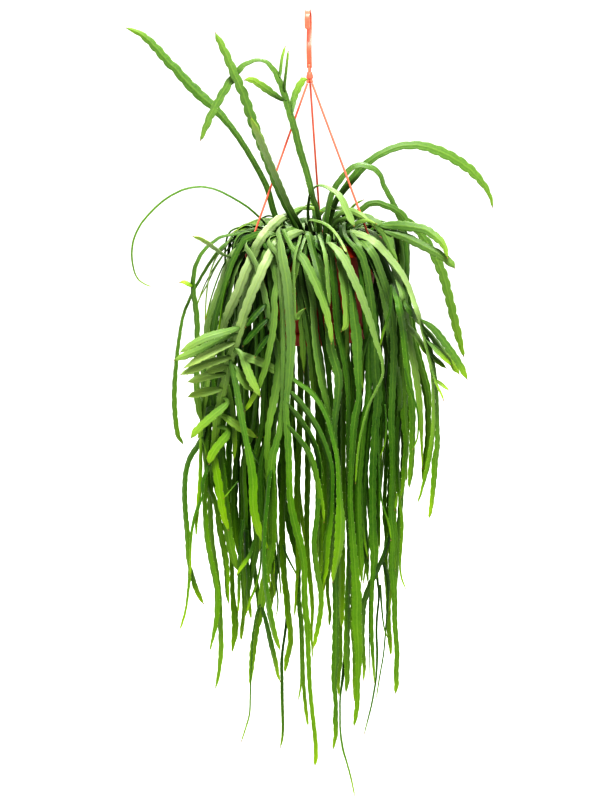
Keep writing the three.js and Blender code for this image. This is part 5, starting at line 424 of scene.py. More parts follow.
    ("C5", "trailing_stems_extra_left", 0, 1, [[-360,-200,-2926,58,28,65,-50,57],[-363,-148,-2891,63,28,65,-30,70],[-357,32,-2828,72,28,64,-23,73],[-356,116,-2804,78,28,66,-23,71],[-358,152,-2789,82,28,72,-27,64],[-369,161,-2766,89,28,87,-32,37],[-384,131,-2751,94,28,92,-30,26],[-406,76,-2736,96,28,93,-29,22],[-431,6,-2720,104,28,94,-28,21],[-454,-66,-2715,104,28,94,-26,21],[-506,-293,-2729,104,28,95,-23,22],[-550,-500,-2758,104,28,94,-25,22],[-570,-585,-2777,104,28,93,-30,20],[-589,-647,-2800,104,28,90,-41,14],[-608,-683,-2827,104,28,81,-58,2],[-626,-700,-2856,104,28,70,-71,-12],[-663,-715,-2919,104,28,57,-79,-22],[-717,-720,-3015,104,28,50,-81,-31],[-776,-684,-3158,104,28,46,-77,-44],[-842,-601,-3347,104,28,43,-73,-53],[-899,-511,-3502,104,28,41,-70,-59],[-996,-330,-3782,104,28,43,-71,-57],[-1049,-251,-3940,104,28,47,-76,-45],[-1102,-210,-4092,104,28,52,-80,-31],[-1177,-196,-4313,104,28,58,-80,-16],[-1233,-197,-4577,104,28,60,-79,-12],[-1275,-198,-4805,104,28,61,-78,-8],[-1312,-200,-5114,104,28,62,-78,-7],[-1351,-203,-5463,104,28,62,-78,-6],[-1384,-205,-5774,104,28,62,-78,-6],[-1416,-207,-6088,104,28,63,-77,-4],[-1418,-208,-6403,104,28,65,-76,1],[-1410,-208,-6681,104,28,66,-75,4],[-1372,-206,-7037,98,28,66,-75,6],[-1345,-206,-7356,95,28,65,-76,3],[-1341,-206,-7717,104,28,64,-77,0],[-1341,-207,-8040,104,28,63,-77,0],[-1348,-208,-8161,99,28,61,-79,-7],[-1394,-213,-8481,64,28,58,-81,-8],[-1437,-215,-8636,27,15,54,-83,-16]]),
    ("D1", "stem_front_middle_long_1", 0, 1, [[-20,-340,-2926,42,21,-89,38,27],[-20,-367,-2890,44,22,-89,40,23],[-48,-505,-2752,55,27,-92,34,20],[-57,-560,-2706,59,28,-93,29,21],[-63,-615,-2672,63,28,-95,21,24],[-67,-671,-2653,67,28,-96,8,28],[-67,-726,-2650,69,28,-95,-7,30],[-59,-810,-2680,105,28,-92,-29,26],[-49,-865,-2719,105,28,-90,-37,22],[-29,-944,-2798,105,28,-89,-43,15],[4,-1041,-2920,105,28,-88,-47,10],[36,-1124,-3051,105,28,-87,-49,6],[62,-1173,-3151,105,28,-86,-52,1],[85,-1212,-3253,105,28,-85,-52,0],[110,-1250,-3392,105,28,-84,-54,-2],[126,-1269,-3498,96,28,-84,-54,-3],[146,-1292,-3715,101,28,-84,-54,-3],[171,-1299,-4008,120,28,-81,-57,-14],[198,-1297,-4115,120,28,-78,-57,-26],[246,-1291,-4296,120,28,-81,-56,-18],[255,-1287,-4407,118,28,-84,-54,1],[238,-1278,-4595,105,28,-85,-51,8],[191,-1261,-4932,96,28,-85,-52,7],[183,-1255,-5046,90,28,-85,-53,-1],[192,-1236,-5389,90,28,-84,-54,-6],[205,-1217,-5735,90,28,-84,-54,-7],[215,-1198,-6083,90,28,-85,-53,0],[196,-1180,-6432,90,28,-86,-51,4],[165,-1165,-6704,75,28,-86,-51,5],[147,-1151,-6978,75,28,-85,-53,1],[151,-1137,-7254,90,28,-84,-53,-2],[138,-1116,-7650,95,28,-85,-52,2],[126,-1097,-8010,105,28,-85,-52,1],[103,-1082,-8289,75,28,-85,-53,-1],[117,-1066,-8612,61,28,-84,-54,-4],[108,-1055,-8814,75,28,-85,-53,0],[107,-1045,-9016,61,28,-86,-51,3],[66,-1034,-9216,30,15,-87,-46,19]]),
    ("D2", "stem_front_middle_long_2", 0, 1, [[102,-409,-2926,52,26,-80,34,50],[102,-437,-2907,54,27,-84,39,39],[68,-553,-2838,63,28,-93,33,14],[39,-667,-2788,72,28,-97,22,-5],[11,-796,-2757,83,28,-97,5,-26],[19,-844,-2763,85,28,-91,-33,-24],[34,-869,-2776,101,28,-85,-48,-22],[78,-916,-2819,111,28,-77,-63,-13],[119,-955,-2870,111,28,-73,-68,-5],[149,-987,-2926,111,28,-73,-68,0],[197,-1033,-3046,111,28,-69,-73,-2],[215,-1052,-3109,111,28,-70,-71,6],[230,-1100,-3314,111,28,-70,-71,10],[240,-1134,-3566,111,28,-69,-72,3],[256,-1145,-3824,100,28,-67,-74,-8],[297,-1143,-4006,92,28,-65,-74,-14],[346,-1130,-4343,92,28,-67,-73,-13],[363,-1114,-4646,76,28,-69,-72,-4],[358,-1098,-4952,74,28,-70,-72,-3],[357,-1081,-5298,74,28,-70,-72,-3],[355,-1066,-5606,74,28,-70,-72,-3],[353,-1053,-5917,74,28,-70,-71,-2],[339,-1037,-6306,82,28,-70,-71,0],[329,-1022,-6698,83,28,-70,-71,0],[315,-1014,-6934,88,28,-71,-70,3],[299,-1005,-7170,93,28,-71,-71,1],[283,-991,-7567,104,28,-70,-71,1],[268,-977,-7966,120,28,-70,-72,-1],[266,-964,-8328,86,28,-71,-70,0],[250,-958,-8488,37,18,-73,-68,10]]),
    ("L12", "stem_front_middle_long_2", 1, 1, [[272,-983,-7806,48,24,90,40,18],[267,-961,-7850,50,25,87,50,0],[262,-956,-7889,52,26,85,52,-5],[241,-941,-8067,54,27,83,56,-3],[212,-914,-8311,45,22,83,55,-6],[174,-888,-8594,26,15,82,57,-2],[167,-874,-8797,25,15,81,59,2],[166,-862,-9040,25,15,79,61,4],[192,-854,-9281,31,16,75,65,16],[240,-849,-9477,25,15,72,66,19],[285,-846,-9674,24,15,74,65,16],[327,-845,-9912,17,15,76,63,12]]),
    ("E1", "stem_front_middle_short_2", 0, 1, [[-194,-414,-2926,38,19,-94,-16,-30],[-212,-469,-2873,39,20,-87,5,-49],[-322,-644,-2735,45,22,-89,17,-43],[-352,-704,-2681,46,23,-97,8,-24],[-364,-792,-2616,49,24,-98,7,-18],[-378,-850,-2586,51,25,-96,7,-26],[-367,-938,-2598,54,27,-95,-18,-25],[-329,-1048,-2661,57,28,-95,-22,-20],[-292,-1141,-2727,61,28,-94,-22,-26],[-273,-1182,-2760,62,28,-83,-35,-44],[-196,-1235,-2826,95,28,-78,-40,-48],[-132,-1281,-2905,107,28,-84,-37,-39],[-64,-1332,-3024,107,28,-88,-36,-31],[8,-1379,-3182,105,28,-88,-36,-29],[72,-1411,-3346,101,28,-89,-36,-26],[124,-1431,-3517,91,28,-92,-35,-19],[175,-1450,-3800,64,28,-94,-33,-7],[176,-1455,-3909,27,15,-95,-31,4]]),
    ("E2", "stem_front_right_mid_3", 0, 1, [[160,-440,-2926,46,23,100,2,4],[159,-497,-2888,48,24,100,0,5],[157,-611,-2840,52,26,100,2,5],[161,-776,-2780,59,28,100,7,3],[175,-906,-2754,65,28,99,14,2],[203,-1077,-2746,73,28,98,18,8],[216,-1121,-2755,75,28,88,42,20],[304,-1185,-2837,115,28,72,64,26],[344,-1210,-2895,118,28,74,63,21],[395,-1240,-2988,122,28,74,64,20],[438,-1261,-3086,121,28,73,65,21],[495,-1275,-3220,119,28,71,66,26],[550,-1277,-3357,117,28,70,65,28],[665,-1256,-3712,101,28,72,64,25],[721,-1239,-3932,81,28,72,64,25],[784,-1227,-4150,57,28,74,63,21],[798,-1224,-4260,46,23,79,61,2],[796,-1224,-4335,42,21,80,59,-8],[780,-1223,-4406,41,20,77,57,-26],[628,-1224,-4706,40,20,77,54,-33],[565,-1230,-4882,36,18,78,56,-27],[524,-1236,-5026,34,17,79,57,-23],[491,-1241,-5172,33,16,80,58,-16],[462,-1247,-5359,35,18,80,59,-12],[429,-1252,-5698,21,15,79,60,-7]]),
    ("E3", "stem_front_middle_short_3", 0, 1, [[280,-400,-2926,38,19,-97,23,12],[277,-421,-2905,39,19,-97,22,5],[245,-578,-2821,44,22,-98,6,-19],[237,-644,-2798,47,24,-98,3,-17],[235,-709,-2788,50,25,-100,0,-8],[237,-773,-2792,52,26,-100,-7,-4],[244,-835,-2809,54,27,-99,-14,-4],[256,-895,-2840,57,28,-98,-20,-4],[276,-971,-2897,60,28,-97,-25,-5],[294,-1024,-2950,62,28,-96,-28,-6],[315,-1071,-3006,93,28,-94,-34,-9],[342,-1139,-3177,103,28,-95,-31,1],[364,-1195,-3388,107,28,-94,-33,-2],[373,-1233,-3603,101,28,-94,-32,8],[359,-1248,-3709,83,28,-90,-29,31],[347,-1252,-3741,71,28,-84,-27,47],[303,-1258,-3799,40,20,-73,-22,65]]),
    ("E4", "trailing_stems_extra_front_left", 0, 1, [[240,-460,-2926,48,24,60,-80,3],[234,-464,-2895,50,25,60,-80,5],[197,-487,-2836,52,26,61,-79,2],[172,-514,-2781,55,27,72,-66,-20],[164,-552,-2738,57,28,79,-42,-45],[166,-669,-2693,62,28,77,-3,-63],[184,-813,-2682,67,28,77,12,-62],[187,-851,-2687,68,28,78,17,-60],[182,-887,-2706,70,28,79,26,-55],[174,-916,-2738,71,28,81,41,-43],[172,-937,-2771,72,28,79,56,-24],[180,-952,-2799,74,28,75,65,-10],[214,-1002,-2914,78,28,74,67,-6],[223,-1016,-2980,80,28,74,67,-5],[230,-1029,-3125,102,28,73,68,2],[247,-1032,-3382,104,28,73,68,3],[258,-1030,-3640,104,28,73,68,3],[262,-1028,-3863,104,28,73,68,3],[272,-1021,-4124,84,28,73,68,6],[286,-1008,-4388,69,28,73,68,8],[294,-996,-4577,35,17,73,68,7]]),
    ("E5", "stem_front_middle_long_3", 0, 1, [[376,-170,-2926,37,19,-98,-4,-19],[369,-158,-2892,38,19,-99,-4,-15],[362,-146,-2806,39,19,-100,-3,-1],[366,-158,-2732,40,20,-100,0,7],[365,-195,-2692,41,20,-98,20,-4],[344,-249,-2688,42,21,-90,42,-11],[295,-368,-2700,43,22,-93,33,-16],[279,-417,-2702,44,22,-96,20,-17],[272,-521,-2704,45,22,-98,1,-19],[278,-627,-2709,46,23,-98,-8,-20],[300,-774,-2727,47,24,-97,-14,-20],[317,-861,-2745,48,24,-97,-16,-19],[335,-938,-2769,49,24,-97,-19,-16],[362,-1033,-2815,50,25,-97,-22,-12],[394,-1126,-2894,52,26,-96,-27,-8],[414,-1171,-2962,53,27,-96,-30,-1],[419,-1204,-3068,56,28,-96,-30,1],[427,-1222,-3175,58,28,-95,-31,-4],[441,-1235,-3320,69,28,-95,-31,-9],[463,-1244,-3650,111,28,-95,-31,-8],[484,-1228,-3837,139,28,-95,-31,-11],[490,-1219,-3950,133,28,-95,-30,-6],[491,-1201,-4289,100,28,-95,-30,-6],[498,-1190,-4590,68,28,-96,-28,3],[487,-1188,-4703,77,28,-95,-27,16],[452,-1186,-4849,93,28,-94,-26,20],[428,-1185,-4998,93,28,-96,-27,11],[404,-1182,-5262,80,28,-96,-28,8],[381,-1176,-5528,73,28,-96,-28,8],[361,-1166,-5796,67,28,-96,-29,2],[359,-1155,-6028,72,28,-95,-30,-4],[366,-1144,-6223,81,28,-95,-31,-6],[382,-1123,-6537,94,28,-95,-31,-7],[401,-1098,-6892,110,28,-95,-31,-6],[414,-1078,-7209,131,28,-95,-30,-3],[405,-1060,-7527,139,28,-95,-30,-2],[416,-1045,-7806,117,28,-95,-31,-3],[414,-1032,-8087,89,28,-96,-28,4],[398,-1024,-8327,67,28,-96,-28,2],[389,-1017,-8607,66,28,-96,-27,7],[369,-1015,-8766,60,28,-96,-25,14],[340,-1013,-8923,27,15,-95,-23,20]]),
    ("F1", "stem_front_middle_long_4", 0, 1, [[-324,-141,-2926,39,20,88,48,4],[-323,-146,-2891,40,20,88,42,24],[-341,-176,-2817,43,21,85,40,34],[-352,-219,-2743,45,22,85,37,38],[-361,-283,-2674,47,24,83,28,48],[-372,-372,-2623,50,25,80,12,59],[-378,-425,-2608,51,25,78,5,62],[-394,-545,-2590,53,26,76,-5,65],[-427,-800,-2583,58,28,75,-8,65],[-435,-916,-2589,60,28,76,-9,65],[-435,-1017,-2602,62,28,78,-10,62],[-431,-1060,-2616,63,28,80,-15,59],[-417,-1132,-2660,64,28,84,-25,48],[-401,-1218,-2761,102,28,87,-34,35],[-383,-1284,-2899,125,28,88,-37,29],[-364,-1320,-3004,126,28,89,-38,26],[-346,-1337,-3111,126,28,90,-40,16],[-332,-1348,-3257,126,28,91,-41,9],[-318,-1340,-3517,126,28,91,-41,-3],[-313,-1318,-3743,126,28,91,-41,-1],[-316,-1296,-3969,120,28,90,-42,-7],[-345,-1286,-4304,108,28,89,-44,-10],[-353,-1279,-4380,105,28,88,-43,-17],[-381,-1247,-4571,84,28,88,-43,-18],[-399,-1223,-4762,84,28,90,-42,-7],[-387,-1195,-5145,98,28,91,-41,0],[-384,-1176,-5491,84,28,91,-42,-3],[-386,-1161,-5799,85,28,91,-41,1],[-376,-1155,-5953,96,28,92,-39,8],[-354,-1151,-6105,103,28,91,-38,15],[-307,-1148,-6331,111,28,91,-37,20],[-264,-1144,-6520,101,28,91,-37,18],[-231,-1137,-6751,85,28,91,-41,2],[-236,-1125,-7025,78,28,90,-43,-4],[-236,-1112,-7263,83,28,91,-41,1],[-216,-1098,-7539,80,28,91,-41,0],[-212,-1083,-7819,67,28,91,-42,-2],[-210,-1068,-8099,64,28,91,-42,-2],[-205,-1053,-8381,57,28,91,-41,1],[-181,-1036,-8744,56,28,92,-40,7],[-154,-1018,-9109,56,28,91,-41,0],[-154,-1007,-9313,55,27,89,-45,-8],[-169,-1000,-9436,42,21,87,-47,-15]]),
    ("F1a", "stem_front_middle_long_4", 1, 1, [[-345,-1286,-4304,51,25,55,75,37],[-272,-1292,-4386,70,28,45,77,46],[-97,-1302,-4519,84,28,49,76,42],[-27,-1312,-4602,84,28,58,74,33],[33,-1324,-4694,84,28,63,73,27],[81,-1336,-4792,84,28,67,71,20],[119,-1348,-4895,84,28,70,70,14],[199,-1378,-5255,79,28,73,68,9],[217,-1386,-5403,76,28,74,67,2],[223,-1392,-5552,78,28,75,66,-1],[230,-1397,-5930,117,28,75,66,1],[231,-1398,-6120,167,28,76,65,-2],[228,-1398,-6196,168,28,76,64,-4],[217,-1398,-6348,164,28,77,63,-8],[192,-1398,-6537,137,28,78,62,-12],[134,-1398,-6798,80,28,77,62,-14],[120,-1398,-6913,42,21,77,63,-8]]),
    ("F1b", "stem_front_middle_long_4", 1, 1, [[-370,-1260,-4494,69,28,60,-56,57],[-337,-1259,-4533,77,28,64,-57,51],[-218,-1268,-4675,99,28,63,-58,52],[-113,-1282,-4827,104,28,65,-59,47],[-21,-1297,-4986,104,28,69,-61,40],[61,-1313,-5192,104,28,73,-63,27],[114,-1324,-5372,99,28,73,-65,23],[136,-1329,-5481,93,28,74,-67,11],[140,-1333,-5594,87,28,73,-68,1],[131,-1338,-5820,87,28,72,-70,-3],[100,-1341,-6200,104,28,69,-71,-10],[61,-1340,-6387,130,28,69,-71,-11],[29,-1342,-6770,104,28,68,-72,-10],[-15,-1341,-6917,79,28,62,-75,-24],[-43,-1340,-6989,43,22,60,-76,-25]]),
    ("F1c", "stem_front_middle_long_4", 1, 1, [[-391,-1236,-4647,84,28,63,-75,20],[-363,-1236,-4714,94,28,55,-75,37],[-264,-1242,-4823,105,28,51,-72,47],[-164,-1261,-4976,97,28,55,-72,42],[-111,-1273,-5073,102,28,58,-73,36],[-41,-1289,-5244,105,28,60,-76,24],[-11,-1304,-5426,105,28,61,-79,9],[-16,-1317,-5612,105,28,60,-80,2],[-35,-1333,-5911,100,28,59,-81,-2],[-53,-1339,-6099,95,28,57,-82,-5],[-99,-1345,-6438,95,28,60,-80,-2],[-65,-1346,-6820,105,28,63,-78,8],[-35,-1346,-7010,102,28,62,-78,6],[-31,-1346,-7203,95,28,59,-81,-2],[-64,-1347,-7433,92,28,54,-83,-12],[-117,-1346,-7659,76,28,53,-84,-13],[-144,-1346,-7773,38,19,53,-84,-12]]),
    ("F1d", "stem_front_middle_long_4", 1, 1, [[-394,-1207,-4954,72,28,30,-63,72],[-357,-1224,-4989,82,28,41,-66,63],[-196,-1290,-5182,104,28,50,-69,53],[-141,-1313,-5275,112,28,56,-71,43],[-86,-1337,-5410,113,28,61,-73,30],[-59,-1349,-5517,108,28,63,-75,20],[-27,-1360,-5701,102,28,64,-76,12],[7,-1364,-5964,102,28,64,-77,8],[28,-1365,-6154,51,26,64,-77,7]]),
    ("F2", "stem_front_left_long_3", 0, 1, [[-435,-256,-2926,39,19,82,58,-4],[-420,-274,-2879,40,20,80,59,-5],[-331,-382,-2749,45,22,87,50,-1],[-300,-462,-2706,47,24,93,36,7],[-275,-550,-2673,49,25,98,14,11],[-275,-617,-2672,51,26,99,-6,13],[-289,-724,-2682,53,27,96,-25,16],[-318,-791,-2677,55,27,83,-51,21],[-371,-843,-2664,56,28,55,-78,30],[-442,-880,-2657,58,28,42,-85,33],[-513,-918,-2667,59,28,43,-81,40],[-540,-941,-2681,60,28,51,-71,48],[-555,-969,-2698,61,28,58,-55,59],[-557,-1000,-2719,62,28,60,-38,70],[-545,-1031,-2741,62,28,60,-26,76],[-498,-1083,-2791,64,28,63,-19,75],[-448,-1120,-2848,69,28,79,-26,55],[-437,-1129,-2882,69,28,90,-33,30],[-426,-1143,-2952,69,28,91,-34,23],[-418,-1202,-3092,69,28,92,-38,10],[-418,-1215,-3204,69,28,92,-39,1],[-414,-1208,-3471,69,28,92,-39,1],[-410,-1207,-3731,69,28,92,-39,1],[-412,-1210,-4028,69,28,92,-39,0],[-414,-1216,-4326,69,28,92,-39,-5],[-429,-1169,-4597,69,28,90,-40,-15],[-468,-1130,-4942,77,28,88,-42,-19],[-499,-1110,-5094,85,28,85,-43,-30],[-577,-1069,-5359,104,28,85,-43,-29],[-603,-1048,-5513,111,28,90,-41,-14],[-611,-1032,-5669,111,28,92,-39,-2],[-602,-1003,-6061,109,28,92,-39,-5],[-611,-982,-6298,104,28,91,-39,-9],[-621,-957,-6498,104,28,90,-41,-13],[-639,-937,-6618,104,28,87,-42,-26],[-686,-897,-6819,105,28,85,-44,-29],[-742,-839,-7063,111,28,86,-43,-28],[-780,-787,-7272,110,28,88,-41,-22],[-805,-727,-7485,97,28,85,-42,-31],[-864,-657,-7696,92,28,84,-43,-32],[-924,-539,-8047,89,28,88,-40,-26],[-951,-474,-8268,70,28,89,-40,-21],[-981,-410,-8530,35,17,90,-40,-19]]),
    ("F2t", "trailing_stems_extra_left", 1, 1, [[-785,-776,-7314,32,16,40,-61,-68],[-802,-757,-7351,31,15,60,-68,-42],[-818,-752,-7387,30,15,65,-68,-34],[-852,-746,-7475,29,15,70,-66,-28],[-874,-737,-7559,28,15,73,-64,-24],[-914,-706,-7806,26,15,78,-60,-17],[-932,-685,-8011,25,15,80,-59,-11],[-950,-669,-8257,25,15,80,-59,-9],[-970,-663,-8540,22,15,81,-59,-4],[-987,-663,-8823,22,15,78,-62,-11],[-1015,-663,-8940,23,15,73,-64,-22],[-1106,-662,-9210,16,15,69,-67,-26]]),
    ("M1", "stem_front_left_long_3", 1, 1, [[-608,-1044,-5552,90,28,51,-85,-11],[-641,-1055,-5688,90,28,55,-83,0],[-674,-1082,-5956,90,28,56,-83,0],[-713,-1107,-6254,90,28,57,-82,0],[-728,-1122,-6480,90,28,58,-82,2],[-734,-1130,-6670,92,28,58,-81,3],[-722,-1136,-6977,103,28,60,-80,6],[-696,-1137,-7208,113,28,61,-79,6],[-676,-1137,-7401,135,28,61,-79,9],[-615,-1138,-7706,114,28,62,-76,16],[-566,-1136,-7854,56,28,63,-74,22]]),
    ("M2", "stem_front_left_long_3", 1, 1, [[-793,-752,-7400,69,28,54,-73,42],[-768,-771,-7467,76,28,55,-75,37],[-734,-806,-7608,94,28,57,-77,29],[-683,-846,-7862,111,28,59,-78,19],[-637,-859,-8086,100,28,60,-79,13],[-607,-862,-8277,59,28,61,-78,15],[-584,-862,-8351,30,15,62,-76,21]]),
    ("F3", "stem_front_left_mid_1", 0, 1, [[-502,-35,-2926,48,24,10,-96,27],[-521,-28,-2834,50,25,14,-99,1],[-515,-28,-2798,51,26,12,-99,-10],[-498,-32,-2766,52,26,2,-96,-27],[-474,-44,-2739,53,26,-16,-86,-49],[-449,-67,-2719,54,27,-35,-65,-68],[-430,-100,-2708,54,27,-48,-41,-78],[-418,-139,-2701,55,28,-53,-25,-81],[-410,-218,-2691,57,28,-55,-8,-83],[-433,-341,-2681,59,28,-53,0,-85],[-431,-385,-2679,60,28,-51,-11,-85],[-418,-426,-2679,61,28,-47,-23,-85],[-365,-492,-2678,63,28,-39,-35,-85],[-342,-521,-2678,63,28,-45,-21,-87],[-330,-550,-2682,64,28,-53,10,-84],[-345,-601,-2702,66,28,-44,58,-69],[-409,-683,-2732,68,28,-53,53,-67],[-451,-752,-2742,70,28,-63,38,-68],[-510,-866,-2728,72,28,-73,21,-65],[-520,-904,-2728,73,28,-74,23,-64],[-522,-938,-2740,74,28,-74,30,-60],[-516,-968,-2765,75,28,-75,38,-53],[-496,-1008,-2843,76,28,-80,52,-31],[-489,-1016,-2886,77,28,-82,57,-12],[-488,-1014,-2925,78,28,-81,57,12],[-494,-1009,-2956,79,28,-80,55,25],[-504,-1016,-3005,90,28,-84,46,-29],[-491,-1059,-3060,98,28,-74,42,-53],[-469,-1120,-3158,103,28,-73,56,-39],[-465,-1145,-3225,103,28,-75,65,-9],[-483,-1160,-3293,103,28,-73,68,12],[-502,-1171,-3363,103,28,-74,67,-1],[-502,-1192,-3544,107,28,-75,66,1],[-533,-1201,-3798,110,28,-72,68,15],[-583,-1183,-4019,104,28,-68,68,26],[-617,-1155,-4170,103,28,-66,69,30],[-648,-1125,-4283,100,28,-61,67,42],[-769,-1024,-4580,79,28,-53,70,49],[-849,-961,-4721,76,28,-44,68,59],[-913,-910,-4827,43,21,-43,68,59]]),
    ("F4", "stem_front_left_long_4", 0, 1, [[-515,-91,-2926,48,24,81,-56,-18],[-509,-95,-2889,49,25,78,-50,-37],[-458,-129,-2817,52,26,62,-42,-66],[-450,-151,-2794,53,26,60,-54,-59],[-454,-177,-2769,54,27,56,-71,-42],[-467,-200,-2734,54,27,54,-80,-26],[-488,-238,-2652,56,28,56,-78,-28],[-497,-281,-2579,58,28,59,-63,-51],[-493,-306,-2553,59,28,57,-42,-70],[-485,-332,-2539,60,28,47,-8,-88],[-464,-386,-2550,61,28,18,57,-80],[-460,-411,-2572,62,28,11,72,-69],[-466,-434,-2600,63,28,8,79,-61],[-486,-453,-2628,64,28,6,82,-57],[-515,-469,-2655,65,28,2,82,-57],[-557,-484,-2675,65,28,-4,80,-60],[-643,-517,-2698,67,28,-24,71,-66],[-678,-538,-2704,68,28,-34,64,-69],[-707,-561,-2707,69,28,-49,51,-71],[-747,-616,-2710,70,28,-43,58,-69],[-772,-638,-2720,71,28,-28,70,-65],[-822,-693,-2756,73,28,-34,57,-75],[-838,-732,-2773,74,28,-39,42,-82],[-841,-773,-2789,75,28,-41,34,-85],[-831,-811,-2808,76,28,-43,35,-83],[-789,-870,-2864,77,28,-52,46,-72],[-747,-912,-2933,79,28,-59,53,-61],[-713,-947,-3005,80,28,-66,58,-48],[-681,-982,-3113,95,28,-70,62,-35],[-652,-1003,-3221,103,28,-72,63,-29],[-613,-1027,-3402,104,28,-74,64,-20],[-572,-1057,-3692,104,28,-74,64,-22],[-514,-1079,-3905,88,28,-72,63,-29],[-481,-1092,-4010,115,28,-72,63,-28],[-461,-1107,-4117,140,28,-74,65,-17],[-458,-1122,-4226,155,28,-74,67,-3],[-463,-1127,-4263,152,28,-73,68,9],[-476,-1115,-4339,147,28,-68,67,28],[-550,-1032,-4687,137,28,-66,69,29],[-620,-977,-4995,110,28,-68,69,25],[-637,-960,-5111,103,28,-71,68,16],[-651,-939,-5307,98,28,-74,67,11],[-655,-926,-5463,92,28,-75,66,3],[-644,-904,-5853,87,28,-75,66,2],[-642,-889,-6167,87,28,-75,67,3],[-641,-874,-6482,87,28,-75,66,1],[-630,-864,-6758,69,28,-76,65,-2],[-618,-859,-6955,35,17,-76,65,-3]]),
    ("S1", "stem_front_left_long_4", 1, 1, [[-608,-1035,-3475,73,28,56,-75,-36],[-664,-1063,-3514,102,28,63,-72,-28],[-768,-1115,-3617,104,28,63,-73,-25],[-792,-1127,-3644,101,28,59,-75,-30],[-860,-1137,-3733,55,27,55,-77,-32]]),
    ("S2", "stem_front_left_long_4", 1, 1, [[-583,-1054,-3657,72,28,61,-66,-45],[-619,-1076,-3673,89,28,60,-70,-38],[-736,-1124,-3771,108,28,58,-75,-32],[-855,-1162,-3906,87,28,57,-76,-31],[-902,-1174,-3961,45,22,56,-76,-32]]),
    ("S3", "stem_front_left_long_4", 1, 1, [[-538,-1072,-3835,80,28,46,-83,-33],[-586,-1087,-3867,98,28,50,-82,-28],[-664,-1114,-3949,108,28,55,-81,-21],[-729,-1140,-4038,91,28,59,-80,-12],[-761,-1157,-4104,50,25,61,-79,-7]]),
    ("F5", "stem_front_middle_long_5", 0, 1, [[-100,-524,-2926,46,23,54,-70,-47],[-100,-546,-2893,47,24,54,-67,-51],[-106,-592,-2848,50,25,55,-61,-57],[-117,-683,-2779,54,27,58,-44,-68],[-126,-754,-2754,58,28,62,-20,-76],[-136,-825,-2757,62,28,65,8,-75],[-150,-908,-2794,66,28,73,40,-56],[-159,-975,-2895,71,28,75,57,-34],[-169,-1024,-3042,76,28,77,63,-11],[-161,-1036,-3114,101,28,76,65,0],[-128,-1052,-3331,107,28,74,67,12],[-58,-1057,-3619,107,28,73,67,14],[-14,-1058,-3877,107,28,74,66,13],[25,-1054,-4099,107,28,74,66,15],[45,-1049,-4248,107,28,75,65,9],[65,-1038,-4514,106,28,75,65,11],[96,-1025,-4779,99,28,75,66,12],[123,-1011,-5046,99,28,76,65,7],[131,-997,-5355,98,28,77,63,1],[118,-984,-5664,91,28,78,63,-2],[99,-971,-5975,99,28,77,63,2],[105,-963,-6170,99,28,77,64,3],[98,-950,-6483,99,28,78,63,0],[78,-937,-6798,84,28,79,62,-3],[52,-925,-7074,56,28,78,63,-1],[52,-918,-7233,51,25,76,65,7],[73,-909,-7431,52,26,76,64,5],[72,-906,-7510,50,25,78,63,-2],[57,-900,-7629,25,15,80,60,-11]]),
    ("F6", "trailing_stems_extra_front_left", 0, 1, [[-240,-480,-2926,46,23,67,74,-1],[-236,-483,-2896,47,23,67,74,-2],[-210,-503,-2838,49,24,67,75,-4],[-182,-528,-2786,51,26,69,72,0],[-153,-558,-2743,53,26,75,66,5],[-127,-601,-2714,55,28,88,44,19],[-113,-660,-2700,57,28,94,18,28],[-106,-729,-2691,59,28,95,1,30],[-117,-844,-2701,62,28,94,-20,29],[-144,-994,-2741,66,28,92,-26,28],[-162,-1094,-2774,69,28,92,-25,29],[-175,-1162,-2791,72,28,93,-23,27],[-185,-1205,-2803,75,28,89,-43,12],[-195,-1223,-2836,90,28,82,-58,-2],[-210,-1238,-2897,113,28,78,-63,-7],[-226,-1248,-2966,110,28,76,-64,-11],[-262,-1249,-3108,100,28,73,-65,-23],[-292,-1233,-3254,84,28,75,-65,-15],[-312,-1235,-3399,49,25,76,-64,-9]]),
    ("G1", "stem_front_middle_long_6", 0, 1, [[17,-532,-2926,48,24,30,-92,-24],[18,-553,-2847,49,25,27,-90,-33],[-8,-628,-2764,54,27,31,-66,-68],[-28,-686,-2730,58,28,40,-43,-81],[-56,-769,-2723,63,28,52,-3,-85],[-81,-852,-2756,68,28,60,30,-74],[-101,-930,-2823,73,28,66,48,-58],[-113,-982,-2890,77,28,70,53,-47],[-124,-1026,-2964,79,28,74,62,-26],[-112,-1053,-3033,86,28,74,67,-11],[-86,-1096,-3173,86,28,74,68,-2],[-47,-1130,-3350,98,28,72,69,5],[-32,-1143,-3456,104,28,73,68,-2],[-28,-1151,-3566,107,28,73,68,-2],[-20,-1158,-3787,114,28,73,68,2],[-7,-1157,-4010,120,28,72,69,9],[39,-1146,-4382,120,28,70,70,13],[105,-1131,-4715,100,28,70,70,16],[121,-1124,-4866,89,28,73,68,6],[115,-1117,-5018,92,28,75,66,-4],[77,-1101,-5360,103,28,75,66,-2],[69,-1089,-5628,103,28,74,67,1],[62,-1077,-5899,103,28,74,67,1],[55,-1065,-6170,103,28,74,67,1],[34,-1048,-6520,103,28,75,66,-2],[17,-1037,-6755,89,28,75,66,-1],[9,-1026,-6990,69,28,75,67,0],[-1,-1019,-7148,34,17,75,66,-3]]),
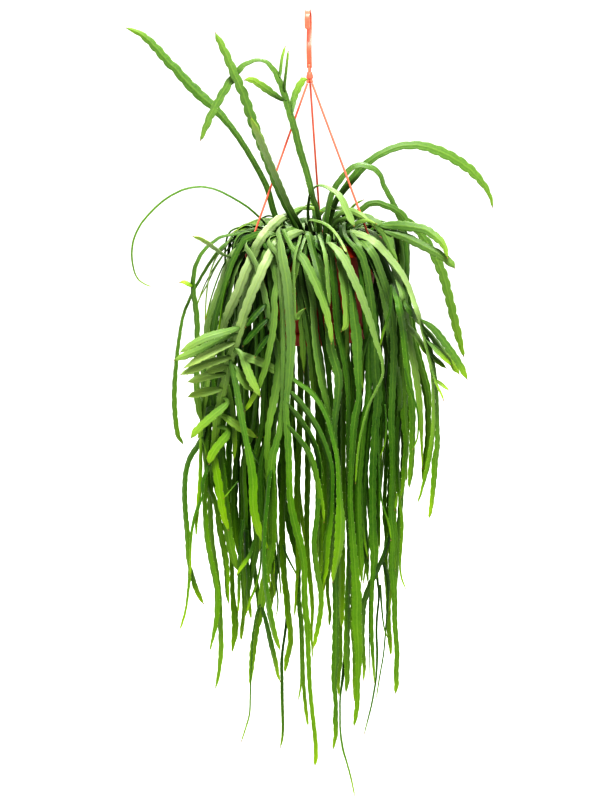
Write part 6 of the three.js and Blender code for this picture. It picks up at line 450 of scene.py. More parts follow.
    ("G2", "trailing_stems_extra_front_left", 0, 1, [[80,-540,-2926,56,28,-36,85,38],[99,-569,-2831,58,28,-40,88,25],[97,-579,-2795,59,28,-43,86,28],[91,-594,-2766,60,28,-47,75,46],[78,-671,-2720,63,28,-51,35,78],[78,-768,-2692,65,28,-57,11,81],[71,-845,-2694,67,28,-66,-3,75],[76,-928,-2695,68,28,-75,-17,64],[105,-1135,-2755,73,28,-81,-28,52],[119,-1243,-2792,75,28,-78,-31,54],[129,-1322,-2829,78,28,-75,-40,53],[134,-1356,-2853,79,28,-74,-51,45],[137,-1376,-2876,80,28,-70,-69,18],[143,-1390,-2946,80,28,-65,-75,5],[149,-1397,-3052,80,28,-63,-77,-1],[161,-1399,-3267,80,28,-63,-78,-4],[171,-1398,-3447,40,20,-63,-77,-4]]),
    ("G3", "trailing_stems_extra_front_left", 0, 1, [[-140,-540,-2926,58,28,85,49,18],[-164,-566,-2838,58,28,80,45,40],[-168,-597,-2783,57,28,81,48,33],[-162,-661,-2727,56,28,83,33,45],[-165,-746,-2691,55,28,82,6,57],[-171,-816,-2680,54,27,81,-1,58],[-172,-898,-2684,54,27,81,-7,58],[-196,-1290,-2719,51,26,84,-12,52],[-201,-1331,-2726,51,25,83,-31,46],[-211,-1363,-2742,50,25,78,-52,35],[-228,-1405,-2792,50,25,70,-67,26],[-244,-1447,-2867,49,24,65,-73,22],[-252,-1471,-2942,48,24,62,-77,12],[-255,-1481,-3025,47,24,61,-79,3],[-256,-1483,-3121,46,23,61,-79,0],[-255,-1481,-3232,45,23,61,-79,-2],[-254,-1477,-3358,44,22,62,-79,-2],[-253,-1472,-3494,43,22,62,-78,-1],[-252,-1470,-3566,42,21,66,-75,-1],[-247,-1466,-3606,42,21,75,-66,11],[-227,-1458,-3573,84,28,48,83,-28],[-207,-1456,-3533,80,28,54,76,-37],[-132,-1460,-3471,42,21,41,70,-59]]),
    ("H1", "stem_front_left_mid_2", 0, 1, [[-600,20,-2926,58,28,17,-95,-25],[-617,-17,-2808,60,28,18,-94,-28],[-640,-45,-2732,62,28,21,-92,-32],[-668,-66,-2697,62,28,26,-89,-37],[-736,-100,-2676,62,28,36,-84,-42],[-864,-150,-2697,62,28,38,-82,-43],[-971,-185,-2717,60,28,32,-83,-45],[-1119,-227,-2731,54,27,31,-85,-43],[-1189,-248,-2753,57,28,43,-82,-37],[-1339,-298,-2857,63,28,52,-81,-26],[-1411,-327,-2939,68,28,58,-79,-17],[-1466,-353,-3035,74,28,61,-78,-8],[-1492,-369,-3103,78,28,63,-77,-2],[-1514,-392,-3211,84,28,65,-76,5],[-1523,-411,-3321,89,28,65,-75,11],[-1517,-427,-3433,96,28,64,-74,17],[-1494,-450,-3618,104,28,65,-75,14],[-1486,-472,-3842,104,28,65,-76,6],[-1498,-491,-4068,104,28,64,-76,3],[-1505,-503,-4257,105,28,64,-76,3],[-1514,-521,-4561,125,28,65,-76,3],[-1511,-530,-4751,134,28,65,-75,6],[-1495,-536,-4903,114,28,66,-74,12],[-1481,-540,-5017,52,26,66,-74,11]]),
    ("H1b", "stem_front_left_mid_2", 1, 1, [[-1523,-411,-3321,94,28,-1,-85,-53],[-1560,-414,-3305,109,28,-19,-91,-36],[-1622,-416,-3269,103,28,-5,-93,-36],[-1653,-419,-3265,85,28,13,-91,-39],[-1684,-424,-3272,47,23,22,-88,-42]]),
    ("H2", "stem_front_left_mid_3", 0, 1, [[-620,120,-2926,56,28,-61,-77,-21],[-656,96,-2827,72,28,-40,-78,-49],[-705,75,-2776,80,28,-5,-81,-58],[-754,60,-2759,80,28,14,-82,-55],[-812,42,-2754,80,28,25,-83,-51],[-945,6,-2777,70,28,36,-82,-44],[-1109,-40,-2855,64,28,46,-81,-36],[-1194,-67,-2925,60,28,54,-79,-27],[-1331,-114,-3098,56,28,58,-79,-22],[-1491,-162,-3348,50,25,58,-79,-22],[-1563,-179,-3479,50,25,59,-78,-20],[-1669,-200,-3718,51,26,62,-77,-14],[-1735,-211,-4015,61,28,64,-76,-11],[-1782,-211,-4319,73,28,65,-75,-9],[-1820,-201,-4666,92,28,67,-74,-8],[-1828,-187,-4939,96,28,68,-73,-1],[-1806,-166,-5253,88,28,71,-69,10],[-1780,-159,-5326,73,28,69,-68,24],[-1740,-149,-5394,40,20,68,-65,33]]),
    ("H3a", "trailing_stems_extra_left", 0, 1, [[-565,143,-2926,44,22,13,-67,-73],[-601,92,-2894,35,17,18,-60,-78],[-636,57,-2873,30,15,11,-67,-73],[-716,4,-2825,25,15,13,-69,-71],[-755,-21,-2812,25,15,25,-63,-73],[-831,-73,-2805,24,15,33,-58,-74],[-868,-88,-2808,24,15,24,-62,-75],[-905,-90,-2815,24,15,16,-63,-76],[-976,-74,-2845,23,15,25,-67,-70],[-1072,-68,-2908,22,15,48,-67,-56],[-1126,-73,-2961,22,15,61,-65,-44],[-1170,-82,-3023,21,15,69,-63,-35],[-1273,-103,-3182,20,15,70,-63,-34],[-1378,-124,-3385,18,15,70,-63,-34],[-1458,-135,-3515,17,15,72,-62,-31],[-1525,-150,-3694,16,15,78,-60,-20]]),
    ("H3b", "trailing_stems_extra_left", 0, 1, [[-520,60,-2926,44,22,-78,-61,-13],[-531,49,-2865,43,21,-67,-62,-41],[-568,16,-2784,40,20,-46,-65,-61],[-617,-25,-2722,38,19,-16,-64,-75],[-644,-36,-2708,37,19,-8,-65,-75],[-705,-52,-2692,36,18,4,-67,-74],[-892,-75,-2693,32,16,7,-69,-72],[-965,-72,-2705,30,15,18,-70,-68],[-996,-68,-2722,29,15,38,-71,-59],[-1066,-69,-2805,27,15,70,-64,-32],[-1113,-90,-2887,25,15,63,-66,-40],[-1169,-101,-2933,25,15,56,-67,-49],[-1218,-111,-2987,24,15,67,-64,-37],[-1255,-120,-3051,23,15,73,-62,-28],[-1299,-132,-3154,22,15,76,-61,-22],[-1333,-141,-3261,21,15,78,-60,-17],[-1356,-146,-3372,20,15,80,-59,-11],[-1382,-150,-3560,18,15,81,-58,-8],[-1403,-150,-3826,16,15,82,-57,-6]]),
    ("H3c", "trailing_stems_extra_left", 0, 1, [[-400,140,-2926,44,22,10,-97,-21],[-401,132,-2891,43,21,11,-92,-38],[-403,111,-2857,41,21,13,-81,-57],[-408,58,-2791,38,19,12,-77,-63],[-402,-42,-2674,33,16,12,-74,-66],[-427,-146,-2566,25,15,15,-69,-71],[-464,-180,-2542,25,15,16,-68,-72],[-569,-218,-2529,23,15,15,-68,-72],[-681,-243,-2531,21,15,15,-67,-72],[-824,-213,-2586,19,15,19,-67,-72],[-1025,-151,-2706,16,15,24,-65,-72]]),
    ("H3d", "trailing_stems_extra_back_left", 0, 1, [[-400,260,-2926,48,24,-72,-69,-1],[-400,260,-2890,52,26,-67,-71,-22],[-462,234,-2751,68,28,-53,-75,-40],[-510,215,-2657,80,28,-32,-84,-44],[-532,208,-2635,80,28,-8,-82,-57],[-564,199,-2627,91,28,13,-77,-63],[-602,190,-2628,95,28,20,-75,-64],[-715,165,-2636,104,28,23,-76,-61],[-788,149,-2648,104,28,34,-75,-56],[-885,124,-2700,104,28,49,-72,-48],[-984,100,-2753,52,26,43,-74,-52]]),
    ("I1", "stem_front_left_long_5", 0, 1, [[-559,-169,-2926,48,24,-95,11,-29],[-563,-214,-2911,52,26,-89,-18,-42],[-574,-325,-2829,58,28,-89,-22,-41],[-589,-445,-2739,63,28,-89,-19,-42],[-591,-535,-2696,67,28,-91,-11,-41],[-590,-614,-2702,71,28,-95,13,-30],[-593,-650,-2716,72,28,-95,26,-18],[-613,-703,-2758,76,28,-86,50,12],[-652,-728,-2797,80,28,-47,72,51],[-729,-708,-2820,95,28,26,60,76],[-790,-673,-2821,104,28,33,54,77],[-825,-650,-2822,104,28,26,56,78],[-902,-605,-2842,104,28,3,64,77],[-971,-574,-2881,108,28,-23,69,69],[-1025,-543,-2937,113,28,-33,61,72],[-1081,-450,-3042,113,28,-48,61,64],[-1119,-387,-3150,113,28,-58,65,50],[-1167,-337,-3291,113,28,-62,67,40],[-1220,-313,-3429,113,28,-64,69,33],[-1334,-300,-3707,106,28,-68,69,25],[-1364,-300,-3815,104,28,-72,68,14],[-1408,-302,-4118,104,28,-74,66,8],[-1444,-305,-4501,96,28,-75,65,5],[-1453,-305,-4733,92,28,-76,65,2],[-1457,-304,-4927,89,28,-76,65,3],[-1462,-295,-5279,82,28,-76,65,0],[-1457,-302,-5512,76,28,-77,64,-7],[-1419,-306,-5901,74,28,-78,61,-14],[-1333,-302,-6203,87,28,-77,62,-15],[-1305,-302,-6478,108,28,-77,62,-11],[-1250,-300,-6831,107,28,-77,63,-9],[-1234,-300,-7070,89,28,-76,65,-1],[-1238,-301,-7310,66,28,-76,65,-1],[-1226,-301,-7470,31,16,-78,63,-7]]),
    ("H4", "stem_front_left_long_5", 1, 1, [[-1028,-512,-2981,54,27,-78,61,-15],[-1068,-537,-2946,59,28,-51,75,-42],[-1139,-559,-2909,67,28,-53,71,-46],[-1315,-606,-2759,86,28,-52,69,-50],[-1413,-620,-2698,74,28,-36,71,-60],[-1486,-630,-2673,43,22,-29,71,-64]]),
    ("I2", "stem_front_left_long_6", 0, 1, [[-421,-389,-2926,48,24,22,-95,-23],[-419,-407,-2852,54,27,22,-92,-33],[-431,-430,-2819,59,28,25,-80,-54],[-463,-487,-2765,69,28,31,-67,-67],[-498,-570,-2712,80,28,35,-57,-74],[-544,-660,-2667,87,28,33,-54,-78],[-575,-698,-2654,87,28,31,-53,-79],[-609,-726,-2648,87,28,27,-56,-78],[-645,-741,-2647,90,28,19,-62,-76],[-682,-742,-2652,96,28,8,-67,-74],[-720,-733,-2662,102,28,1,-67,-74],[-833,-673,-2718,104,28,9,-64,-76],[-869,-651,-2742,104,28,26,-69,-67],[-895,-639,-2778,104,28,45,-74,-50],[-986,-612,-2942,104,28,59,-70,-39],[-1054,-593,-3095,104,28,64,-69,-33],[-1124,-558,-3323,104,28,66,-68,-32],[-1236,-474,-3662,104,28,66,-67,-33],[-1260,-454,-3776,104,28,71,-67,-21],[-1287,-433,-3968,104,28,73,-66,-15],[-1315,-418,-4275,104,28,75,-66,-4],[-1325,-430,-4502,104,28,76,-65,5],[-1312,-438,-4769,104,28,77,-64,5],[-1277,-439,-5152,104,28,77,-64,6],[-1252,-438,-5539,104,28,77,-64,5],[-1228,-438,-5849,115,28,77,-64,6],[-1207,-438,-6200,129,28,76,-64,4],[-1188,-438,-6513,141,28,77,-63,8],[-1166,-438,-6669,146,28,78,-62,13],[-1143,-438,-6785,123,28,78,-61,17],[-1103,-438,-6937,82,28,77,-58,27],[-1072,-436,-7009,43,22,76,-57,33]]),
    ("I3", "trailing_stems_extra_left", 0, 1, [[-300,-480,-2926,48,24,-51,-80,-31],[-320,-506,-2873,54,27,-35,-60,-72],[-397,-606,-2771,66,28,-28,-51,-81],[-458,-693,-2703,74,28,-23,-46,-86],[-511,-731,-2670,80,28,-18,-44,-88],[-541,-736,-2662,80,28,-15,-44,-89],[-575,-730,-2660,95,28,-12,-44,-89],[-609,-712,-2665,104,28,-9,-44,-89],[-644,-685,-2675,104,28,-6,-45,-89],[-744,-588,-2730,104,28,11,-54,-84],[-775,-563,-2754,104,28,28,-64,-72],[-825,-554,-2810,104,28,54,-72,-44],[-907,-544,-2937,104,28,61,-70,-37],[-925,-546,-2970,104,28,69,-68,-23],[-958,-570,-3034,104,28,73,-66,-16],[-988,-576,-3102,104,28,67,-69,-29],[-1027,-565,-3210,104,28,66,-68,-31],[-1105,-508,-3512,104,28,66,-68,-32],[-1166,-465,-3700,104,28,68,-66,-32],[-1188,-422,-3895,104,28,73,-65,-18],[-1198,-400,-4052,104,28,75,-65,-8],[-1191,-396,-4205,98,28,76,-64,10],[-1175,-412,-4356,92,28,75,-63,19],[-1154,-443,-4502,85,28,74,-61,29],[-1099,-507,-4754,78,28,74,-62,26],[-1083,-526,-4864,78,28,75,-63,17],[-1073,-536,-4977,81,28,76,-64,7],[-1068,-536,-5093,87,28,76,-65,0],[-1064,-521,-5251,87,28,75,-65,-10],[-1071,-492,-5413,69,28,73,-66,-19],[-1085,-466,-5535,35,17,71,-66,-24]]),
    ("K3", "stem_back_left_long_1", 0, 1, [[-200,20,-2926,42,21,83,43,-34],[-201,41,-2901,43,21,82,50,-26],[-249,152,-2771,47,24,82,55,-19],[-281,225,-2727,50,25,83,52,-23],[-311,276,-2711,52,26,81,54,-21],[-361,357,-2699,55,28,82,53,-21],[-434,467,-2706,59,28,82,53,-21],[-488,545,-2730,62,28,84,51,-21],[-558,638,-2777,66,28,85,51,-18],[-581,678,-2818,67,28,94,33,-3],[-597,711,-2874,68,28,87,42,-27],[-673,754,-2967,89,28,78,46,-43],[-789,813,-3138,97,28,82,46,-34],[-848,846,-3251,104,28,84,47,-27],[-916,891,-3411,104,28,86,48,-19],[-1006,974,-3710,104,28,87,49,-6],[-1035,1022,-3880,104,28,87,50,2],[-1056,1064,-4041,104,28,86,52,0],[-1077,1092,-4196,104,28,85,53,-5],[-1091,1101,-4309,104,28,84,53,-8],[-1108,1098,-4460,104,28,84,53,-12],[-1136,1074,-4725,104,28,83,53,-14],[-1154,1051,-4958,104,28,84,54,-10],[-1167,1028,-5196,104,28,83,54,-10],[-1184,991,-5512,99,28,83,54,-12],[-1201,947,-5828,90,28,83,54,-12],[-1208,905,-6105,89,28,83,54,-10],[-1212,859,-6380,89,28,83,55,-10],[-1209,804,-6695,81,28,83,55,-9],[-1207,748,-7010,72,28,83,55,-9],[-1205,691,-7324,67,28,83,55,-9],[-1203,634,-7639,72,28,83,55,-9],[-1185,593,-7874,100,28,83,56,-4],[-1181,564,-8032,99,28,83,54,-11],[-1190,543,-8149,89,28,83,51,-24],[-1235,500,-8381,30,15,83,50,-24]]),
    ("f1", "trailing_stems_extra_back_left", 1, 1, [[-1199,959,-5749,35,17,78,60,16],[-1145,898,-5772,35,17,74,63,21],[-1124,883,-5797,35,17,72,65,24],[-1108,878,-5830,35,18,71,66,25],[-1079,880,-5948,37,18,75,66,11],[-1069,873,-6027,38,19,77,63,-5],[-1066,842,-6183,40,20,78,61,-14],[-1076,777,-6533,40,20,78,61,-12],[-1085,742,-6810,40,20,78,62,-9],[-1091,726,-7052,40,20,78,63,-2],[-1081,720,-7420,41,21,77,64,2],[-1070,720,-7791,43,21,78,62,0],[-1081,720,-7998,58,28,79,61,-10],[-1100,720,-8121,63,28,79,60,-11],[-1119,720,-8287,35,17,79,60,-9]]),
    ("l1", "trailing_stems_extra_left", 0, 1, [[-860,-700,-6536,48,24,53,-85,6],[-888,-724,-6645,74,28,51,-86,3],[-933,-748,-6747,83,28,46,-89,-6],[-977,-762,-6808,95,28,42,-90,-12],[-1026,-777,-6865,80,28,42,-90,-12],[-1086,-800,-6959,39,19,48,-88,-4]]),
    ("p1", "trailing_stems_extra_left", 0, 1, [[-770,-600,-6434,24,15,81,-59,-2],[-782,-600,-6788,27,15,80,-60,-4],[-799,-600,-6945,29,15,77,-62,-14],[-873,-600,-7211,38,19,71,-66,-26],[-938,-600,-7355,34,17,70,-66,-28],[-982,-600,-7507,24,15,76,-62,-17]]),
    ("o1", "trailing_stems_extra_left", 0, 1, [[-966,-400,-6481,94,28,69,-72,-2],[-969,-400,-6717,85,28,69,-72,0],[-968,-400,-6913,77,28,70,-71,1],[-957,-400,-7149,71,28,69,-72,-1],[-967,-400,-7346,66,28,70,-72,1],[-949,-400,-7543,56,28,71,-70,6],[-940,-400,-7661,28,15,71,-71,5]]),
    ("n1", "trailing_stems_extra_left", 0, 1, [[-997,-500,-6323,63,28,79,-61,-12],[-1032,-500,-6594,55,28,80,-60,-9],[-1056,-500,-6827,48,24,81,-59,-7],[-1071,-500,-7062,48,24,81,-58,-4],[-1080,-500,-7298,48,24,81,-58,-4],[-1100,-500,-7534,24,15,80,-60,-8]]),
    ("P2", "stem_front_left_long_1", 1, 1, [[-1248,-603,-4854,62,28,-2,-6,-100],[-1336,-538,-4858,62,28,2,-13,-99],[-1367,-507,-4865,62,28,12,-25,-96],[-1388,-480,-4879,62,28,30,-47,-83],[-1402,-459,-4904,62,28,46,-67,-58],[-1411,-443,-4941,62,28,53,-76,-38],[-1446,-393,-5126,66,28,53,-77,-36],[-1481,-353,-5247,81,28,45,-78,-44],[-1554,-290,-5400,103,28,33,-77,-54],[-1625,-243,-5507,104,28,34,-77,-54],[-1664,-213,-5581,104,28,42,-78,-46],[-1704,-174,-5702,104,28,52,-77,-36],[-1729,-140,-5826,104,28,58,-76,-29],[-1750,-85,-6077,104,28,64,-75,-17],[-1750,-48,-6325,104,28,66,-75,-6],[-1736,-25,-6650,104,28,66,-75,-1],[-1735,-21,-6933,95,28,66,-75,1],[-1723,-20,-7093,73,28,64,-77,-1],[-1761,-20,-7414,47,24,62,-78,-8],[-1794,-20,-7615,42,21,59,-80,-12],[-1838,-20,-7771,42,21,55,-81,-19],[-1880,-20,-7886,27,15,53,-82,-21]]),
    ("P2b", "stem_front_left_long_1", 1, 1, [[-1724,-20,-7053,80,28,14,78,61],[-1708,7,-7109,95,28,31,90,30],[-1669,48,-7317,108,28,39,89,23],[-1617,70,-7470,93,28,34,90,27],[-1567,83,-7580,46,23,33,91,26]]),
    ("P2c", "trailing_stems_extra_left", 0, 1, [[-1397,-600,-5560,55,28,70,-64,-34],[-1489,-582,-5820,55,28,77,-61,-17],[-1495,-571,-5976,32,16,76,-62,-18],[-1586,-555,-6195,48,24,72,-63,-30],[-1647,-540,-6427,41,21,78,-59,-19],[-1679,-521,-6705,36,18,82,-57,-10],[-1695,-500,-7027,21,15,83,-56,-7]]),
    ("N1", "stem_back_left_long_2", 0, 1, [[-300,60,-2926,48,24,93,-28,24],[-279,118,-2858,51,26,88,-48,1],[-256,161,-2814,53,26,89,-46,2],[-239,210,-2770,54,27,95,-21,21],[-246,292,-2729,57,28,95,-10,30],[-248,387,-2694,59,28,95,-6,31],[-256,490,-2669,62,28,94,4,33],[-273,596,-2656,64,28,91,26,33],[-337,760,-2700,68,28,83,45,33],[-351,818,-2735,70,28,84,41,35],[-361,869,-2780,72,28,83,48,29],[-371,912,-2830,73,28,81,53,26],[-382,962,-2913,76,28,77,60,21],[-390,999,-3006,78,28,75,64,15],[-396,1024,-3103,80,28,73,67,9],[-401,1051,-3423,95,28,72,69,2],[-408,1062,-3742,103,28,72,69,0],[-417,1068,-4062,104,28,73,69,-2],[-431,1061,-4461,104,28,73,69,-6],[-441,1048,-4700,104,28,72,69,-8],[-449,1029,-4938,104,28,72,69,-8],[-457,1003,-5215,104,28,72,68,-10],[-467,967,-5491,104,28,72,68,-13],[-479,917,-5804,104,28,72,68,-13],[-485,855,-6156,104,28,72,68,-15],[-503,816,-6390,104,28,72,67,-16],[-518,785,-6586,104,28,72,67,-15],[-524,762,-6744,104,28,72,69,-10],[-520,713,-7100,104,28,72,69,-7],[-512,668,-7458,104,28,71,70,-5],[-486,642,-7696,113,28,71,71,-3],[-478,622,-7897,112,28,71,71,-1],[-456,604,-8097,98,28,71,70,-1],[-452,589,-8258,95,28,73,68,-9],[-461,582,-8338,95,28,72,66,-21],[-503,568,-8495,92,28,73,64,-23],[-542,550,-8693,43,22,73,65,-18]]),
    ("N1b", "stem_back_left_long_2", 1, 1, [[-485,638,-7736,48,24,81,59,1],[-500,672,-7993,45,22,81,58,-1],[-530,697,-8207,40,20,82,57,-6],[-565,719,-8419,40,20,81,58,-6],[-587,736,-8632,50,25,80,60,-1],[-589,746,-8845,48,24,79,61,2],[-594,752,-9057,48,24,79,61,-1],[-595,754,-9268,45,22,79,62,1],[-596,755,-9522,40,20,80,60,-3],[-610,755,-9690,33,16,81,57,-12],[-637,755,-9815,17,15,82,54,-20]]),
    ("N2", "stem_back_middle_long_1", 0, 1, [[-151,200,-2926,48,24,95,-18,24],[-145,361,-2802,54,27,95,-19,23],[-141,499,-2730,59,28,96,-11,26],[-143,581,-2715,61,28,95,4,29],[-152,687,-2723,65,28,94,16,29],[-168,762,-2749,68,28,91,35,23],[-187,831,-2786,71,28,87,43,23],[-209,921,-2914,75,28,79,58,21],[-219,964,-3005,78,28,76,63,18],[-226,997,-3104,80,28,74,66,14],[-228,1013,-3185,104,28,74,67,11],[-230,1042,-3386,104,28,73,68,7],[-231,1064,-3746,104,28,73,69,1],[-225,1059,-4103,104,28,72,69,-2],[-221,1029,-4458,104,28,73,68,-8],[-221,1000,-4692,104,28,73,68,-10],[-227,966,-4926,104,28,73,67,-14],[-246,912,-5277,104,28,73,67,-15],[-271,850,-5666,104,28,73,67,-16],[-295,795,-6017,104,28,73,67,-15],[-316,740,-6369,104,28,72,68,-13],[-315,678,-6760,104,28,72,68,-10],[-313,623,-7113,95,28,73,68,-13],[-343,561,-7504,70,28,73,66,-18],[-392,500,-7893,28,15,73,67,-17]]),
    ("N2b", "stem_back_middle_long_1", 1, 1, [[-315,611,-7191,48,24,-75,-53,-40],[-313,608,-7268,43,22,-80,-59,10],[-321,556,-7590,35,17,-80,-60,11],[-330,530,-7829,32,16,-79,-60,6],[-323,512,-8071,32,16,-79,-61,3],[-322,499,-8397,35,17,-79,-61,1],[-323,493,-8685,37,18,-80,-60,4],[-339,491,-8891,29,15,-81,-57,12],[-372,491,-9054,17,15,-82,-54,18]]),
    ("N3", "trailing_stems_extra_back_right", 0, 1, [[4,156,-2926,48,24,96,-28,2],[0,167,-2867,50,25,95,-23,20],[-10,207,-2791,53,26,94,-17,30],[-19,247,-2752,55,27,92,-8,38],[-30,302,-2724,56,28,90,0,43],[-43,370,-2703,58,28,89,6,46],[-63,487,-2684,61,28,88,8,47],[-79,655,-2669,64,28,89,-2,46],[-76,780,-2657,67,28,90,1,43],[-85,899,-2679,69,28,90,28,33],[-90,933,-2705,70,28,87,44,21],[-108,980,-2781,72,28,81,57,10],[-131,1024,-2867,74,28,78,62,9],[-139,1041,-2930,76,28,76,65,4],[-142,1046,-2999,78,28,74,67,-6],[-159,1042,-3112,80,28,74,67,-5],[-163,1058,-3272,90,28,78,61,18],[-163,1079,-3315,90,28,78,52,35],[-163,1119,-3360,91,28,78,51,36],[-163,1140,-3403,92,28,78,61,18],[-162,1162,-3645,96,28,73,68,9],[-162,1207,-3931,102,28,73,68,11],[-159,1246,-4218,104,28,72,69,7],[-152,1254,-4542,104,28,72,69,1],[-145,1249,-4824,104,28,72,69,1],[-140,1244,-5066,104,28,73,69,-1],[-141,1235,-5267,104,28,73,68,-7],[-152,1180,-5663,104,28,73,67,-14],[-160,1131,-5938,104,28,73,67,-14],[-168,1082,-6213,104,28,73,67,-15],[-189,1018,-6566,96,28,73,67,-16],[-201,944,-6958,87,28,73,67,-14],[-196,893,-7233,79,28,72,69,-9],[-171,834,-7546,76,28,72,68,-10],[-154,782,-7820,67,28,72,68,-10],[-156,753,-7977,53,27,73,66,-17],[-173,716,-8173,42,21,73,67,-14],[-171,650,-8527,22,15,73,67,-13]]),
    ("P1", "stem_back_middle_long_2", 0, 1, [[258,68,-2926,58,28,95,24,-18],[258,89,-2898,59,28,95,28,-15],[240,182,-2812,63,28,95,29,-14],[215,318,-2733,67,28,96,23,-17],[201,410,-2704,70,28,97,17,-19],[190,475,-2693,72,28,96,21,-18],[174,574,-2689,75,28,98,12,-18],[166,673,-2698,77,28,99,-7,-16],[182,765,-2728,80,28,95,-30,-10],[225,872,-2785,84,28,86,-51,-6],[262,934,-2854,86,28,79,-61,-10],[283,968,-2906,88,28,74,-67,-11],[299,995,-2965,90,28,69,-71,-11],[317,1023,-3063,93,28,64,-76,-8],[332,1046,-3205,96,28,61,-79,-5],[331,1059,-3523,104,28,60,-80,-2],[331,1065,-3841,104,28,60,-80,-1],[331,1068,-4040,104,28,60,-80,0],[331,1066,-4279,104,28,60,-80,2],[331,1042,-4635,104,28,60,-80,8],[328,1003,-4948,104,28,60,-79,10],[320,958,-5261,104,28,60,-79,10],[309,898,-5651,104,28,60,-79,11],[300,842,-6003,104,28,60,-79,11],[289,778,-6393,104,28,60,-79,11],[276,740,-6628,110,28,60,-80,8],[265,711,-6824,115,28,60,-80,9],[258,673,-7099,120,28,60,-80,9],[250,637,-7376,124,28,60,-80,8],[238,603,-7654,117,28,60,-80,7],[231,569,-7932,94,28,60,-80,8],[225,550,-8091,42,21,60,-80,7]]),
    ("Q1", "stem_front_right_long_1", 0, 1, [[439,-327,-2926,43,21,83,35,44],[439,-386,-2879,52,26,81,46,36],[491,-507,-2793,70,28,81,50,31],[516,-571,-2765,70,28,82,47,31],[588,-701,-2772,97,28,87,38,31],[615,-759,-2786,104,28,91,29,30],[633,-807,-2806,107,28,91,26,31],[654,-843,-2829,107,28,87,35,36],[677,-867,-2855,107,28,83,41,38],[697,-878,-2885,107,28,80,46,39],[736,-872,-2952,107,28,70,54,46],[815,-785,-3185,107,28,76,51,40],[873,-732,-3380,107,28,80,47,36],[899,-688,-3501,107,28,80,50,34],[916,-649,-3614,107,28,82,51,24],[935,-632,-3757,107,28,85,52,10],[953,-642,-4003,107,28,85,53,2],[954,-648,-4148,107,28,85,52,-6],[929,-669,-4559,103,28,85,52,-8],[907,-686,-4936,99,28,85,52,-6],[899,-687,-5127,98,28,85,53,1],[904,-684,-5281,88,28,85,53,4],[903,-676,-5513,78,28,85,53,0],[898,-667,-5747,69,28,86,52,-2],[873,-651,-6138,68,28,85,53,0],[875,-643,-6334,84,28,84,54,8],[895,-635,-6530,83,28,84,54,3],[872,-618,-6925,78,28,85,53,4],[887,-608,-7165,90,28,84,54,7],[898,-597,-7365,85,28,84,53,5],[896,-576,-7689,79,28,85,53,5],[908,-557,-7933,73,28,84,54,8],[917,-542,-8138,76,28,85,53,4],[903,-522,-8384,76,28,86,52,0],[904,-510,-8549,69,28,86,50,2],[890,-500,-8672,46,23,87,48,-10]]),
    ("L15", "stem_front_right_long_1", 1, 1, [[890,-638,-6452,56,28,74,59,-31],[856,-625,-6519,60,28,77,62,-18],[817,-605,-6676,74,28,76,64,-13],[766,-586,-6828,74,28,75,63,-20],[685,-562,-7010,85,28,73,62,-28],[600,-542,-7190,95,28,73,63,-26],[507,-525,-7452,110,28,73,67,-14],[487,-521,-7608,111,28,72,70,-4],[470,-518,-7925,111,28,69,72,0],[496,-518,-8282,60,28,69,72,3],[482,-518,-8480,28,15,72,68,-9]]),
    ("Q2", "stem_front_right_long_2", 0, 1, [[472,-241,-2926,38,19,-77,63,3],[445,-275,-2865,39,20,-75,66,4],[430,-295,-2832,40,20,-77,62,11],[427,-329,-2717,42,21,-79,62,4],[402,-352,-2652,44,22,-80,59,-10],[386,-372,-2628,45,22,-88,47,-4],[375,-400,-2612,46,23,-97,25,6],[371,-434,-2606,46,23,-99,3,13],[375,-505,-2620,48,24,-98,-11,18],[374,-603,-2657,50,25,-98,-4,19],[378,-697,-2681,52,26,-100,-9,3],[390,-785,-2706,55,27,-97,-15,-17],[411,-858,-2732,57,28,-92,-21,-32],[443,-927,-2764,60,28,-85,-26,-45],[472,-957,-2790,62,28,-71,-39,-59],[519,-970,-2838,86,28,-72,-41,-56],[560,-975,-2897,94,28,-82,-40,-42],[589,-975,-2964,94,28,-87,-38,-31],[626,-966,-3112,95,28,-91,-35,-20],[677,-938,-3489,101,28,-94,-33,-11],[690,-926,-3678,104,28,-94,-33,-8],[704,-916,-3904,108,28,-95,-32,-5],[707,-904,-4132,111,28,-95,-31,-2],[710,-888,-4361,114,28,-94,-32,-8],[729,-872,-4553,121,28,-94,-32,-10],[737,-862,-4706,116,28,-95,-31,-2],[725,-857,-4858,110,28,-95,-30,12],[694,-857,-5124,101,28,-95,-29,10],[672,-858,-5390,95,28,-95,-30,7],[654,-854,-5659,94,28,-95,-30,5],[645,-847,-5892,94,28,-95,-31,1],[640,-833,-6205,96,28,-95,-31,-1],[639,-815,-6521,107,28,-95,-32,-3],[651,-803,-6758,108,28,-95,-31,1],[629,-797,-6954,67,28,-95,-29,8],[613,-792,-7191,54,27,-95,-30,5],[601,-786,-7429,51,26,-95,-31,2],[596,-775,-7669,51,26,-95,-31,-1],[598,-756,-7953,50,25,-94,-33,-5],[610,-735,-8199,36,18,-94,-33,-7],[619,-713,-8446,18,15,-94,-32,-5]]),
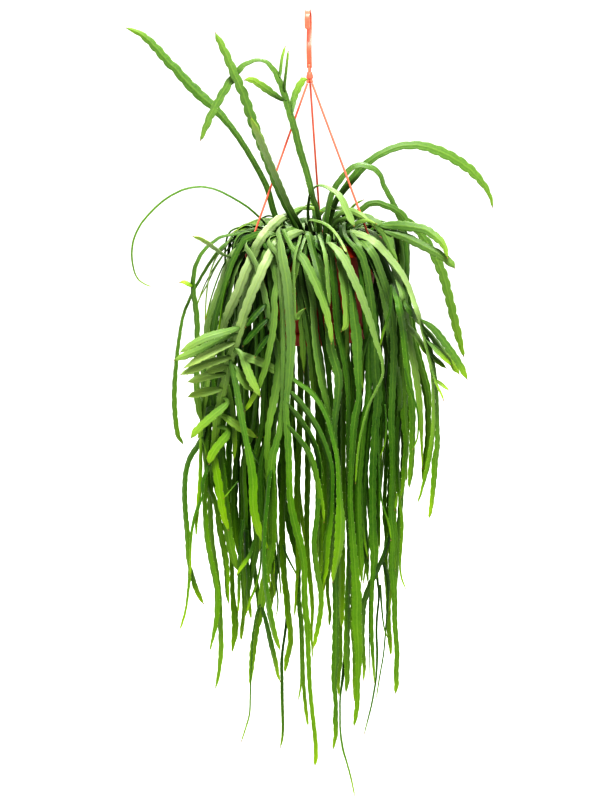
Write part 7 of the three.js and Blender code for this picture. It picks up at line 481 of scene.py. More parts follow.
    ("Q3", "trailing_stems_extra_front_right", 0, 1, [[520,-108,-2926,48,24,93,-37,-6],[507,-141,-2848,52,26,92,-39,9],[487,-158,-2796,53,27,93,-35,8],[486,-179,-2763,55,27,97,-20,-14],[484,-216,-2734,56,28,97,-14,-21],[487,-341,-2680,61,28,96,-12,-27],[482,-412,-2665,63,28,96,-10,-27],[474,-537,-2688,67,28,96,6,-26],[478,-614,-2704,70,28,96,15,-24],[489,-682,-2723,74,28,94,27,-18],[505,-737,-2745,77,28,92,39,-8],[526,-779,-2772,80,28,83,55,10],[593,-814,-2833,96,28,56,73,40],[640,-821,-2887,104,28,57,73,39],[713,-812,-3018,104,28,61,71,35],[773,-785,-3198,104,28,66,69,29],[819,-751,-3386,104,28,68,67,28],[861,-708,-3615,104,28,71,67,23],[883,-689,-3768,104,28,73,67,14],[893,-682,-3882,104,28,74,65,18],[897,-670,-3922,104,28,73,61,30],[915,-592,-4087,104,28,71,64,29],[943,-555,-4244,113,28,68,66,32],[995,-485,-4482,112,28,67,66,33],[1024,-458,-4639,97,28,73,67,13],[1030,-460,-4792,87,28,77,64,-8],[1027,-458,-4869,87,28,79,60,13],[1023,-404,-4997,87,28,81,57,13],[1019,-398,-5036,89,28,80,60,-11],[1010,-414,-5110,93,28,76,61,-22],[989,-430,-5260,102,28,76,64,-12],[968,-435,-5609,110,28,75,66,0],[978,-435,-5922,88,28,74,67,5],[998,-435,-6117,42,21,74,67,6],[1021,-436,-6471,56,28,75,66,0],[1001,-435,-6747,54,27,76,64,-6],[985,-435,-7024,35,17,74,67,1],[1007,-436,-7181,28,15,68,72,17],[1048,-436,-7293,17,15,61,74,27]]),
    ("Q4", "stem_front_right_mid_4", 0, 1, [[477,-198,-2926,48,24,84,53,10],[470,-194,-2879,52,26,79,55,29],[443,-216,-2847,59,28,50,31,81],[427,-243,-2812,66,28,47,80,37],[433,-256,-2782,69,28,31,91,26],[452,-270,-2749,73,28,21,95,24],[518,-298,-2691,80,28,23,94,26],[556,-314,-2674,80,28,34,88,33],[593,-333,-2673,90,28,48,80,37],[629,-355,-2682,94,28,58,73,37],[697,-404,-2712,101,28,71,63,33],[756,-458,-2753,104,28,78,57,26],[823,-520,-2839,104,28,78,61,14],[884,-560,-2940,104,28,67,70,25],[938,-571,-3045,104,28,69,70,20],[969,-592,-3117,104,28,75,66,3],[997,-633,-3186,104,28,81,58,-12],[1020,-689,-3252,102,28,84,48,-24],[1046,-797,-3354,99,28,84,49,-21],[1063,-844,-3425,97,28,85,53,-3],[1070,-853,-3462,96,28,84,53,12],[1078,-851,-3501,95,28,82,51,26],[1085,-836,-3541,95,28,79,51,36],[1113,-696,-3758,95,28,70,57,43],[1119,-675,-3800,95,28,71,59,38],[1130,-643,-3881,95,28,72,63,30],[1146,-616,-3998,98,28,72,66,20],[1167,-599,-4153,103,28,72,67,16],[1213,-580,-4420,112,28,72,67,16],[1255,-557,-4767,101,28,74,66,11],[1278,-536,-5118,80,28,75,65,7],[1283,-521,-5354,43,21,76,65,5],[1290,-500,-5709,22,15,76,65,6]]),
    ("R3a", "stem_front_right_mid_4", 1, 1, [[1094,-851,-3498,64,28,81,40,-43],[1104,-902,-3542,81,28,81,56,-14],[1120,-924,-3571,92,28,73,67,13],[1141,-931,-3601,104,28,53,70,49],[1166,-916,-3633,106,28,31,62,72],[1192,-879,-3668,106,28,20,57,80],[1216,-831,-3707,105,28,17,56,81],[1281,-662,-3835,53,27,21,53,82]]),
    ("R3b", "stem_front_right_mid_4", 1, 1, [[1110,-696,-3758,64,28,62,78,-6],[1127,-706,-3846,91,28,52,84,16],[1176,-716,-3904,114,28,45,85,28],[1248,-732,-3991,110,28,52,83,19],[1318,-753,-4123,88,28,54,83,16],[1371,-765,-4223,43,22,52,83,20]]),
    ("Q5", "stem_front_right_mid_5", 0, 1, [[630,122,-2926,47,24,56,-80,20],[643,156,-2832,57,28,57,-75,32],[663,204,-2796,67,28,58,-58,57],[723,304,-2776,77,28,63,-41,66],[750,352,-2776,88,28,68,-31,67],[772,394,-2784,91,28,74,-20,64],[790,425,-2800,94,28,84,-13,53],[805,444,-2823,98,28,81,-31,49],[837,440,-2872,101,28,53,-66,53],[849,418,-2904,101,28,42,-63,65],[874,352,-2970,101,28,35,-63,70],[876,314,-3011,101,28,34,-52,78],[895,268,-3036,101,28,31,-33,89],[909,210,-3061,101,28,33,-32,89],[942,117,-3112,101,28,41,-39,83],[996,18,-3202,101,28,53,-48,70],[1027,-29,-3265,101,28,60,-55,58],[1040,-44,-3298,100,28,64,-60,48],[1071,-82,-3403,96,28,69,-63,35],[1090,-95,-3476,94,28,71,-65,27],[1164,-126,-3849,102,28,73,-67,13],[1209,-125,-4155,110,28,73,-66,16],[1269,-133,-4418,118,28,73,-65,21],[1356,-145,-4755,112,28,73,-66,17],[1381,-149,-4947,104,28,73,-68,7],[1387,-150,-5103,100,28,72,-69,0],[1377,-150,-5416,90,28,71,-70,-5],[1326,-150,-5806,84,28,70,-71,-9],[1309,-150,-5962,42,21,70,-71,-7]]),
    ("Q6", "stem_front_right_mid_6", 0, 1, [[429,31,-2926,48,24,86,50,13],[433,12,-2881,59,28,87,46,18],[439,-20,-2846,69,28,88,41,24],[450,-62,-2812,80,28,88,41,24],[466,-109,-2787,80,28,87,45,21],[490,-160,-2775,90,28,88,43,20],[518,-225,-2771,94,28,92,33,20],[546,-318,-2769,97,28,94,29,20],[601,-486,-2775,104,28,92,32,22],[629,-556,-2785,104,28,90,36,25],[657,-609,-2800,104,28,85,43,30],[685,-642,-2820,104,28,75,52,40],[713,-657,-2843,104,28,62,57,54],[741,-656,-2869,104,28,51,56,65],[769,-643,-2899,104,28,46,55,69],[821,-596,-2973,104,28,49,60,63],[860,-542,-3065,104,28,57,66,50],[892,-520,-3152,104,28,64,67,37],[935,-519,-3256,104,28,73,66,16],[956,-542,-3319,104,28,86,49,-14],[965,-577,-3348,104,28,90,33,-28],[975,-642,-3373,104,28,90,21,-37],[987,-808,-3420,104,28,88,21,-43],[1002,-952,-3470,104,28,87,27,-41],[1008,-1007,-3498,104,28,88,32,-36],[1013,-1048,-3528,104,28,88,39,-26],[1018,-1071,-3561,104,28,87,48,-9],[1023,-1079,-3597,104,28,84,53,11],[1029,-1072,-3635,104,28,79,54,28],[1035,-1054,-3675,104,28,75,53,39],[1047,-1000,-3758,104,28,71,51,48],[1060,-939,-3843,104,28,73,57,38],[1069,-922,-3921,104,28,74,65,16],[1080,-919,-4035,104,28,74,67,5],[1100,-931,-4258,104,28,75,67,2],[1120,-937,-4482,106,28,74,67,9],[1144,-932,-4670,112,28,74,67,10],[1158,-917,-4900,113,28,75,65,8],[1157,-897,-5132,95,28,76,64,3],[1144,-854,-5483,87,28,77,64,5],[1128,-828,-5680,83,28,78,63,1],[1107,-800,-5878,43,22,78,63,0]]),
    ("w1", "trailing_stems_extra_front_right", 0, 1, [[703,-1100,-4920,25,15,76,62,18],[725,-1100,-5069,32,16,80,60,3],[725,-1100,-5336,32,16,81,58,0],[727,-1100,-5604,28,15,81,58,2],[745,-1100,-5910,28,15,79,61,8],[762,-1100,-6024,28,15,77,62,17],[834,-1100,-6284,33,17,77,62,15],[856,-1100,-6476,19,15,81,59,5]]),
    ("w2", "trailing_stems_extra_front_right", 0, 1, [[1072,-1100,-4303,25,15,80,58,15],[1105,-1082,-4490,28,15,75,61,26],[1201,-1054,-4782,28,15,76,60,25],[1225,-1040,-4934,26,15,81,58,11],[1217,-1019,-5164,23,15,84,53,-9],[1199,-1012,-5239,22,15,83,52,-21],[1155,-999,-5346,16,15,81,48,-32]]),
    ("w3", "trailing_stems_extra_front_right", 0, 1, [[918,-1200,-3254,35,17,82,57,2],[912,-1186,-3479,48,24,83,56,-1],[899,-1179,-3590,48,24,82,55,-15],[814,-1162,-3840,42,21,82,54,-22],[769,-1150,-4024,22,15,82,55,-14]]),
    ("w4", "trailing_stems_extra_front_right", 0, 1, [[817,-1100,-4747,22,15,80,59,11],[828,-1084,-4976,25,15,82,57,4],[818,-1070,-5168,25,15,83,55,-5],[797,-1062,-5281,24,15,83,53,-19],[743,-1050,-5425,16,15,81,50,-31]]),
    ("w5", "trailing_stems_extra_front_right", 0, 1, [[668,-1000,-3836,38,19,81,53,-27],[594,-984,-4055,41,21,82,54,-19],[553,-972,-4244,41,21,82,57,-6],[545,-960,-4438,38,19,81,59,4],[554,-950,-4594,24,15,79,60,10]]),
    ("w6", "trailing_stems_extra_front_right", 0, 1, [[692,-500,-7132,32,16,78,61,15],[705,-477,-7377,32,16,82,57,4],[673,-446,-7704,35,17,83,56,1],[665,-427,-7911,35,17,82,58,5],[669,-404,-8160,37,19,82,58,3],[649,-373,-8493,30,15,84,55,-4],[617,-354,-8700,26,15,84,53,-11],[576,-335,-8906,24,15,85,52,-13],[482,-300,-9273,13,15,84,51,-16]]),
    ("w7", "trailing_stems_extra_front_right", 0, 1, [[719,-600,-7197,40,20,80,58,10],[737,-558,-7533,27,15,79,59,13],[762,-528,-7786,22,15,73,65,19],[798,-512,-7906,20,15,58,70,42],[846,-499,-7974,13,15,46,72,52]]),
    ("w8", "trailing_stems_extra_front_right", 0, 1, [[769,-400,-6951,48,24,75,62,22],[825,-374,-7187,58,28,77,61,18],[828,-348,-7430,31,16,83,56,0],[790,-304,-7838,23,15,83,55,-1],[755,-265,-8207,21,15,84,54,-5],[698,-230,-8533,21,15,84,53,-12],[651,-200,-8821,14,15,84,55,-5]]),
    ("w9", "trailing_stems_extra_front_right", 0, 1, [[594,-400,-7344,25,15,83,57,-1],[582,-383,-7550,24,15,82,57,1],[575,-365,-7758,22,15,82,57,2],[567,-331,-8176,21,15,81,58,4],[557,-300,-8554,13,15,82,57,1]]),
    ("w10", "trailing_stems_extra_left", 0, 1, [[-592,-600,-6832,28,15,79,-60,-12],[-603,-584,-7069,28,15,82,-58,-2],[-585,-563,-7387,28,15,80,-59,-6],[-609,-550,-7585,16,15,75,-63,-19]]),
    ("w11", "trailing_stems_extra_left", 0, 1, [[-498,-600,-6638,28,15,83,-54,13],[-453,-584,-6789,33,16,81,-51,28],[-320,-550,-7077,24,15,82,-49,30]]),
    ("w12", "trailing_stems_extra_front_right", 0, 1, [[514,-900,-5300,25,15,81,58,3],[511,-879,-5610,36,18,81,58,3],[511,-855,-5960,46,23,81,58,4],[513,-834,-6273,48,24,80,59,6],[540,-813,-6587,45,23,78,61,14],[571,-800,-6782,25,15,76,62,17]]),
    ("w13", "trailing_stems_extra_left", 0, 1, [[-1472,-600,-5210,32,16,83,-51,25],[-1446,-600,-5314,28,15,84,-52,15],[-1425,-600,-5456,16,15,84,-53,12]]),
    ("w14", "trailing_stems_extra_left", 0, 1, [[-1036,-700,-5766,25,15,67,-66,-33],[-1215,-800,-5956,22,15,71,-65,-28]]),
    ("w15", "trailing_stems_extra_left", 0, 1, [[-946,-800,-5014,32,16,84,-54,9],[-923,-788,-5133,33,16,84,-53,14],[-879,-770,-5286,34,17,83,-51,22],[-835,-757,-5396,36,18,81,-50,31],[-711,-725,-5646,39,20,82,-51,27],[-673,-712,-5761,38,19,84,-53,16],[-650,-700,-5879,25,15,83,-55,8]]),
    ("w16", "trailing_stems_extra_front_right", 0, 1, [[952,-800,-5951,32,16,83,56,-5],[936,-800,-6097,44,22,83,55,-15],[923,-800,-6169,25,15,83,54,-15]]),
    ("xC3", "stem_back_left_long_3", 0, 1, [[-138,496,-2926,36,18,28,77,-57],[-135,519,-2902,37,19,28,61,-74],[-125,560,-2866,39,19,32,53,-78],[-78,620,-2812,41,21,31,41,-86],[-28,693,-2775,44,22,16,17,-97],[13,785,-2761,46,23,14,15,-98],[43,886,-2736,49,24,15,18,-97],[47,987,-2722,52,26,15,6,-99],[41,1078,-2724,54,27,16,-6,-99],[20,1170,-2737,57,28,19,-12,-98],[-6,1202,-2746,58,28,21,-11,-97],[-70,1221,-2764,81,28,30,-11,-95],[-142,1231,-2795,102,28,46,-11,-88],[-271,1237,-2886,107,28,65,-9,-75],[-406,1235,-3030,108,28,79,-7,-61],[-513,1212,-3194,108,28,88,-5,-47],[-639,1173,-3436,108,28,91,-4,-41],[-762,1130,-3679,108,28,91,-4,-41],[-855,1083,-3892,108,28,93,-4,-37],[-910,1039,-4033,107,28,94,-4,-35],[-993,949,-4241,105,28,93,-4,-36],[-1083,809,-4478,103,28,96,-2,-29],[-1129,696,-4651,101,28,97,1,-23],[-1195,494,-4965,98,28,98,0,-21],[-1225,417,-5105,97,28,98,0,-19],[-1244,371,-5214,96,28,99,1,-15],[-1258,338,-5325,90,28,99,2,-12],[-1272,316,-5439,85,28,99,1,-13],[-1294,301,-5594,84,28,99,3,-11],[-1295,296,-5712,88,28,99,5,9],[-1249,291,-6027,96,28,99,7,13],[-1214,282,-6344,88,28,99,8,14],[-1186,302,-6507,73,28,97,10,23],[-1140,343,-6672,36,18,94,12,32]]),
    ("xc1", "stem_back_left_long_3", 1, 1, [[-937,1012,-4103,53,26,51,29,-81],[-993,1023,-4125,72,28,26,29,-92],[-1113,1026,-4151,94,28,29,26,-92],[-1265,1069,-4200,106,28,33,26,-91],[-1412,1088,-4249,106,28,37,28,-89],[-1583,1085,-4338,85,28,49,30,-82],[-1711,1075,-4425,40,20,55,31,-78]]),
    ("xc3", "stem_back_left_long_3", 1, 1, [[-1007,931,-4275,59,28,86,26,-44],[-1049,977,-4301,79,28,58,44,-69],[-1128,1017,-4333,93,28,46,45,-77],[-1305,1035,-4419,104,28,43,46,-78],[-1442,1041,-4492,104,28,44,47,-77],[-1606,1036,-4594,65,28,45,47,-76],[-1673,1034,-4633,30,15,43,47,-77]]),
    ("xc4", "stem_back_left_long_3", 1, 1, [[-1072,831,-4444,60,28,65,47,-60],[-1120,842,-4470,87,28,32,50,-80],[-1385,880,-4552,104,28,33,45,-83],[-1530,884,-4607,103,28,34,46,-82],[-1706,881,-4690,45,22,39,46,-80]]),
    ("xc7", "stem_back_left_long_3", 1, 1, [[-1166,581,-4825,64,28,81,12,-57],[-1197,611,-4845,84,28,49,38,-79],[-1231,624,-4856,97,28,38,43,-82],[-1426,675,-4898,110,28,27,50,-82],[-1503,688,-4917,96,28,30,50,-81],[-1613,701,-4958,48,24,38,51,-77]]),
    ("xc12", "stem_back_left_long_3", 1, 1, [[-1188,515,-4930,48,24,43,-50,75],[-1114,543,-4957,48,24,57,-47,67],[-1091,556,-4973,48,24,77,-38,51],[-1083,579,-5010,57,28,94,12,-32],[-1147,604,-5080,90,28,66,34,-67],[-1210,618,-5131,104,28,63,36,-69],[-1397,640,-5288,105,28,62,37,-69],[-1515,645,-5399,92,28,68,40,-61],[-1588,646,-5496,48,24,75,42,-51]]),
    ("xc13", "stem_back_left_long_3", 1, 1, [[-1232,400,-5141,55,28,-6,64,77],[-1160,423,-5160,59,28,14,66,73],[-1097,439,-5204,92,28,37,68,63],[-976,463,-5304,109,28,41,64,65],[-852,480,-5397,104,28,38,65,66],[-721,493,-5479,41,21,34,65,68]]),
    ("xc10", "stem_back_left_long_3", 1, 1, [[-1047,873,-4376,58,28,9,67,74],[-942,909,-4431,64,28,21,69,69],[-839,936,-4492,102,28,17,68,71],[-690,962,-4552,108,28,26,69,67],[-552,968,-4636,103,28,36,69,62],[-411,972,-4709,87,28,31,69,65],[-342,974,-4746,43,22,33,69,64]]),
    ("xC4a", "trailing_stems_extra_back_left", 0, 1, [[-340,260,-2926,40,20,-85,-34,41],[-301,318,-2849,46,23,-73,-15,67],[-239,438,-2754,53,26,-73,-16,66],[-207,535,-2693,58,28,-73,-13,67],[-195,639,-2668,63,28,-70,-7,71],[-191,704,-2659,66,28,-67,-13,73],[-202,736,-2660,66,28,-64,-23,73],[-227,769,-2669,79,28,-62,-29,73],[-334,877,-2723,104,28,-68,-27,68],[-404,942,-2767,106,28,-66,-32,68],[-497,966,-2842,110,28,-69,-36,62],[-551,981,-2901,108,28,-73,-34,59],[-575,978,-2931,107,28,-69,-32,65],[-597,959,-2961,107,28,-65,-30,70],[-636,909,-3021,105,28,-72,-35,60],[-671,891,-3089,104,28,-80,-42,44],[-720,873,-3194,104,28,-76,-41,51],[-753,837,-3260,104,28,-71,-38,59],[-819,779,-3393,104,28,-75,-42,51],[-858,729,-3496,104,28,-76,-42,50],[-901,670,-3596,104,28,-71,-37,60],[-951,598,-3690,104,28,-67,-34,66],[-1054,429,-3871,98,28,-68,-34,65],[-1111,324,-3997,94,28,-72,-38,58],[-1156,267,-4095,90,28,-74,-40,54],[-1219,228,-4231,82,28,-81,-45,38],[-1252,217,-4340,78,28,-85,-47,25],[-1287,214,-4493,72,28,-86,-48,17],[-1344,216,-4843,60,28,-86,-49,13],[-1400,218,-5155,47,23,-86,-50,11],[-1431,220,-5511,36,18,-86,-51,6],[-1448,222,-5870,42,21,-86,-51,7],[-1478,225,-6190,29,15,-86,-51,6]]),
    ("xF1", "stem_back_middle_long_3", 0, 1, [[-80,460,-2926,45,22,-79,61,1],[-79,462,-2862,47,24,-76,63,-17],[-87,467,-2833,48,24,-65,60,-47],[-105,475,-2810,49,24,-45,51,-73],[-155,501,-2782,51,26,-18,40,-90],[-231,560,-2745,54,27,-4,41,-91],[-280,607,-2728,56,28,13,38,-92],[-324,661,-2721,58,28,41,25,-88],[-363,718,-2729,60,28,59,23,-77],[-418,808,-2755,63,28,82,22,-54],[-440,869,-2773,65,28,92,20,-34],[-462,925,-2802,67,28,94,28,-18],[-483,974,-2838,69,28,93,36,-6],[-511,1034,-2904,72,28,87,49,4],[-528,1065,-2951,74,28,82,57,11],[-532,1079,-2980,74,28,80,57,19],[-529,1090,-3016,88,28,78,58,25],[-495,1134,-3256,121,28,74,64,20],[-450,1166,-3534,123,28,76,64,13],[-427,1180,-3814,123,28,77,63,5],[-419,1179,-4174,123,28,78,63,1],[-429,1158,-4531,114,28,78,61,-12],[-461,1130,-4846,103,28,78,61,-16],[-492,1112,-5042,82,28,78,61,-16],[-511,1095,-5240,82,28,78,62,-7],[-505,1082,-5440,95,28,77,63,0],[-497,1071,-5641,96,28,77,63,-1],[-494,1053,-6003,82,28,78,63,-4],[-496,1039,-6327,82,28,77,63,0],[-486,1035,-6490,93,28,76,65,7],[-464,1034,-6653,100,28,74,66,13],[-412,1037,-6895,108,28,72,67,18],[-365,1040,-7097,99,28,73,66,16],[-330,1038,-7301,86,28,76,64,6],[-332,1028,-7588,77,28,78,62,-5],[-336,1017,-7835,80,28,78,63,-2],[-312,1002,-8164,79,28,77,63,0],[-307,989,-8454,66,28,78,62,-2],[-306,976,-8745,63,28,78,62,-2],[-302,964,-9037,56,28,77,63,0],[-280,952,-9371,54,27,76,64,5],[-259,946,-9581,32,16,76,65,7]]),
    ("xF2", "stem_back_left_long_4", 0, 1, [[-240,520,-2926,48,24,99,11,-12],[-239,655,-2842,52,26,99,10,-14],[-248,779,-2794,55,27,98,15,-12],[-265,887,-2776,57,28,98,19,-11],[-308,1092,-2775,61,28,97,25,-8],[-336,1176,-2812,63,28,93,37,4],[-358,1244,-2868,64,28,86,46,23],[-367,1306,-2981,66,28,76,62,20],[-373,1348,-3143,69,28,71,69,10],[-374,1353,-3177,69,28,71,69,15],[-354,1363,-3296,69,28,70,70,13],[-345,1369,-3416,69,28,71,70,6],[-336,1376,-3697,69,28,72,69,3],[-329,1375,-3978,69,28,72,69,0],[-327,1370,-4179,69,28,72,69,-2],[-328,1359,-4419,69,28,72,69,-4],[-330,1339,-4739,69,28,72,69,-5],[-337,1318,-5019,69,28,73,68,-12],[-368,1288,-5338,69,28,73,67,-15],[-391,1269,-5496,79,28,72,66,-21],[-429,1250,-5650,86,28,71,64,-30],[-502,1220,-5878,103,28,71,65,-28],[-531,1202,-6035,111,28,72,67,-15],[-539,1185,-6195,111,28,72,69,-6],[-530,1168,-6397,111,28,71,70,-2],[-526,1151,-6599,110,28,72,69,-8],[-537,1120,-6922,104,28,72,68,-11],[-551,1094,-7121,104,28,72,66,-20],[-639,1034,-7468,108,28,71,64,-30],[-700,983,-7739,111,28,72,65,-24],[-725,940,-7975,35,17,72,67,-17]]),
    ("xD1", "stem_back_middle_long_4", 0, 1, [[79,544,-2926,46,23,-62,-71,35],[78,558,-2898,47,24,-59,-76,29],[52,605,-2822,50,25,-59,-74,31],[28,659,-2756,53,27,-63,-65,41],[4,725,-2713,56,28,-72,-44,54],[-12,775,-2704,58,28,-80,-19,57],[-22,857,-2720,62,28,-84,17,51],[-13,1084,-2819,70,28,-85,17,50],[-19,1156,-2834,73,28,-85,-8,53],[-28,1219,-2835,76,28,-90,2,44],[-29,1250,-2860,90,28,-89,42,19],[-15,1280,-2950,104,28,-81,59,-2],[9,1300,-3066,104,28,-79,61,-10],[47,1313,-3222,104,28,-77,62,-16],[101,1322,-3456,104,28,-77,62,-17],[160,1325,-3730,104,28,-77,62,-13],[199,1319,-4007,90,28,-77,63,-10],[216,1308,-4247,104,28,-77,64,-8],[237,1292,-4484,118,28,-76,62,-17],[314,1272,-4752,119,28,-75,62,-23],[332,1264,-4870,119,28,-76,65,-7],[313,1250,-5110,104,28,-74,67,6],[276,1239,-5349,101,28,-74,67,8],[251,1230,-5549,90,28,-75,66,1],[252,1222,-5711,89,28,-76,64,-6],[264,1204,-6034,89,28,-77,64,-7],[277,1189,-6318,89,28,-77,64,-7],[289,1172,-6644,89,28,-76,65,-2],[280,1161,-6848,89,28,-75,66,1],[266,1149,-7052,89,28,-75,67,3],[232,1135,-7337,74,28,-74,67,4],[212,1121,-7624,74,28,-76,65,0],[217,1107,-7913,89,28,-76,65,-2],[202,1086,-8326,94,28,-75,66,1],[190,1067,-8700,104,28,-75,66,0],[164,1051,-8990,74,28,-76,65,-1],[171,1040,-9198,33,16,-78,62,-9]]),
    ("xE5", "stem_back_middle_long_5", 0, 1, [[229,498,-2926,43,22,95,-5,31],[230,560,-2924,44,22,88,-26,40],[244,630,-2866,45,22,83,-48,28],[268,684,-2834,45,23,78,-56,27],[301,738,-2810,46,23,75,-61,27],[331,778,-2797,46,23,72,-64,28],[358,819,-2811,47,24,99,-15,6],[348,902,-2850,48,24,98,18,-10],[329,1003,-2874,48,24,100,7,-5],[338,1060,-2880,49,24,89,-44,14],[375,1101,-2906,50,25,76,-62,19],[422,1141,-2983,50,25,78,-63,5],[429,1150,-3014,50,25,80,-59,-12],[413,1179,-3179,52,26,80,-58,-12],[406,1193,-3325,52,26,81,-58,-4],[426,1205,-3594,58,28,82,-57,7],[451,1206,-3829,80,28,82,-57,7],[462,1199,-4068,110,28,82,-57,9],[485,1189,-4266,137,28,81,-57,10],[494,1177,-4465,126,28,81,-58,3],[490,1163,-4705,102,28,81,-58,4],[500,1150,-5027,71,28,81,-59,1],[487,1146,-5188,76,28,78,-61,-13],[447,1145,-5345,92,28,77,-62,-17],[422,1144,-5506,91,28,79,-61,-8],[396,1139,-5791,79,28,80,-60,-6],[374,1133,-6035,72,28,80,-60,-5],[350,1121,-6319,66,28,81,-59,0],[349,1099,-6686,75,28,82,-57,6],[367,1081,-7055,90,28,82,-57,8],[389,1056,-7464,106,28,82,-57,8],[406,1033,-7834,129,28,81,-58,3],[393,1015,-8165,136,28,81,-58,4],[405,1002,-8414,118,28,82,-57,5],[406,991,-8622,99,28,81,-59,2],[386,977,-8956,67,28,80,-59,-1],[378,966,-9250,31,15,81,-59,0]]),
    ("xQ1", "stem_back_right_long_1", 0, 1, [[345,435,-2926,46,23,21,-97,9],[332,449,-2837,49,24,24,-92,30],[322,470,-2783,51,25,21,-85,48],[321,501,-2742,52,26,17,-63,76],[329,543,-2727,54,27,21,4,98],[324,601,-2746,56,28,22,39,89],[294,679,-2764,58,28,35,15,92],[266,769,-2751,59,28,45,-16,88],[265,854,-2719,61,28,51,-39,76],[277,893,-2704,62,28,54,-46,71],[322,961,-2695,64,28,64,-42,64],[373,1022,-2723,65,28,82,-22,53],[393,1052,-2750,66,28,91,-8,40],[406,1107,-2814,68,28,98,18,11],[390,1154,-2875,70,28,91,38,-14],[362,1191,-2917,72,28,92,37,-14],[353,1221,-2948,73,28,99,6,15],[377,1244,-2978,75,28,70,-40,59],[421,1252,-3017,76,28,47,-49,73],[493,1247,-3052,97,28,34,-53,78],[585,1222,-3119,104,28,46,-55,70],[660,1191,-3208,104,28,58,-58,58],[721,1165,-3307,104,28,65,-59,48],[771,1143,-3414,104,28,69,-61,40],[823,1119,-3561,104,28,72,-62,32],[864,1096,-3712,104,28,74,-63,25],[891,1075,-3866,104,28,74,-64,19],[929,1033,-4257,104,28,75,-66,10],[929,1017,-4494,104,28,74,-67,-1],[907,1005,-4813,102,28,74,-67,-3],[890,998,-5093,97,28,74,-67,-3],[872,986,-5414,97,28,75,-67,1],[877,968,-5735,82,28,75,-66,3],[869,950,-6097,68,28,74,-67,1],[851,940,-6339,67,28,74,-67,-3],[839,928,-6582,70,28,75,-66,4],[843,917,-6743,82,28,75,-65,11],[863,902,-6944,81,28,75,-66,4],[839,880,-7267,74,28,74,-67,-1],[838,871,-7389,79,28,75,-65,9],[862,837,-7752,84,28,75,-65,9],[860,818,-7954,80,28,75,-66,5],[858,797,-8157,76,28,75,-65,9],[870,775,-8359,71,28,76,-65,11],[878,752,-8560,33,16,75,-65,10]]),
    ("xQ3", "stem_back_right_long_2", 0, 1, [[480,293,-2926,54,27,90,36,-23],[433,380,-2810,59,28,86,50,-2],[397,463,-2745,63,28,93,34,-14],[384,559,-2712,67,28,97,5,-23],[394,660,-2715,71,28,94,-26,-23],[413,732,-2738,74,28,90,-38,-20],[429,776,-2764,76,28,87,-46,-17],[461,849,-2838,80,28,79,-59,-14],[481,886,-2912,84,28,74,-67,-8],[498,909,-2993,87,28,69,-72,8],[563,918,-3073,96,28,49,-72,48],[636,914,-3162,104,28,55,-71,43],[691,900,-3265,104,28,58,-72,38],[733,881,-3371,104,28,60,-73,34],[774,851,-3519,104,28,61,-73,30],[847,775,-3893,104,28,63,-74,24],[871,727,-4120,104,28,63,-75,21],[892,673,-4346,105,28,62,-73,28],[946,603,-4604,120,28,61,-72,34],[982,565,-4750,106,28,62,-73,29],[999,541,-4863,94,28,63,-75,20],[1001,522,-4978,87,28,63,-77,9],[991,503,-5172,87,28,62,-78,0],[962,495,-5407,99,28,61,-79,-7],[941,491,-5604,108,28,62,-78,-2],[932,476,-5840,109,28,63,-77,8],[940,439,-6111,90,28,64,-75,17],[963,391,-6339,38,19,63,-74,22],[971,347,-6528,38,19,63,-75,19]]),
    ("xQ6", "trailing_stems_extra_right", 0, 1, [[485,573,-2926,54,27,95,-12,29],[453,563,-2912,57,28,14,-12,98],[420,522,-2849,60,28,79,36,49],[376,513,-2795,63,28,47,28,84],[335,531,-2787,64,28,32,34,88],[287,559,-2771,66,28,66,0,75],[272,577,-2748,67,28,79,-29,54],[270,599,-2724,68,28,79,-47,41],[278,624,-2706,69,28,76,-55,34],[294,650,-2696,70,28,78,-54,32],[312,679,-2698,71,28,88,-38,29],[331,742,-2724,73,28,98,3,18],[318,811,-2747,75,28,95,28,10],[301,883,-2745,77,28,99,6,10],[312,949,-2735,79,28,91,-42,9],[352,1001,-2743,81,28,69,-71,12],[377,1019,-2760,82,28,66,-74,11],[407,1042,-2816,84,28,68,-73,4],[423,1055,-2877,86,28,67,-74,6],[444,1058,-2928,87,28,48,-77,43],[496,1053,-2961,94,28,21,-69,69],[632,1025,-3021,104,28,24,-66,71],[693,1003,-3069,104,28,34,-67,66],[745,978,-3127,104,28,41,-67,62],[787,952,-3188,104,28,46,-68,56],[837,913,-3288,104,28,53,-70,48],[952,811,-3612,104,28,59,-72,38],[1009,745,-3871,104,28,62,-74,27],[1034,700,-4060,104,28,62,-74,25],[1058,647,-4286,104,28,63,-74,24],[1077,590,-4512,104,28,63,-74,24],[1091,538,-4700,104,28,62,-74,27],[1119,475,-4924,111,28,62,-74,26],[1135,422,-5150,113,28,63,-76,16],[1126,382,-5460,95,28,62,-78,1],[1117,371,-5736,87,28,62,-78,0],[1100,368,-5934,38,19,61,-79,-7]]),
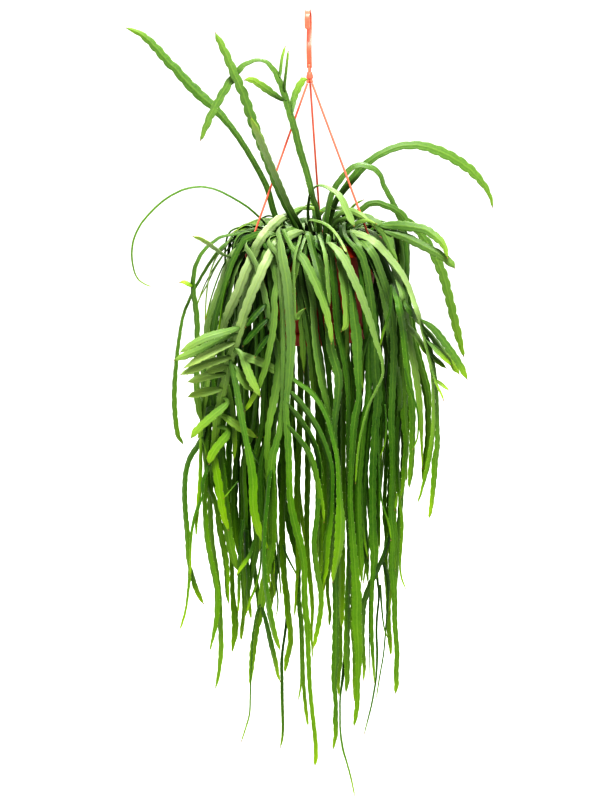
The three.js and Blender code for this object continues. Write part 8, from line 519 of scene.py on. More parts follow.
    ("xI1", "stem_back_left_long_5", 0, 1, [[-480,360,-2926,54,27,94,16,-31],[-454,476,-2838,60,28,92,10,-37],[-449,565,-2789,66,28,93,20,-32],[-462,627,-2775,70,28,89,34,-30],[-500,689,-2790,76,28,77,55,-32],[-562,729,-2833,81,28,54,77,-34],[-651,747,-2890,87,28,37,76,-53],[-769,748,-2950,104,28,27,68,-68],[-824,745,-2963,104,28,10,65,-75],[-892,733,-2994,105,28,29,66,-69],[-949,713,-3044,110,28,38,67,-64],[-994,689,-3103,113,28,46,68,-57],[-1044,646,-3203,113,28,52,69,-51],[-1105,571,-3376,113,28,54,68,-50],[-1185,482,-3582,113,28,53,69,-50],[-1300,387,-3856,105,28,58,72,-38],[-1343,338,-4077,104,28,62,75,-22],[-1379,301,-4383,101,28,63,77,-13],[-1395,289,-4577,97,28,63,77,-7],[-1404,283,-4811,93,28,63,78,-3],[-1410,280,-5088,88,28,62,78,-1],[-1414,280,-5365,83,28,62,78,0],[-1409,280,-5644,76,28,61,79,4],[-1370,280,-6041,74,28,58,81,10],[-1281,282,-6348,86,28,57,81,11],[-1258,277,-6587,103,28,60,80,5],[-1227,272,-6785,38,19,58,81,9]]),
    ("xI3", "stem_back_left_mid", 0, 1, [[-391,458,-2926,51,26,93,18,-31],[-386,479,-2899,52,26,91,7,-41],[-337,566,-2833,56,28,84,-8,-54],[-304,632,-2793,59,28,84,-8,-54],[-281,700,-2760,62,28,86,0,-50],[-271,793,-2726,66,28,88,17,-45],[-278,839,-2717,68,28,86,27,-43],[-294,885,-2716,70,28,83,35,-42],[-330,949,-2727,73,28,82,39,-41],[-381,1029,-2758,77,28,86,43,-27],[-424,1091,-2810,81,28,87,47,-14],[-450,1125,-2854,84,28,78,55,-30],[-498,1142,-2879,100,28,35,68,-65],[-614,1159,-2918,104,28,37,65,-67],[-683,1164,-2958,104,28,47,65,-59],[-741,1163,-3014,104,28,54,66,-51],[-813,1154,-3110,104,28,57,67,-46],[-875,1139,-3211,104,28,59,68,-44],[-944,1114,-3351,104,28,61,69,-40],[-997,1086,-3496,104,28,63,70,-33],[-1083,1025,-3792,104,28,63,69,-37],[-1139,996,-3938,104,28,67,67,-32],[-1162,969,-4091,104,28,74,64,-18],[-1175,943,-4288,104,28,68,73,-10],[-1170,930,-4445,98,28,67,74,3],[-1125,925,-4723,86,28,63,76,13],[-1061,931,-5003,79,28,63,77,15],[-1035,933,-5165,78,28,65,76,9],[-1019,933,-5370,85,28,66,75,3],[-1010,931,-5574,87,28,67,74,-1],[-1017,927,-5736,36,18,68,73,-6]]),
    ("xG1", "stem_back_middle_long_6", 0, 1, [[10,635,-2926,53,26,84,42,34],[-65,698,-2854,57,28,86,-10,50],[-80,725,-2809,59,28,91,-20,38],[-90,759,-2770,60,28,89,-14,43],[-110,824,-2731,63,28,82,8,56],[-128,878,-2718,64,28,78,17,60],[-148,939,-2714,66,28,76,24,61],[-215,1142,-2734,70,28,72,35,59],[-248,1235,-2757,72,28,70,48,52],[-251,1282,-2806,74,28,68,59,44],[-249,1318,-2864,76,28,67,65,35],[-249,1365,-2987,79,28,67,72,18],[-248,1386,-3127,82,28,67,74,7],[-247,1394,-3319,85,28,65,76,7],[-193,1396,-3594,87,28,63,76,16],[-143,1398,-3829,102,28,65,76,7],[-133,1396,-4110,109,28,67,75,0],[-121,1386,-4391,117,28,66,75,1],[-92,1374,-4629,118,28,65,76,4],[-65,1361,-4869,118,28,65,76,5],[8,1340,-5224,99,28,65,76,8],[26,1331,-5383,88,28,67,74,-2],[20,1321,-5544,91,28,68,73,-11],[-24,1299,-5906,102,28,68,73,-9],[-33,1281,-6190,102,28,68,73,-6],[-41,1260,-6515,102,28,68,73,-6],[-49,1242,-6800,102,28,68,73,-7],[-70,1222,-7127,102,28,68,73,-10],[-92,1204,-7413,38,19,68,73,-10]]),
    ("yA3", "stem_back_middle_short", 0, 1, [[40,120,-2926,52,26,-74,-58,34],[29,239,-2722,65,28,-69,-64,33],[10,359,-2518,78,28,-72,-64,29],[-22,480,-2313,85,28,-74,-63,24],[-58,584,-2141,92,28,-74,-63,21],[-126,750,-1865,101,28,-75,-64,19],[-200,917,-1586,109,28,-73,-65,19],[-256,1040,-1376,106,28,-74,-65,18],[-312,1162,-1164,102,28,-74,-65,17],[-354,1241,-1023,87,28,-74,-66,10],[-399,1300,-921,37,18,-74,-67,4]]),
    ("yB1", "stem_back_right_short_2", 0, 1, [[196,365,-2926,53,26,-68,64,-34],[191,381,-2885,54,27,-65,63,-43],[143,449,-2754,61,28,-60,61,-52],[128,486,-2690,64,28,-65,63,-42],[130,505,-2659,64,28,-68,66,-31],[152,547,-2598,64,28,-71,70,-11],[214,615,-2512,64,28,-74,67,2],[312,717,-2405,65,28,-75,65,8],[417,830,-2305,73,28,-77,63,5],[592,1039,-2120,88,28,-77,63,9],[708,1155,-2027,79,28,-73,65,19],[804,1237,-1966,72,28,-68,67,28],[909,1312,-1917,74,28,-62,69,37],[1018,1382,-1876,76,28,-56,70,44],[1134,1446,-1852,79,28,-44,73,52],[1253,1503,-1842,83,28,-36,73,58],[1373,1556,-1845,90,28,-24,74,62],[1492,1604,-1869,88,28,-12,75,65],[1608,1650,-1911,38,19,-1,74,67]]),
    ("yA2", "trailing_stems_extra_front_left", 0, 1, [[-60,-380,-2926,50,25,-71,70,-1],[-74,-393,-2859,54,27,-73,68,-3],[-139,-475,-2664,67,28,-81,59,3],[-186,-548,-2546,76,28,-83,55,2],[-239,-636,-2433,82,28,-83,56,-3],[-307,-737,-2290,89,28,-84,53,6],[-362,-846,-2139,94,28,-84,54,9],[-429,-982,-1952,100,28,-83,54,9],[-533,-1187,-1658,109,28,-83,55,10],[-583,-1282,-1513,114,28,-82,57,7],[-657,-1414,-1298,92,28,-82,57,7],[-708,-1500,-1157,36,18,-82,57,4]]),
    ("v0", "trailing_stems_extra_front_right", 0, 1, [[433,-170,-2955,42,26,88,31,-36],[443,-131,-2894,48,26,88,24,-40],[470,-59,-2823,59,26,84,15,-52],[503,-7,-2763,70,26,73,19,-65],[529,14,-2731,81,26,60,59,-54],[511,-29,-2732,92,26,88,-43,-21],[478,-102,-2740,92,26,94,-32,-9],[465,-146,-2743,92,26,97,-22,-5],[453,-243,-2747,92,26,100,-4,-3],[455,-343,-2753,92,26,100,8,-4],[473,-488,-2771,92,26,99,16,-6],[512,-727,-2822,92,26,98,21,-8],[520,-765,-2837,92,26,95,29,-8],[536,-804,-2875,92,26,89,45,5],[563,-858,-2963,92,26,93,38,-1],[575,-899,-3045,92,26,94,33,-5],[580,-927,-3151,92,26,95,32,-2],[586,-944,-3259,92,26,95,31,3],[607,-962,-3590,92,26,97,24,2],[613,-959,-3740,92,26,97,23,9],[631,-940,-4004,92,26,95,32,4],[626,-923,-4308,92,26,94,35,2],[629,-913,-4574,92,26,95,30,-1],[612,-908,-4764,92,26,95,26,-18],[567,-906,-4949,92,26,96,21,-20],[543,-904,-5100,92,26,97,19,-12],[502,-898,-5482,92,26,99,11,-10],[464,-886,-5868,92,26,99,14,-5],[459,-869,-6220,92,26,99,13,2],[467,-851,-6496,92,26,99,10,4],[476,-832,-6774,92,26,99,16,4],[485,-810,-7093,24,26,98,22,4]]),
    ("v1", "trailing_stems_extra_left", 0, 1, [[-524,-256,-2955,42,26,95,7,31],[-544,-203,-2908,44,26,95,17,26],[-575,-104,-2878,49,26,96,24,15],[-612,29,-2835,57,26,97,19,15],[-620,66,-2822,59,26,98,12,17],[-619,83,-2793,64,26,92,4,-38],[-600,37,-2766,64,26,94,24,-24],[-575,-52,-2736,64,26,99,14,-7],[-573,-152,-2734,64,26,100,-8,1],[-595,-257,-2738,64,26,92,-39,1],[-635,-316,-2730,64,26,72,-69,8],[-696,-361,-2721,64,26,51,-86,6],[-764,-399,-2723,64,26,54,-83,-13],[-819,-444,-2744,64,26,84,-52,-14],[-832,-471,-2761,64,26,97,-26,1],[-833,-500,-2781,64,26,98,0,22],[-822,-529,-2804,64,26,90,14,40],[-779,-580,-2855,64,26,79,9,61],[-735,-615,-2914,64,26,85,-10,52],[-703,-647,-3017,64,26,96,-17,21],[-693,-689,-3124,64,26,98,-18,11],[-690,-711,-3236,64,26,98,-20,4],[-682,-709,-3507,64,26,98,-18,3],[-673,-707,-3773,64,26,98,-22,2],[-669,-709,-4075,64,26,99,-16,1],[-667,-716,-4340,64,26,99,-11,1],[-666,-709,-4455,64,26,100,-7,-1],[-677,-670,-4692,64,26,100,-3,-9],[-711,-630,-5043,64,26,98,-9,-16],[-741,-610,-5198,64,26,97,-7,-25],[-814,-569,-5467,64,26,97,-8,-24],[-839,-548,-5624,64,26,99,-14,-10],[-844,-533,-5783,64,26,99,-15,1],[-833,-514,-6022,64,26,99,-9,4],[-830,-497,-6261,64,26,100,-7,-2],[-835,-478,-6463,64,26,100,-6,-4],[-846,-451,-6666,64,26,99,-3,-11],[-885,-414,-6870,64,26,98,-2,-22],[-963,-329,-7243,64,26,98,-7,-20],[-985,-298,-7370,64,26,98,-9,-16],[-1009,-240,-7586,39,26,98,-11,-17],[-1036,-200,-7714,24,26,96,-7,-27]]),
    ("v2", "trailing_stems_extra_left", 0, 1, [[-536,-256,-2955,42,26,77,-15,62],[-559,-189,-2909,46,26,84,4,55],[-616,3,-2871,59,26,93,20,31],[-648,107,-2845,67,26,88,15,44],[-661,145,-2831,71,26,85,3,52],[-665,179,-2805,79,26,69,-73,-4],[-648,163,-2781,79,26,61,-18,-77],[-625,85,-2753,79,26,97,9,-24],[-623,20,-2749,79,26,100,-4,3],[-638,-80,-2757,79,26,95,-30,2],[-668,-141,-2754,79,26,81,-58,-2],[-720,-194,-2743,79,26,62,-79,1],[-824,-262,-2740,79,26,57,-82,-2],[-880,-309,-2761,79,26,77,-63,8],[-894,-335,-2778,79,26,85,-45,27],[-895,-362,-2799,79,26,79,-31,54],[-886,-390,-2821,79,26,62,-29,73],[-844,-450,-2871,79,26,47,-35,81],[-799,-504,-2928,79,26,57,-52,64],[-785,-520,-2961,79,26,64,-64,43],[-770,-529,-3033,79,26,70,-70,15],[-762,-569,-3295,79,26,65,-76,5],[-758,-569,-3566,79,26,60,-80,0],[-755,-567,-3833,79,26,58,-81,0],[-756,-569,-4060,79,26,53,-85,1],[-759,-574,-4288,79,26,54,-84,0],[-761,-569,-4442,79,26,55,-83,-8],[-773,-537,-4678,79,26,55,-82,-18],[-818,-490,-5070,79,26,59,-79,-19],[-851,-469,-5226,79,26,56,-79,-26],[-929,-429,-5496,79,26,60,-76,-26],[-958,-409,-5653,79,26,66,-74,-16],[-966,-393,-5813,79,26,69,-72,-6],[-958,-369,-6133,79,26,71,-70,-5],[-966,-345,-6415,79,26,70,-71,-10],[-981,-316,-6660,45,26,69,-70,-17],[-998,-297,-6782,24,26,70,-68,-22]]),
    ("v3", "trailing_stems_extra_left", 0, 1, [[-270,-200,-2955,42,26,93,-25,-28],[-245,-151,-2915,46,26,91,-33,-24],[-109,100,-2848,68,26,87,-48,-12],[-66,181,-2833,77,26,93,-36,-10],[-57,212,-2826,82,26,98,-19,-8],[-55,251,-2812,82,26,99,13,1],[-67,259,-2789,82,26,87,-30,40],[-83,229,-2773,82,26,93,-34,16],[-105,168,-2757,82,26,96,-28,8],[-118,121,-2748,82,26,96,-27,6],[-135,63,-2741,82,26,96,-28,3],[-157,-8,-2739,82,26,96,-29,-1],[-181,-92,-2744,82,26,96,-26,-3],[-207,-189,-2753,82,26,97,-23,-4],[-231,-299,-2765,82,26,98,-19,-4],[-253,-424,-2777,82,26,99,-16,-3],[-292,-702,-2801,82,26,99,-15,-4],[-311,-808,-2817,82,26,98,-20,-10],[-329,-862,-2842,82,26,91,-21,-36],[-347,-874,-2872,82,26,84,19,-50],[-366,-865,-2905,82,26,88,34,-34],[-384,-847,-2940,82,26,91,36,-23],[-451,-730,-3090,82,26,93,32,-16],[-532,-611,-3319,82,26,94,30,-16],[-587,-517,-3474,82,26,94,31,-13],[-629,-428,-3595,82,26,95,30,-8],[-697,-240,-3805,82,26,95,31,-5],[-724,-181,-3888,82,26,94,34,-10],[-763,-125,-4006,82,26,92,33,-20],[-816,-90,-4158,82,26,92,27,-29],[-886,-76,-4381,82,26,95,21,-23],[-934,-77,-4609,82,26,97,17,-20],[-969,-78,-4800,82,26,98,12,-15],[-1007,-80,-5109,82,26,99,5,-11],[-1042,-82,-5420,82,26,99,10,-11],[-1071,-84,-5694,82,26,99,4,-10],[-1103,-86,-6008,82,26,99,8,-10],[-1116,-87,-6205,82,26,100,7,-2],[-1113,-88,-6562,82,26,100,-3,3],[-1090,-87,-6880,24,26,99,-3,12]]),
    ("v4", "trailing_stems_extra_front_left", 0, 1, [[57,-409,-2955,42,26,73,-64,23],[40,-413,-2909,45,26,65,-70,30],[-23,-425,-2865,55,26,38,-88,29],[-88,-449,-2830,64,26,57,-81,10],[-117,-480,-2811,70,26,85,-52,-8],[-140,-547,-2790,70,26,96,-25,-11],[-149,-607,-2781,70,26,100,-3,-5],[-148,-647,-2781,70,26,100,9,2],[-140,-699,-2783,70,26,98,16,10],[-109,-838,-2801,70,26,93,21,29],[-90,-897,-2818,70,26,82,11,56],[-70,-930,-2841,70,26,59,-32,74],[-52,-942,-2868,70,26,59,-63,50],[-22,-941,-2929,70,26,71,-68,16],[-10,-932,-2961,70,26,76,-65,2],[22,-882,-3064,70,26,76,-65,-3],[37,-868,-3132,70,26,73,-68,9],[45,-878,-3235,70,26,75,-65,14],[49,-921,-3485,70,26,79,-61,9],[55,-943,-3780,70,26,81,-58,5],[65,-944,-3891,70,26,83,-55,13],[98,-942,-4074,70,26,84,-53,10],[139,-926,-4451,70,26,89,-46,3],[139,-912,-4719,70,26,91,-42,-5],[125,-896,-5027,70,26,92,-38,-5],[116,-881,-5336,70,26,92,-40,-5],[104,-866,-5647,70,26,90,-43,-5],[93,-853,-5959,24,26,89,-45,-5]]),
    ("v5", "trailing_stems_extra_left", 0, 1, [[-457,-256,-2955,42,26,96,14,-22],[-457,-189,-2912,46,26,98,6,-17],[-446,3,-2876,57,26,99,-8,-11],[-433,107,-2851,64,26,98,-11,-17],[-426,145,-2838,67,26,96,-14,-25],[-409,179,-2812,75,26,73,29,-62],[-391,163,-2788,75,26,90,43,-4],[-375,114,-2767,75,26,97,22,5],[-369,53,-2756,75,26,100,1,2],[-379,-47,-2761,75,26,98,-22,2],[-401,-111,-2763,75,26,80,-39,46],[-444,-169,-2755,75,26,32,-14,94],[-545,-242,-2744,75,26,9,-15,98],[-581,-268,-2746,75,26,18,-34,92],[-613,-300,-2753,75,26,57,-56,60],[-637,-344,-2763,75,26,90,-38,21],[-651,-405,-2775,75,26,99,-12,7],[-653,-486,-2788,75,26,100,5,1],[-643,-576,-2802,75,26,99,17,-2],[-624,-656,-2819,75,26,95,30,-1],[-601,-711,-2841,75,26,89,46,5],[-578,-740,-2868,75,26,82,54,20],[-559,-753,-2900,75,26,82,46,33],[-546,-751,-2934,75,26,88,33,33],[-538,-735,-2972,75,26,92,28,28],[-531,-691,-3053,75,26,93,32,20],[-530,-661,-3133,75,26,92,38,12],[-534,-603,-3374,75,26,90,42,8],[-535,-576,-3533,75,26,90,44,5],[-535,-567,-3801,75,26,87,49,-1],[-542,-570,-4104,75,26,88,48,-4],[-550,-574,-4370,75,26,86,50,-1],[-554,-566,-4487,75,26,87,50,2],[-564,-543,-4644,75,26,86,51,-1],[-596,-507,-4919,75,26,85,53,-5],[-627,-485,-5115,75,26,87,48,-12],[-678,-458,-5308,75,26,87,45,-20],[-738,-429,-5501,75,26,87,46,-18],[-769,-409,-5658,75,26,89,44,-6],[-780,-393,-5818,75,26,89,46,3],[-777,-374,-6058,75,26,88,47,4],[-783,-356,-6298,75,26,84,55,0],[-795,-337,-6501,75,26,81,59,1],[-814,-310,-6705,75,26,76,65,-1],[-870,-265,-6950,75,26,74,68,-5],[-961,-178,-7326,75,26,74,68,1],[-1009,-99,-7628,43,26,78,62,4],[-1041,-60,-7756,24,26,78,62,-4]]),
    ("v6", "trailing_stems_extra_front_right", 0, 1, [[455,-170,-2955,42,26,98,-17,-14],[473,-118,-2896,44,26,97,-21,-15],[513,-21,-2829,49,26,93,-32,-19],[560,54,-2773,54,26,85,-45,-28],[582,80,-2754,56,26,79,-53,-32],[605,97,-2741,61,26,94,32,-10],[588,67,-2746,64,26,87,-49,-7],[555,-2,-2755,64,26,94,-34,-2],[542,-46,-2758,64,26,97,-23,0],[529,-143,-2763,64,26,100,-4,1],[536,-293,-2774,64,26,99,10,3],[556,-449,-2793,64,26,99,12,5],[578,-646,-2817,64,26,99,12,7],[586,-698,-2829,64,26,98,15,15],[594,-724,-2845,64,26,93,7,36],[618,-736,-2909,64,26,93,-17,34],[632,-751,-2955,64,26,95,-10,31],[644,-775,-3003,64,26,96,-14,24],[651,-799,-3062,64,26,97,-22,14],[655,-827,-3168,64,26,96,-27,10],[662,-844,-3277,64,26,96,-27,10],[682,-862,-3609,64,26,95,-30,3],[689,-859,-3759,64,26,95,-29,6],[707,-840,-4024,64,26,97,-23,0],[702,-823,-4329,64,26,97,-24,-1],[705,-813,-4596,64,26,96,-27,-3],[689,-808,-4786,64,26,94,-28,-18],[644,-806,-4972,64,26,94,-28,-20],[620,-804,-5124,64,26,96,-24,-12],[578,-798,-5507,64,26,98,-17,-11],[541,-786,-5894,64,26,99,-11,-6],[535,-775,-6129,64,26,99,-11,0],[537,-764,-6327,64,26,100,-8,2],[545,-748,-6564,64,26,100,-5,3],[554,-732,-6803,64,26,100,-1,3],[563,-710,-7124,24,26,100,-5,2]]),
    ("v7", "trailing_stems_extra_left", 0, 1, [[-247,-200,-2955,42,26,84,-54,-1],[-215,-151,-2915,44,26,84,-54,-1],[-43,100,-2850,56,26,81,-59,-1],[12,181,-2835,60,26,88,-47,1],[25,212,-2828,62,26,95,-31,6],[29,251,-2814,62,26,95,-11,30],[19,259,-2791,62,26,83,-56,3],[5,229,-2776,62,26,92,-38,-5],[-16,168,-2759,62,26,95,-29,-6],[-29,121,-2751,62,26,96,-28,-4],[-45,63,-2744,62,26,96,-28,-2],[-66,-8,-2742,62,26,96,-28,0],[-90,-92,-2746,62,26,96,-26,2],[-115,-190,-2756,62,26,97,-23,4],[-139,-302,-2767,62,26,98,-19,4],[-160,-431,-2779,62,26,99,-15,3],[-199,-720,-2800,62,26,99,-15,4],[-217,-832,-2817,62,26,97,-22,7],[-235,-891,-2840,62,26,89,-45,3],[-253,-906,-2870,62,26,74,-58,-34],[-270,-900,-2903,62,26,75,-40,-52],[-288,-885,-2937,62,26,80,-26,-54],[-351,-783,-3085,62,26,86,-25,-45],[-465,-637,-3423,62,26,89,-22,-41],[-504,-578,-3538,62,26,90,-19,-40],[-579,-445,-3774,62,26,90,-22,-38],[-639,-361,-3968,62,26,91,-16,-38],[-652,-333,-4009,62,26,93,-10,-36],[-665,-293,-4053,62,26,94,-5,-33],[-692,-184,-4145,62,26,94,-4,-33],[-705,-139,-4189,62,26,93,-10,-36],[-718,-108,-4231,62,26,90,-19,-39],[-730,-91,-4271,62,26,89,-29,-36],[-750,-78,-4347,62,26,89,-38,-25],[-816,-77,-4689,62,26,92,-37,-16],[-843,-79,-4880,62,26,94,-31,-10],[-881,-81,-5268,62,26,96,-28,-9],[-911,-83,-5620,62,26,96,-28,-8],[-934,-85,-5894,62,26,96,-27,-8],[-953,-87,-6169,62,26,94,-34,-2],[-948,-88,-6447,62,26,93,-36,3],[-936,-88,-6686,62,26,95,-31,7],[-893,-87,-7044,62,26,97,-24,11],[-857,-86,-7364,62,26,97,-21,8],[-845,-86,-7606,48,26,98,-19,3],[-840,-86,-7808,24,26,99,-13,2]]),
    ("v8", "trailing_stems_extra_front_right", 0, 1, [[460,-241,-2955,42,26,57,-81,14],[445,-243,-2900,47,26,56,-81,17],[417,-247,-2836,56,26,58,-80,16],[387,-238,-2699,76,26,58,-80,17],[374,-244,-2671,81,26,64,-77,0],[361,-259,-2649,85,26,78,-59,-19],[352,-285,-2634,85,26,92,-30,-23],[348,-316,-2628,85,26,100,-7,-7],[350,-384,-2637,85,26,94,-5,33],[359,-577,-2697,85,26,92,0,38],[373,-663,-2722,85,26,82,1,58],[388,-714,-2739,85,26,57,-10,81],[414,-776,-2764,85,26,31,-27,91],[441,-818,-2788,85,26,22,-49,85],[469,-836,-2812,85,26,21,-78,58],[511,-848,-2856,85,26,34,-84,43],[570,-854,-2948,85,26,55,-80,26],[607,-851,-3056,85,26,63,-76,13],[675,-823,-3433,85,26,71,-70,5],[700,-808,-3660,85,26,69,-72,2],[719,-798,-3888,85,26,72,-70,2],[729,-786,-4117,85,26,72,-70,-2],[736,-771,-4347,85,26,74,-67,-1],[770,-744,-4693,85,26,69,-72,-1],[768,-738,-4846,85,26,69,-72,-7],[749,-736,-5037,85,26,68,-73,-6],[731,-738,-5266,85,26,71,-71,-4],[717,-737,-5534,85,26,70,-71,-4],[708,-732,-5767,85,26,68,-73,-3],[708,-721,-6080,85,26,69,-72,-3],[710,-706,-6357,85,26,70,-71,-3],[723,-688,-6674,24,26,71,-70,2]]),
    ("v9", "trailing_stems_extra_left", 0, 1, [[-492,-91,-2955,42,26,77,24,-59],[-476,-22,-2906,47,26,83,6,-56],[-419,174,-2860,61,26,92,-15,-35],[-408,230,-2845,66,26,93,-2,-37],[-404,278,-2826,71,26,90,19,-38],[-407,316,-2800,76,26,83,44,-34],[-413,341,-2769,81,26,75,63,-20],[-420,353,-2734,85,26,68,73,-1],[-426,353,-2699,85,26,66,72,18],[-427,343,-2668,85,26,71,63,30],[-417,305,-2632,85,26,92,36,15],[-402,258,-2642,85,26,88,35,-33],[-410,214,-2687,85,26,59,45,-67],[-429,193,-2714,85,26,31,58,-75],[-458,174,-2738,85,26,-15,85,-51],[-496,155,-2758,85,26,-54,72,43],[-537,135,-2773,85,26,-41,29,87],[-577,113,-2782,85,26,-24,7,97],[-612,86,-2788,85,26,-6,-5,100],[-641,47,-2790,85,26,15,-9,98],[-665,-12,-2789,85,26,39,-10,92],[-687,-100,-2786,85,26,64,-11,76],[-709,-220,-2783,85,26,85,-14,51],[-730,-355,-2783,85,26,96,-16,23],[-748,-468,-2789,85,26,99,-16,-6],[-761,-533,-2802,85,26,90,1,-43],[-764,-558,-2823,85,26,78,51,-37],[-742,-584,-2875,85,26,65,76,3],[-701,-603,-2942,85,26,53,79,30],[-682,-596,-2981,85,26,52,74,43],[-651,-569,-3062,85,26,55,74,38],[-617,-558,-3179,85,26,57,81,15],[-555,-556,-3442,85,26,53,84,15],[-514,-528,-3748,85,26,54,84,10],[-490,-543,-3856,85,26,58,81,-8],[-448,-586,-3995,85,26,54,84,4],[-437,-589,-4031,85,26,50,84,23],[-426,-579,-4069,85,26,49,75,44],[-402,-501,-4195,85,26,52,74,43],[-395,-479,-4274,85,26,52,85,12],[-396,-476,-4351,85,26,52,86,-3],[-412,-469,-4466,85,26,51,86,3],[-487,-393,-4820,85,26,46,89,8],[-548,-344,-5096,85,26,49,87,3],[-578,-316,-5294,85,26,47,88,6],[-593,-290,-5573,85,26,53,84,6],[-585,-273,-5852,85,26,57,82,6],[-581,-261,-6092,85,26,62,79,5],[-579,-245,-6413,24,26,57,82,4]]),
    ("v10", "trailing_stems_extra_front_right", 0, 1, [[14,-340,-2955,42,26,97,-21,9],[20,-288,-2906,47,26,98,-17,9],[42,-89,-2835,67,26,98,-16,7],[54,-19,-2802,76,26,97,-23,8],[58,5,-2773,86,26,94,-34,2],[55,-37,-2744,86,26,100,-2,-7],[57,-100,-2741,86,26,100,4,1],[59,-150,-2744,86,26,100,4,2],[62,-226,-2747,86,26,100,4,1],[66,-340,-2750,86,26,100,3,0],[71,-498,-2750,86,26,100,3,0],[76,-676,-2751,86,26,100,4,1],[83,-825,-2758,86,26,100,5,4],[90,-909,-2776,86,26,99,7,14],[98,-936,-2803,86,26,94,-11,31],[106,-938,-2836,86,26,94,-25,24],[124,-923,-2906,86,26,95,-29,12],[152,-860,-3022,86,26,95,-28,9],[180,-820,-3136,86,26,95,-27,16],[247,-749,-3440,86,26,97,-23,12],[291,-680,-3749,86,26,97,-24,6],[299,-671,-3827,86,26,97,-24,8],[332,-663,-4129,86,26,94,-30,16],[404,-652,-4387,86,26,92,-34,21],[423,-648,-4500,86,26,94,-33,5],[416,-640,-4691,86,26,94,-32,-10],[377,-623,-5037,86,26,93,-36,-11],[367,-615,-5191,86,26,92,-38,-2],[383,-596,-5543,86,26,95,-32,4],[402,-579,-5857,86,26,95,-31,4],[422,-560,-6212,86,26,94,-33,-1],[412,-542,-6569,86,26,94,-33,-6],[386,-525,-6887,86,26,95,-30,-8],[374,-511,-7167,86,26,95,-30,-3],[384,-495,-7489,24,26,94,-35,-1]]),
    ("v11", "trailing_stems_extra_front_right", 0, 1, [[460,-241,-2955,42,26,91,41,12],[445,-223,-2903,48,26,89,43,13],[411,-165,-2812,65,26,94,34,-1],[400,-133,-2745,77,26,93,36,10],[390,-124,-2714,82,26,88,39,27],[364,-129,-2666,94,26,84,4,54],[352,-167,-2647,94,26,100,-7,2],[361,-384,-2710,94,26,99,10,-5],[379,-500,-2744,94,26,97,25,-1],[403,-572,-2770,94,26,93,37,3],[439,-656,-2801,94,26,94,34,1],[460,-717,-2814,94,26,93,36,2],[476,-751,-2824,94,26,87,48,9],[496,-775,-2842,94,26,74,57,35],[519,-782,-2866,94,26,72,32,61],[561,-759,-2929,94,26,86,6,50],[593,-728,-3001,94,26,92,8,38],[618,-703,-3078,94,26,94,14,30],[636,-688,-3154,94,26,95,19,23],[694,-660,-3497,94,26,97,17,14],[728,-641,-3840,94,26,98,17,9],[744,-628,-4108,94,26,98,22,5],[754,-610,-4378,94,26,97,22,8],[784,-590,-4648,94,26,96,25,10],[792,-581,-4803,94,26,96,27,0],[763,-577,-5148,94,26,92,40,-8],[745,-578,-5456,94,26,91,42,-4],[733,-574,-5767,24,26,91,42,-2]]),
    ("v12", "trailing_stems_extra_left", 0, 1, [[-513,-256,-2955,42,26,98,12,17],[-531,-169,-2913,45,26,98,15,11],[-571,82,-2883,56,26,99,14,4],[-592,221,-2862,63,26,99,15,6],[-600,273,-2850,66,26,99,11,7],[-604,309,-2839,69,26,100,-1,5],[-594,330,-2816,73,26,83,5,-56],[-569,274,-2783,73,26,98,18,-9],[-563,213,-2772,73,26,100,1,-1],[-573,113,-2777,73,26,98,-21,-1],[-595,49,-2780,73,26,89,-46,2],[-638,-9,-2772,73,26,70,-70,12],[-739,-84,-2760,73,26,59,-80,0],[-807,-148,-2768,73,26,83,-55,-9],[-831,-196,-2778,73,26,94,-32,-5],[-845,-257,-2790,73,26,99,-11,-1],[-847,-327,-2805,73,26,100,5,3],[-837,-395,-2822,73,26,98,20,9],[-818,-452,-2842,73,26,94,31,17],[-772,-533,-2892,73,26,88,29,37],[-753,-555,-2922,73,26,90,8,43],[-740,-556,-2957,73,26,96,-13,24],[-732,-536,-2996,73,26,99,-10,8],[-725,-453,-3120,73,26,100,-3,0],[-727,-421,-3241,73,26,100,-1,-2],[-731,-411,-3477,73,26,100,-2,-1],[-732,-407,-3747,73,26,100,-4,-1],[-740,-409,-4090,73,26,100,-6,-3],[-750,-414,-4396,73,26,100,-6,-3],[-759,-395,-4591,73,26,100,-2,-7],[-794,-352,-4908,73,26,99,1,-12],[-832,-325,-5144,73,26,98,5,-20],[-884,-298,-5338,73,26,95,10,-28],[-945,-269,-5532,73,26,96,9,-26],[-977,-249,-5690,73,26,99,9,-12],[-989,-233,-5851,73,26,100,8,-1],[-988,-209,-6172,73,26,99,11,-1],[-1002,-185,-6455,73,26,99,11,-6],[-1022,-156,-6701,42,26,99,14,-10],[-1042,-137,-6824,24,26,97,15,-16]]),
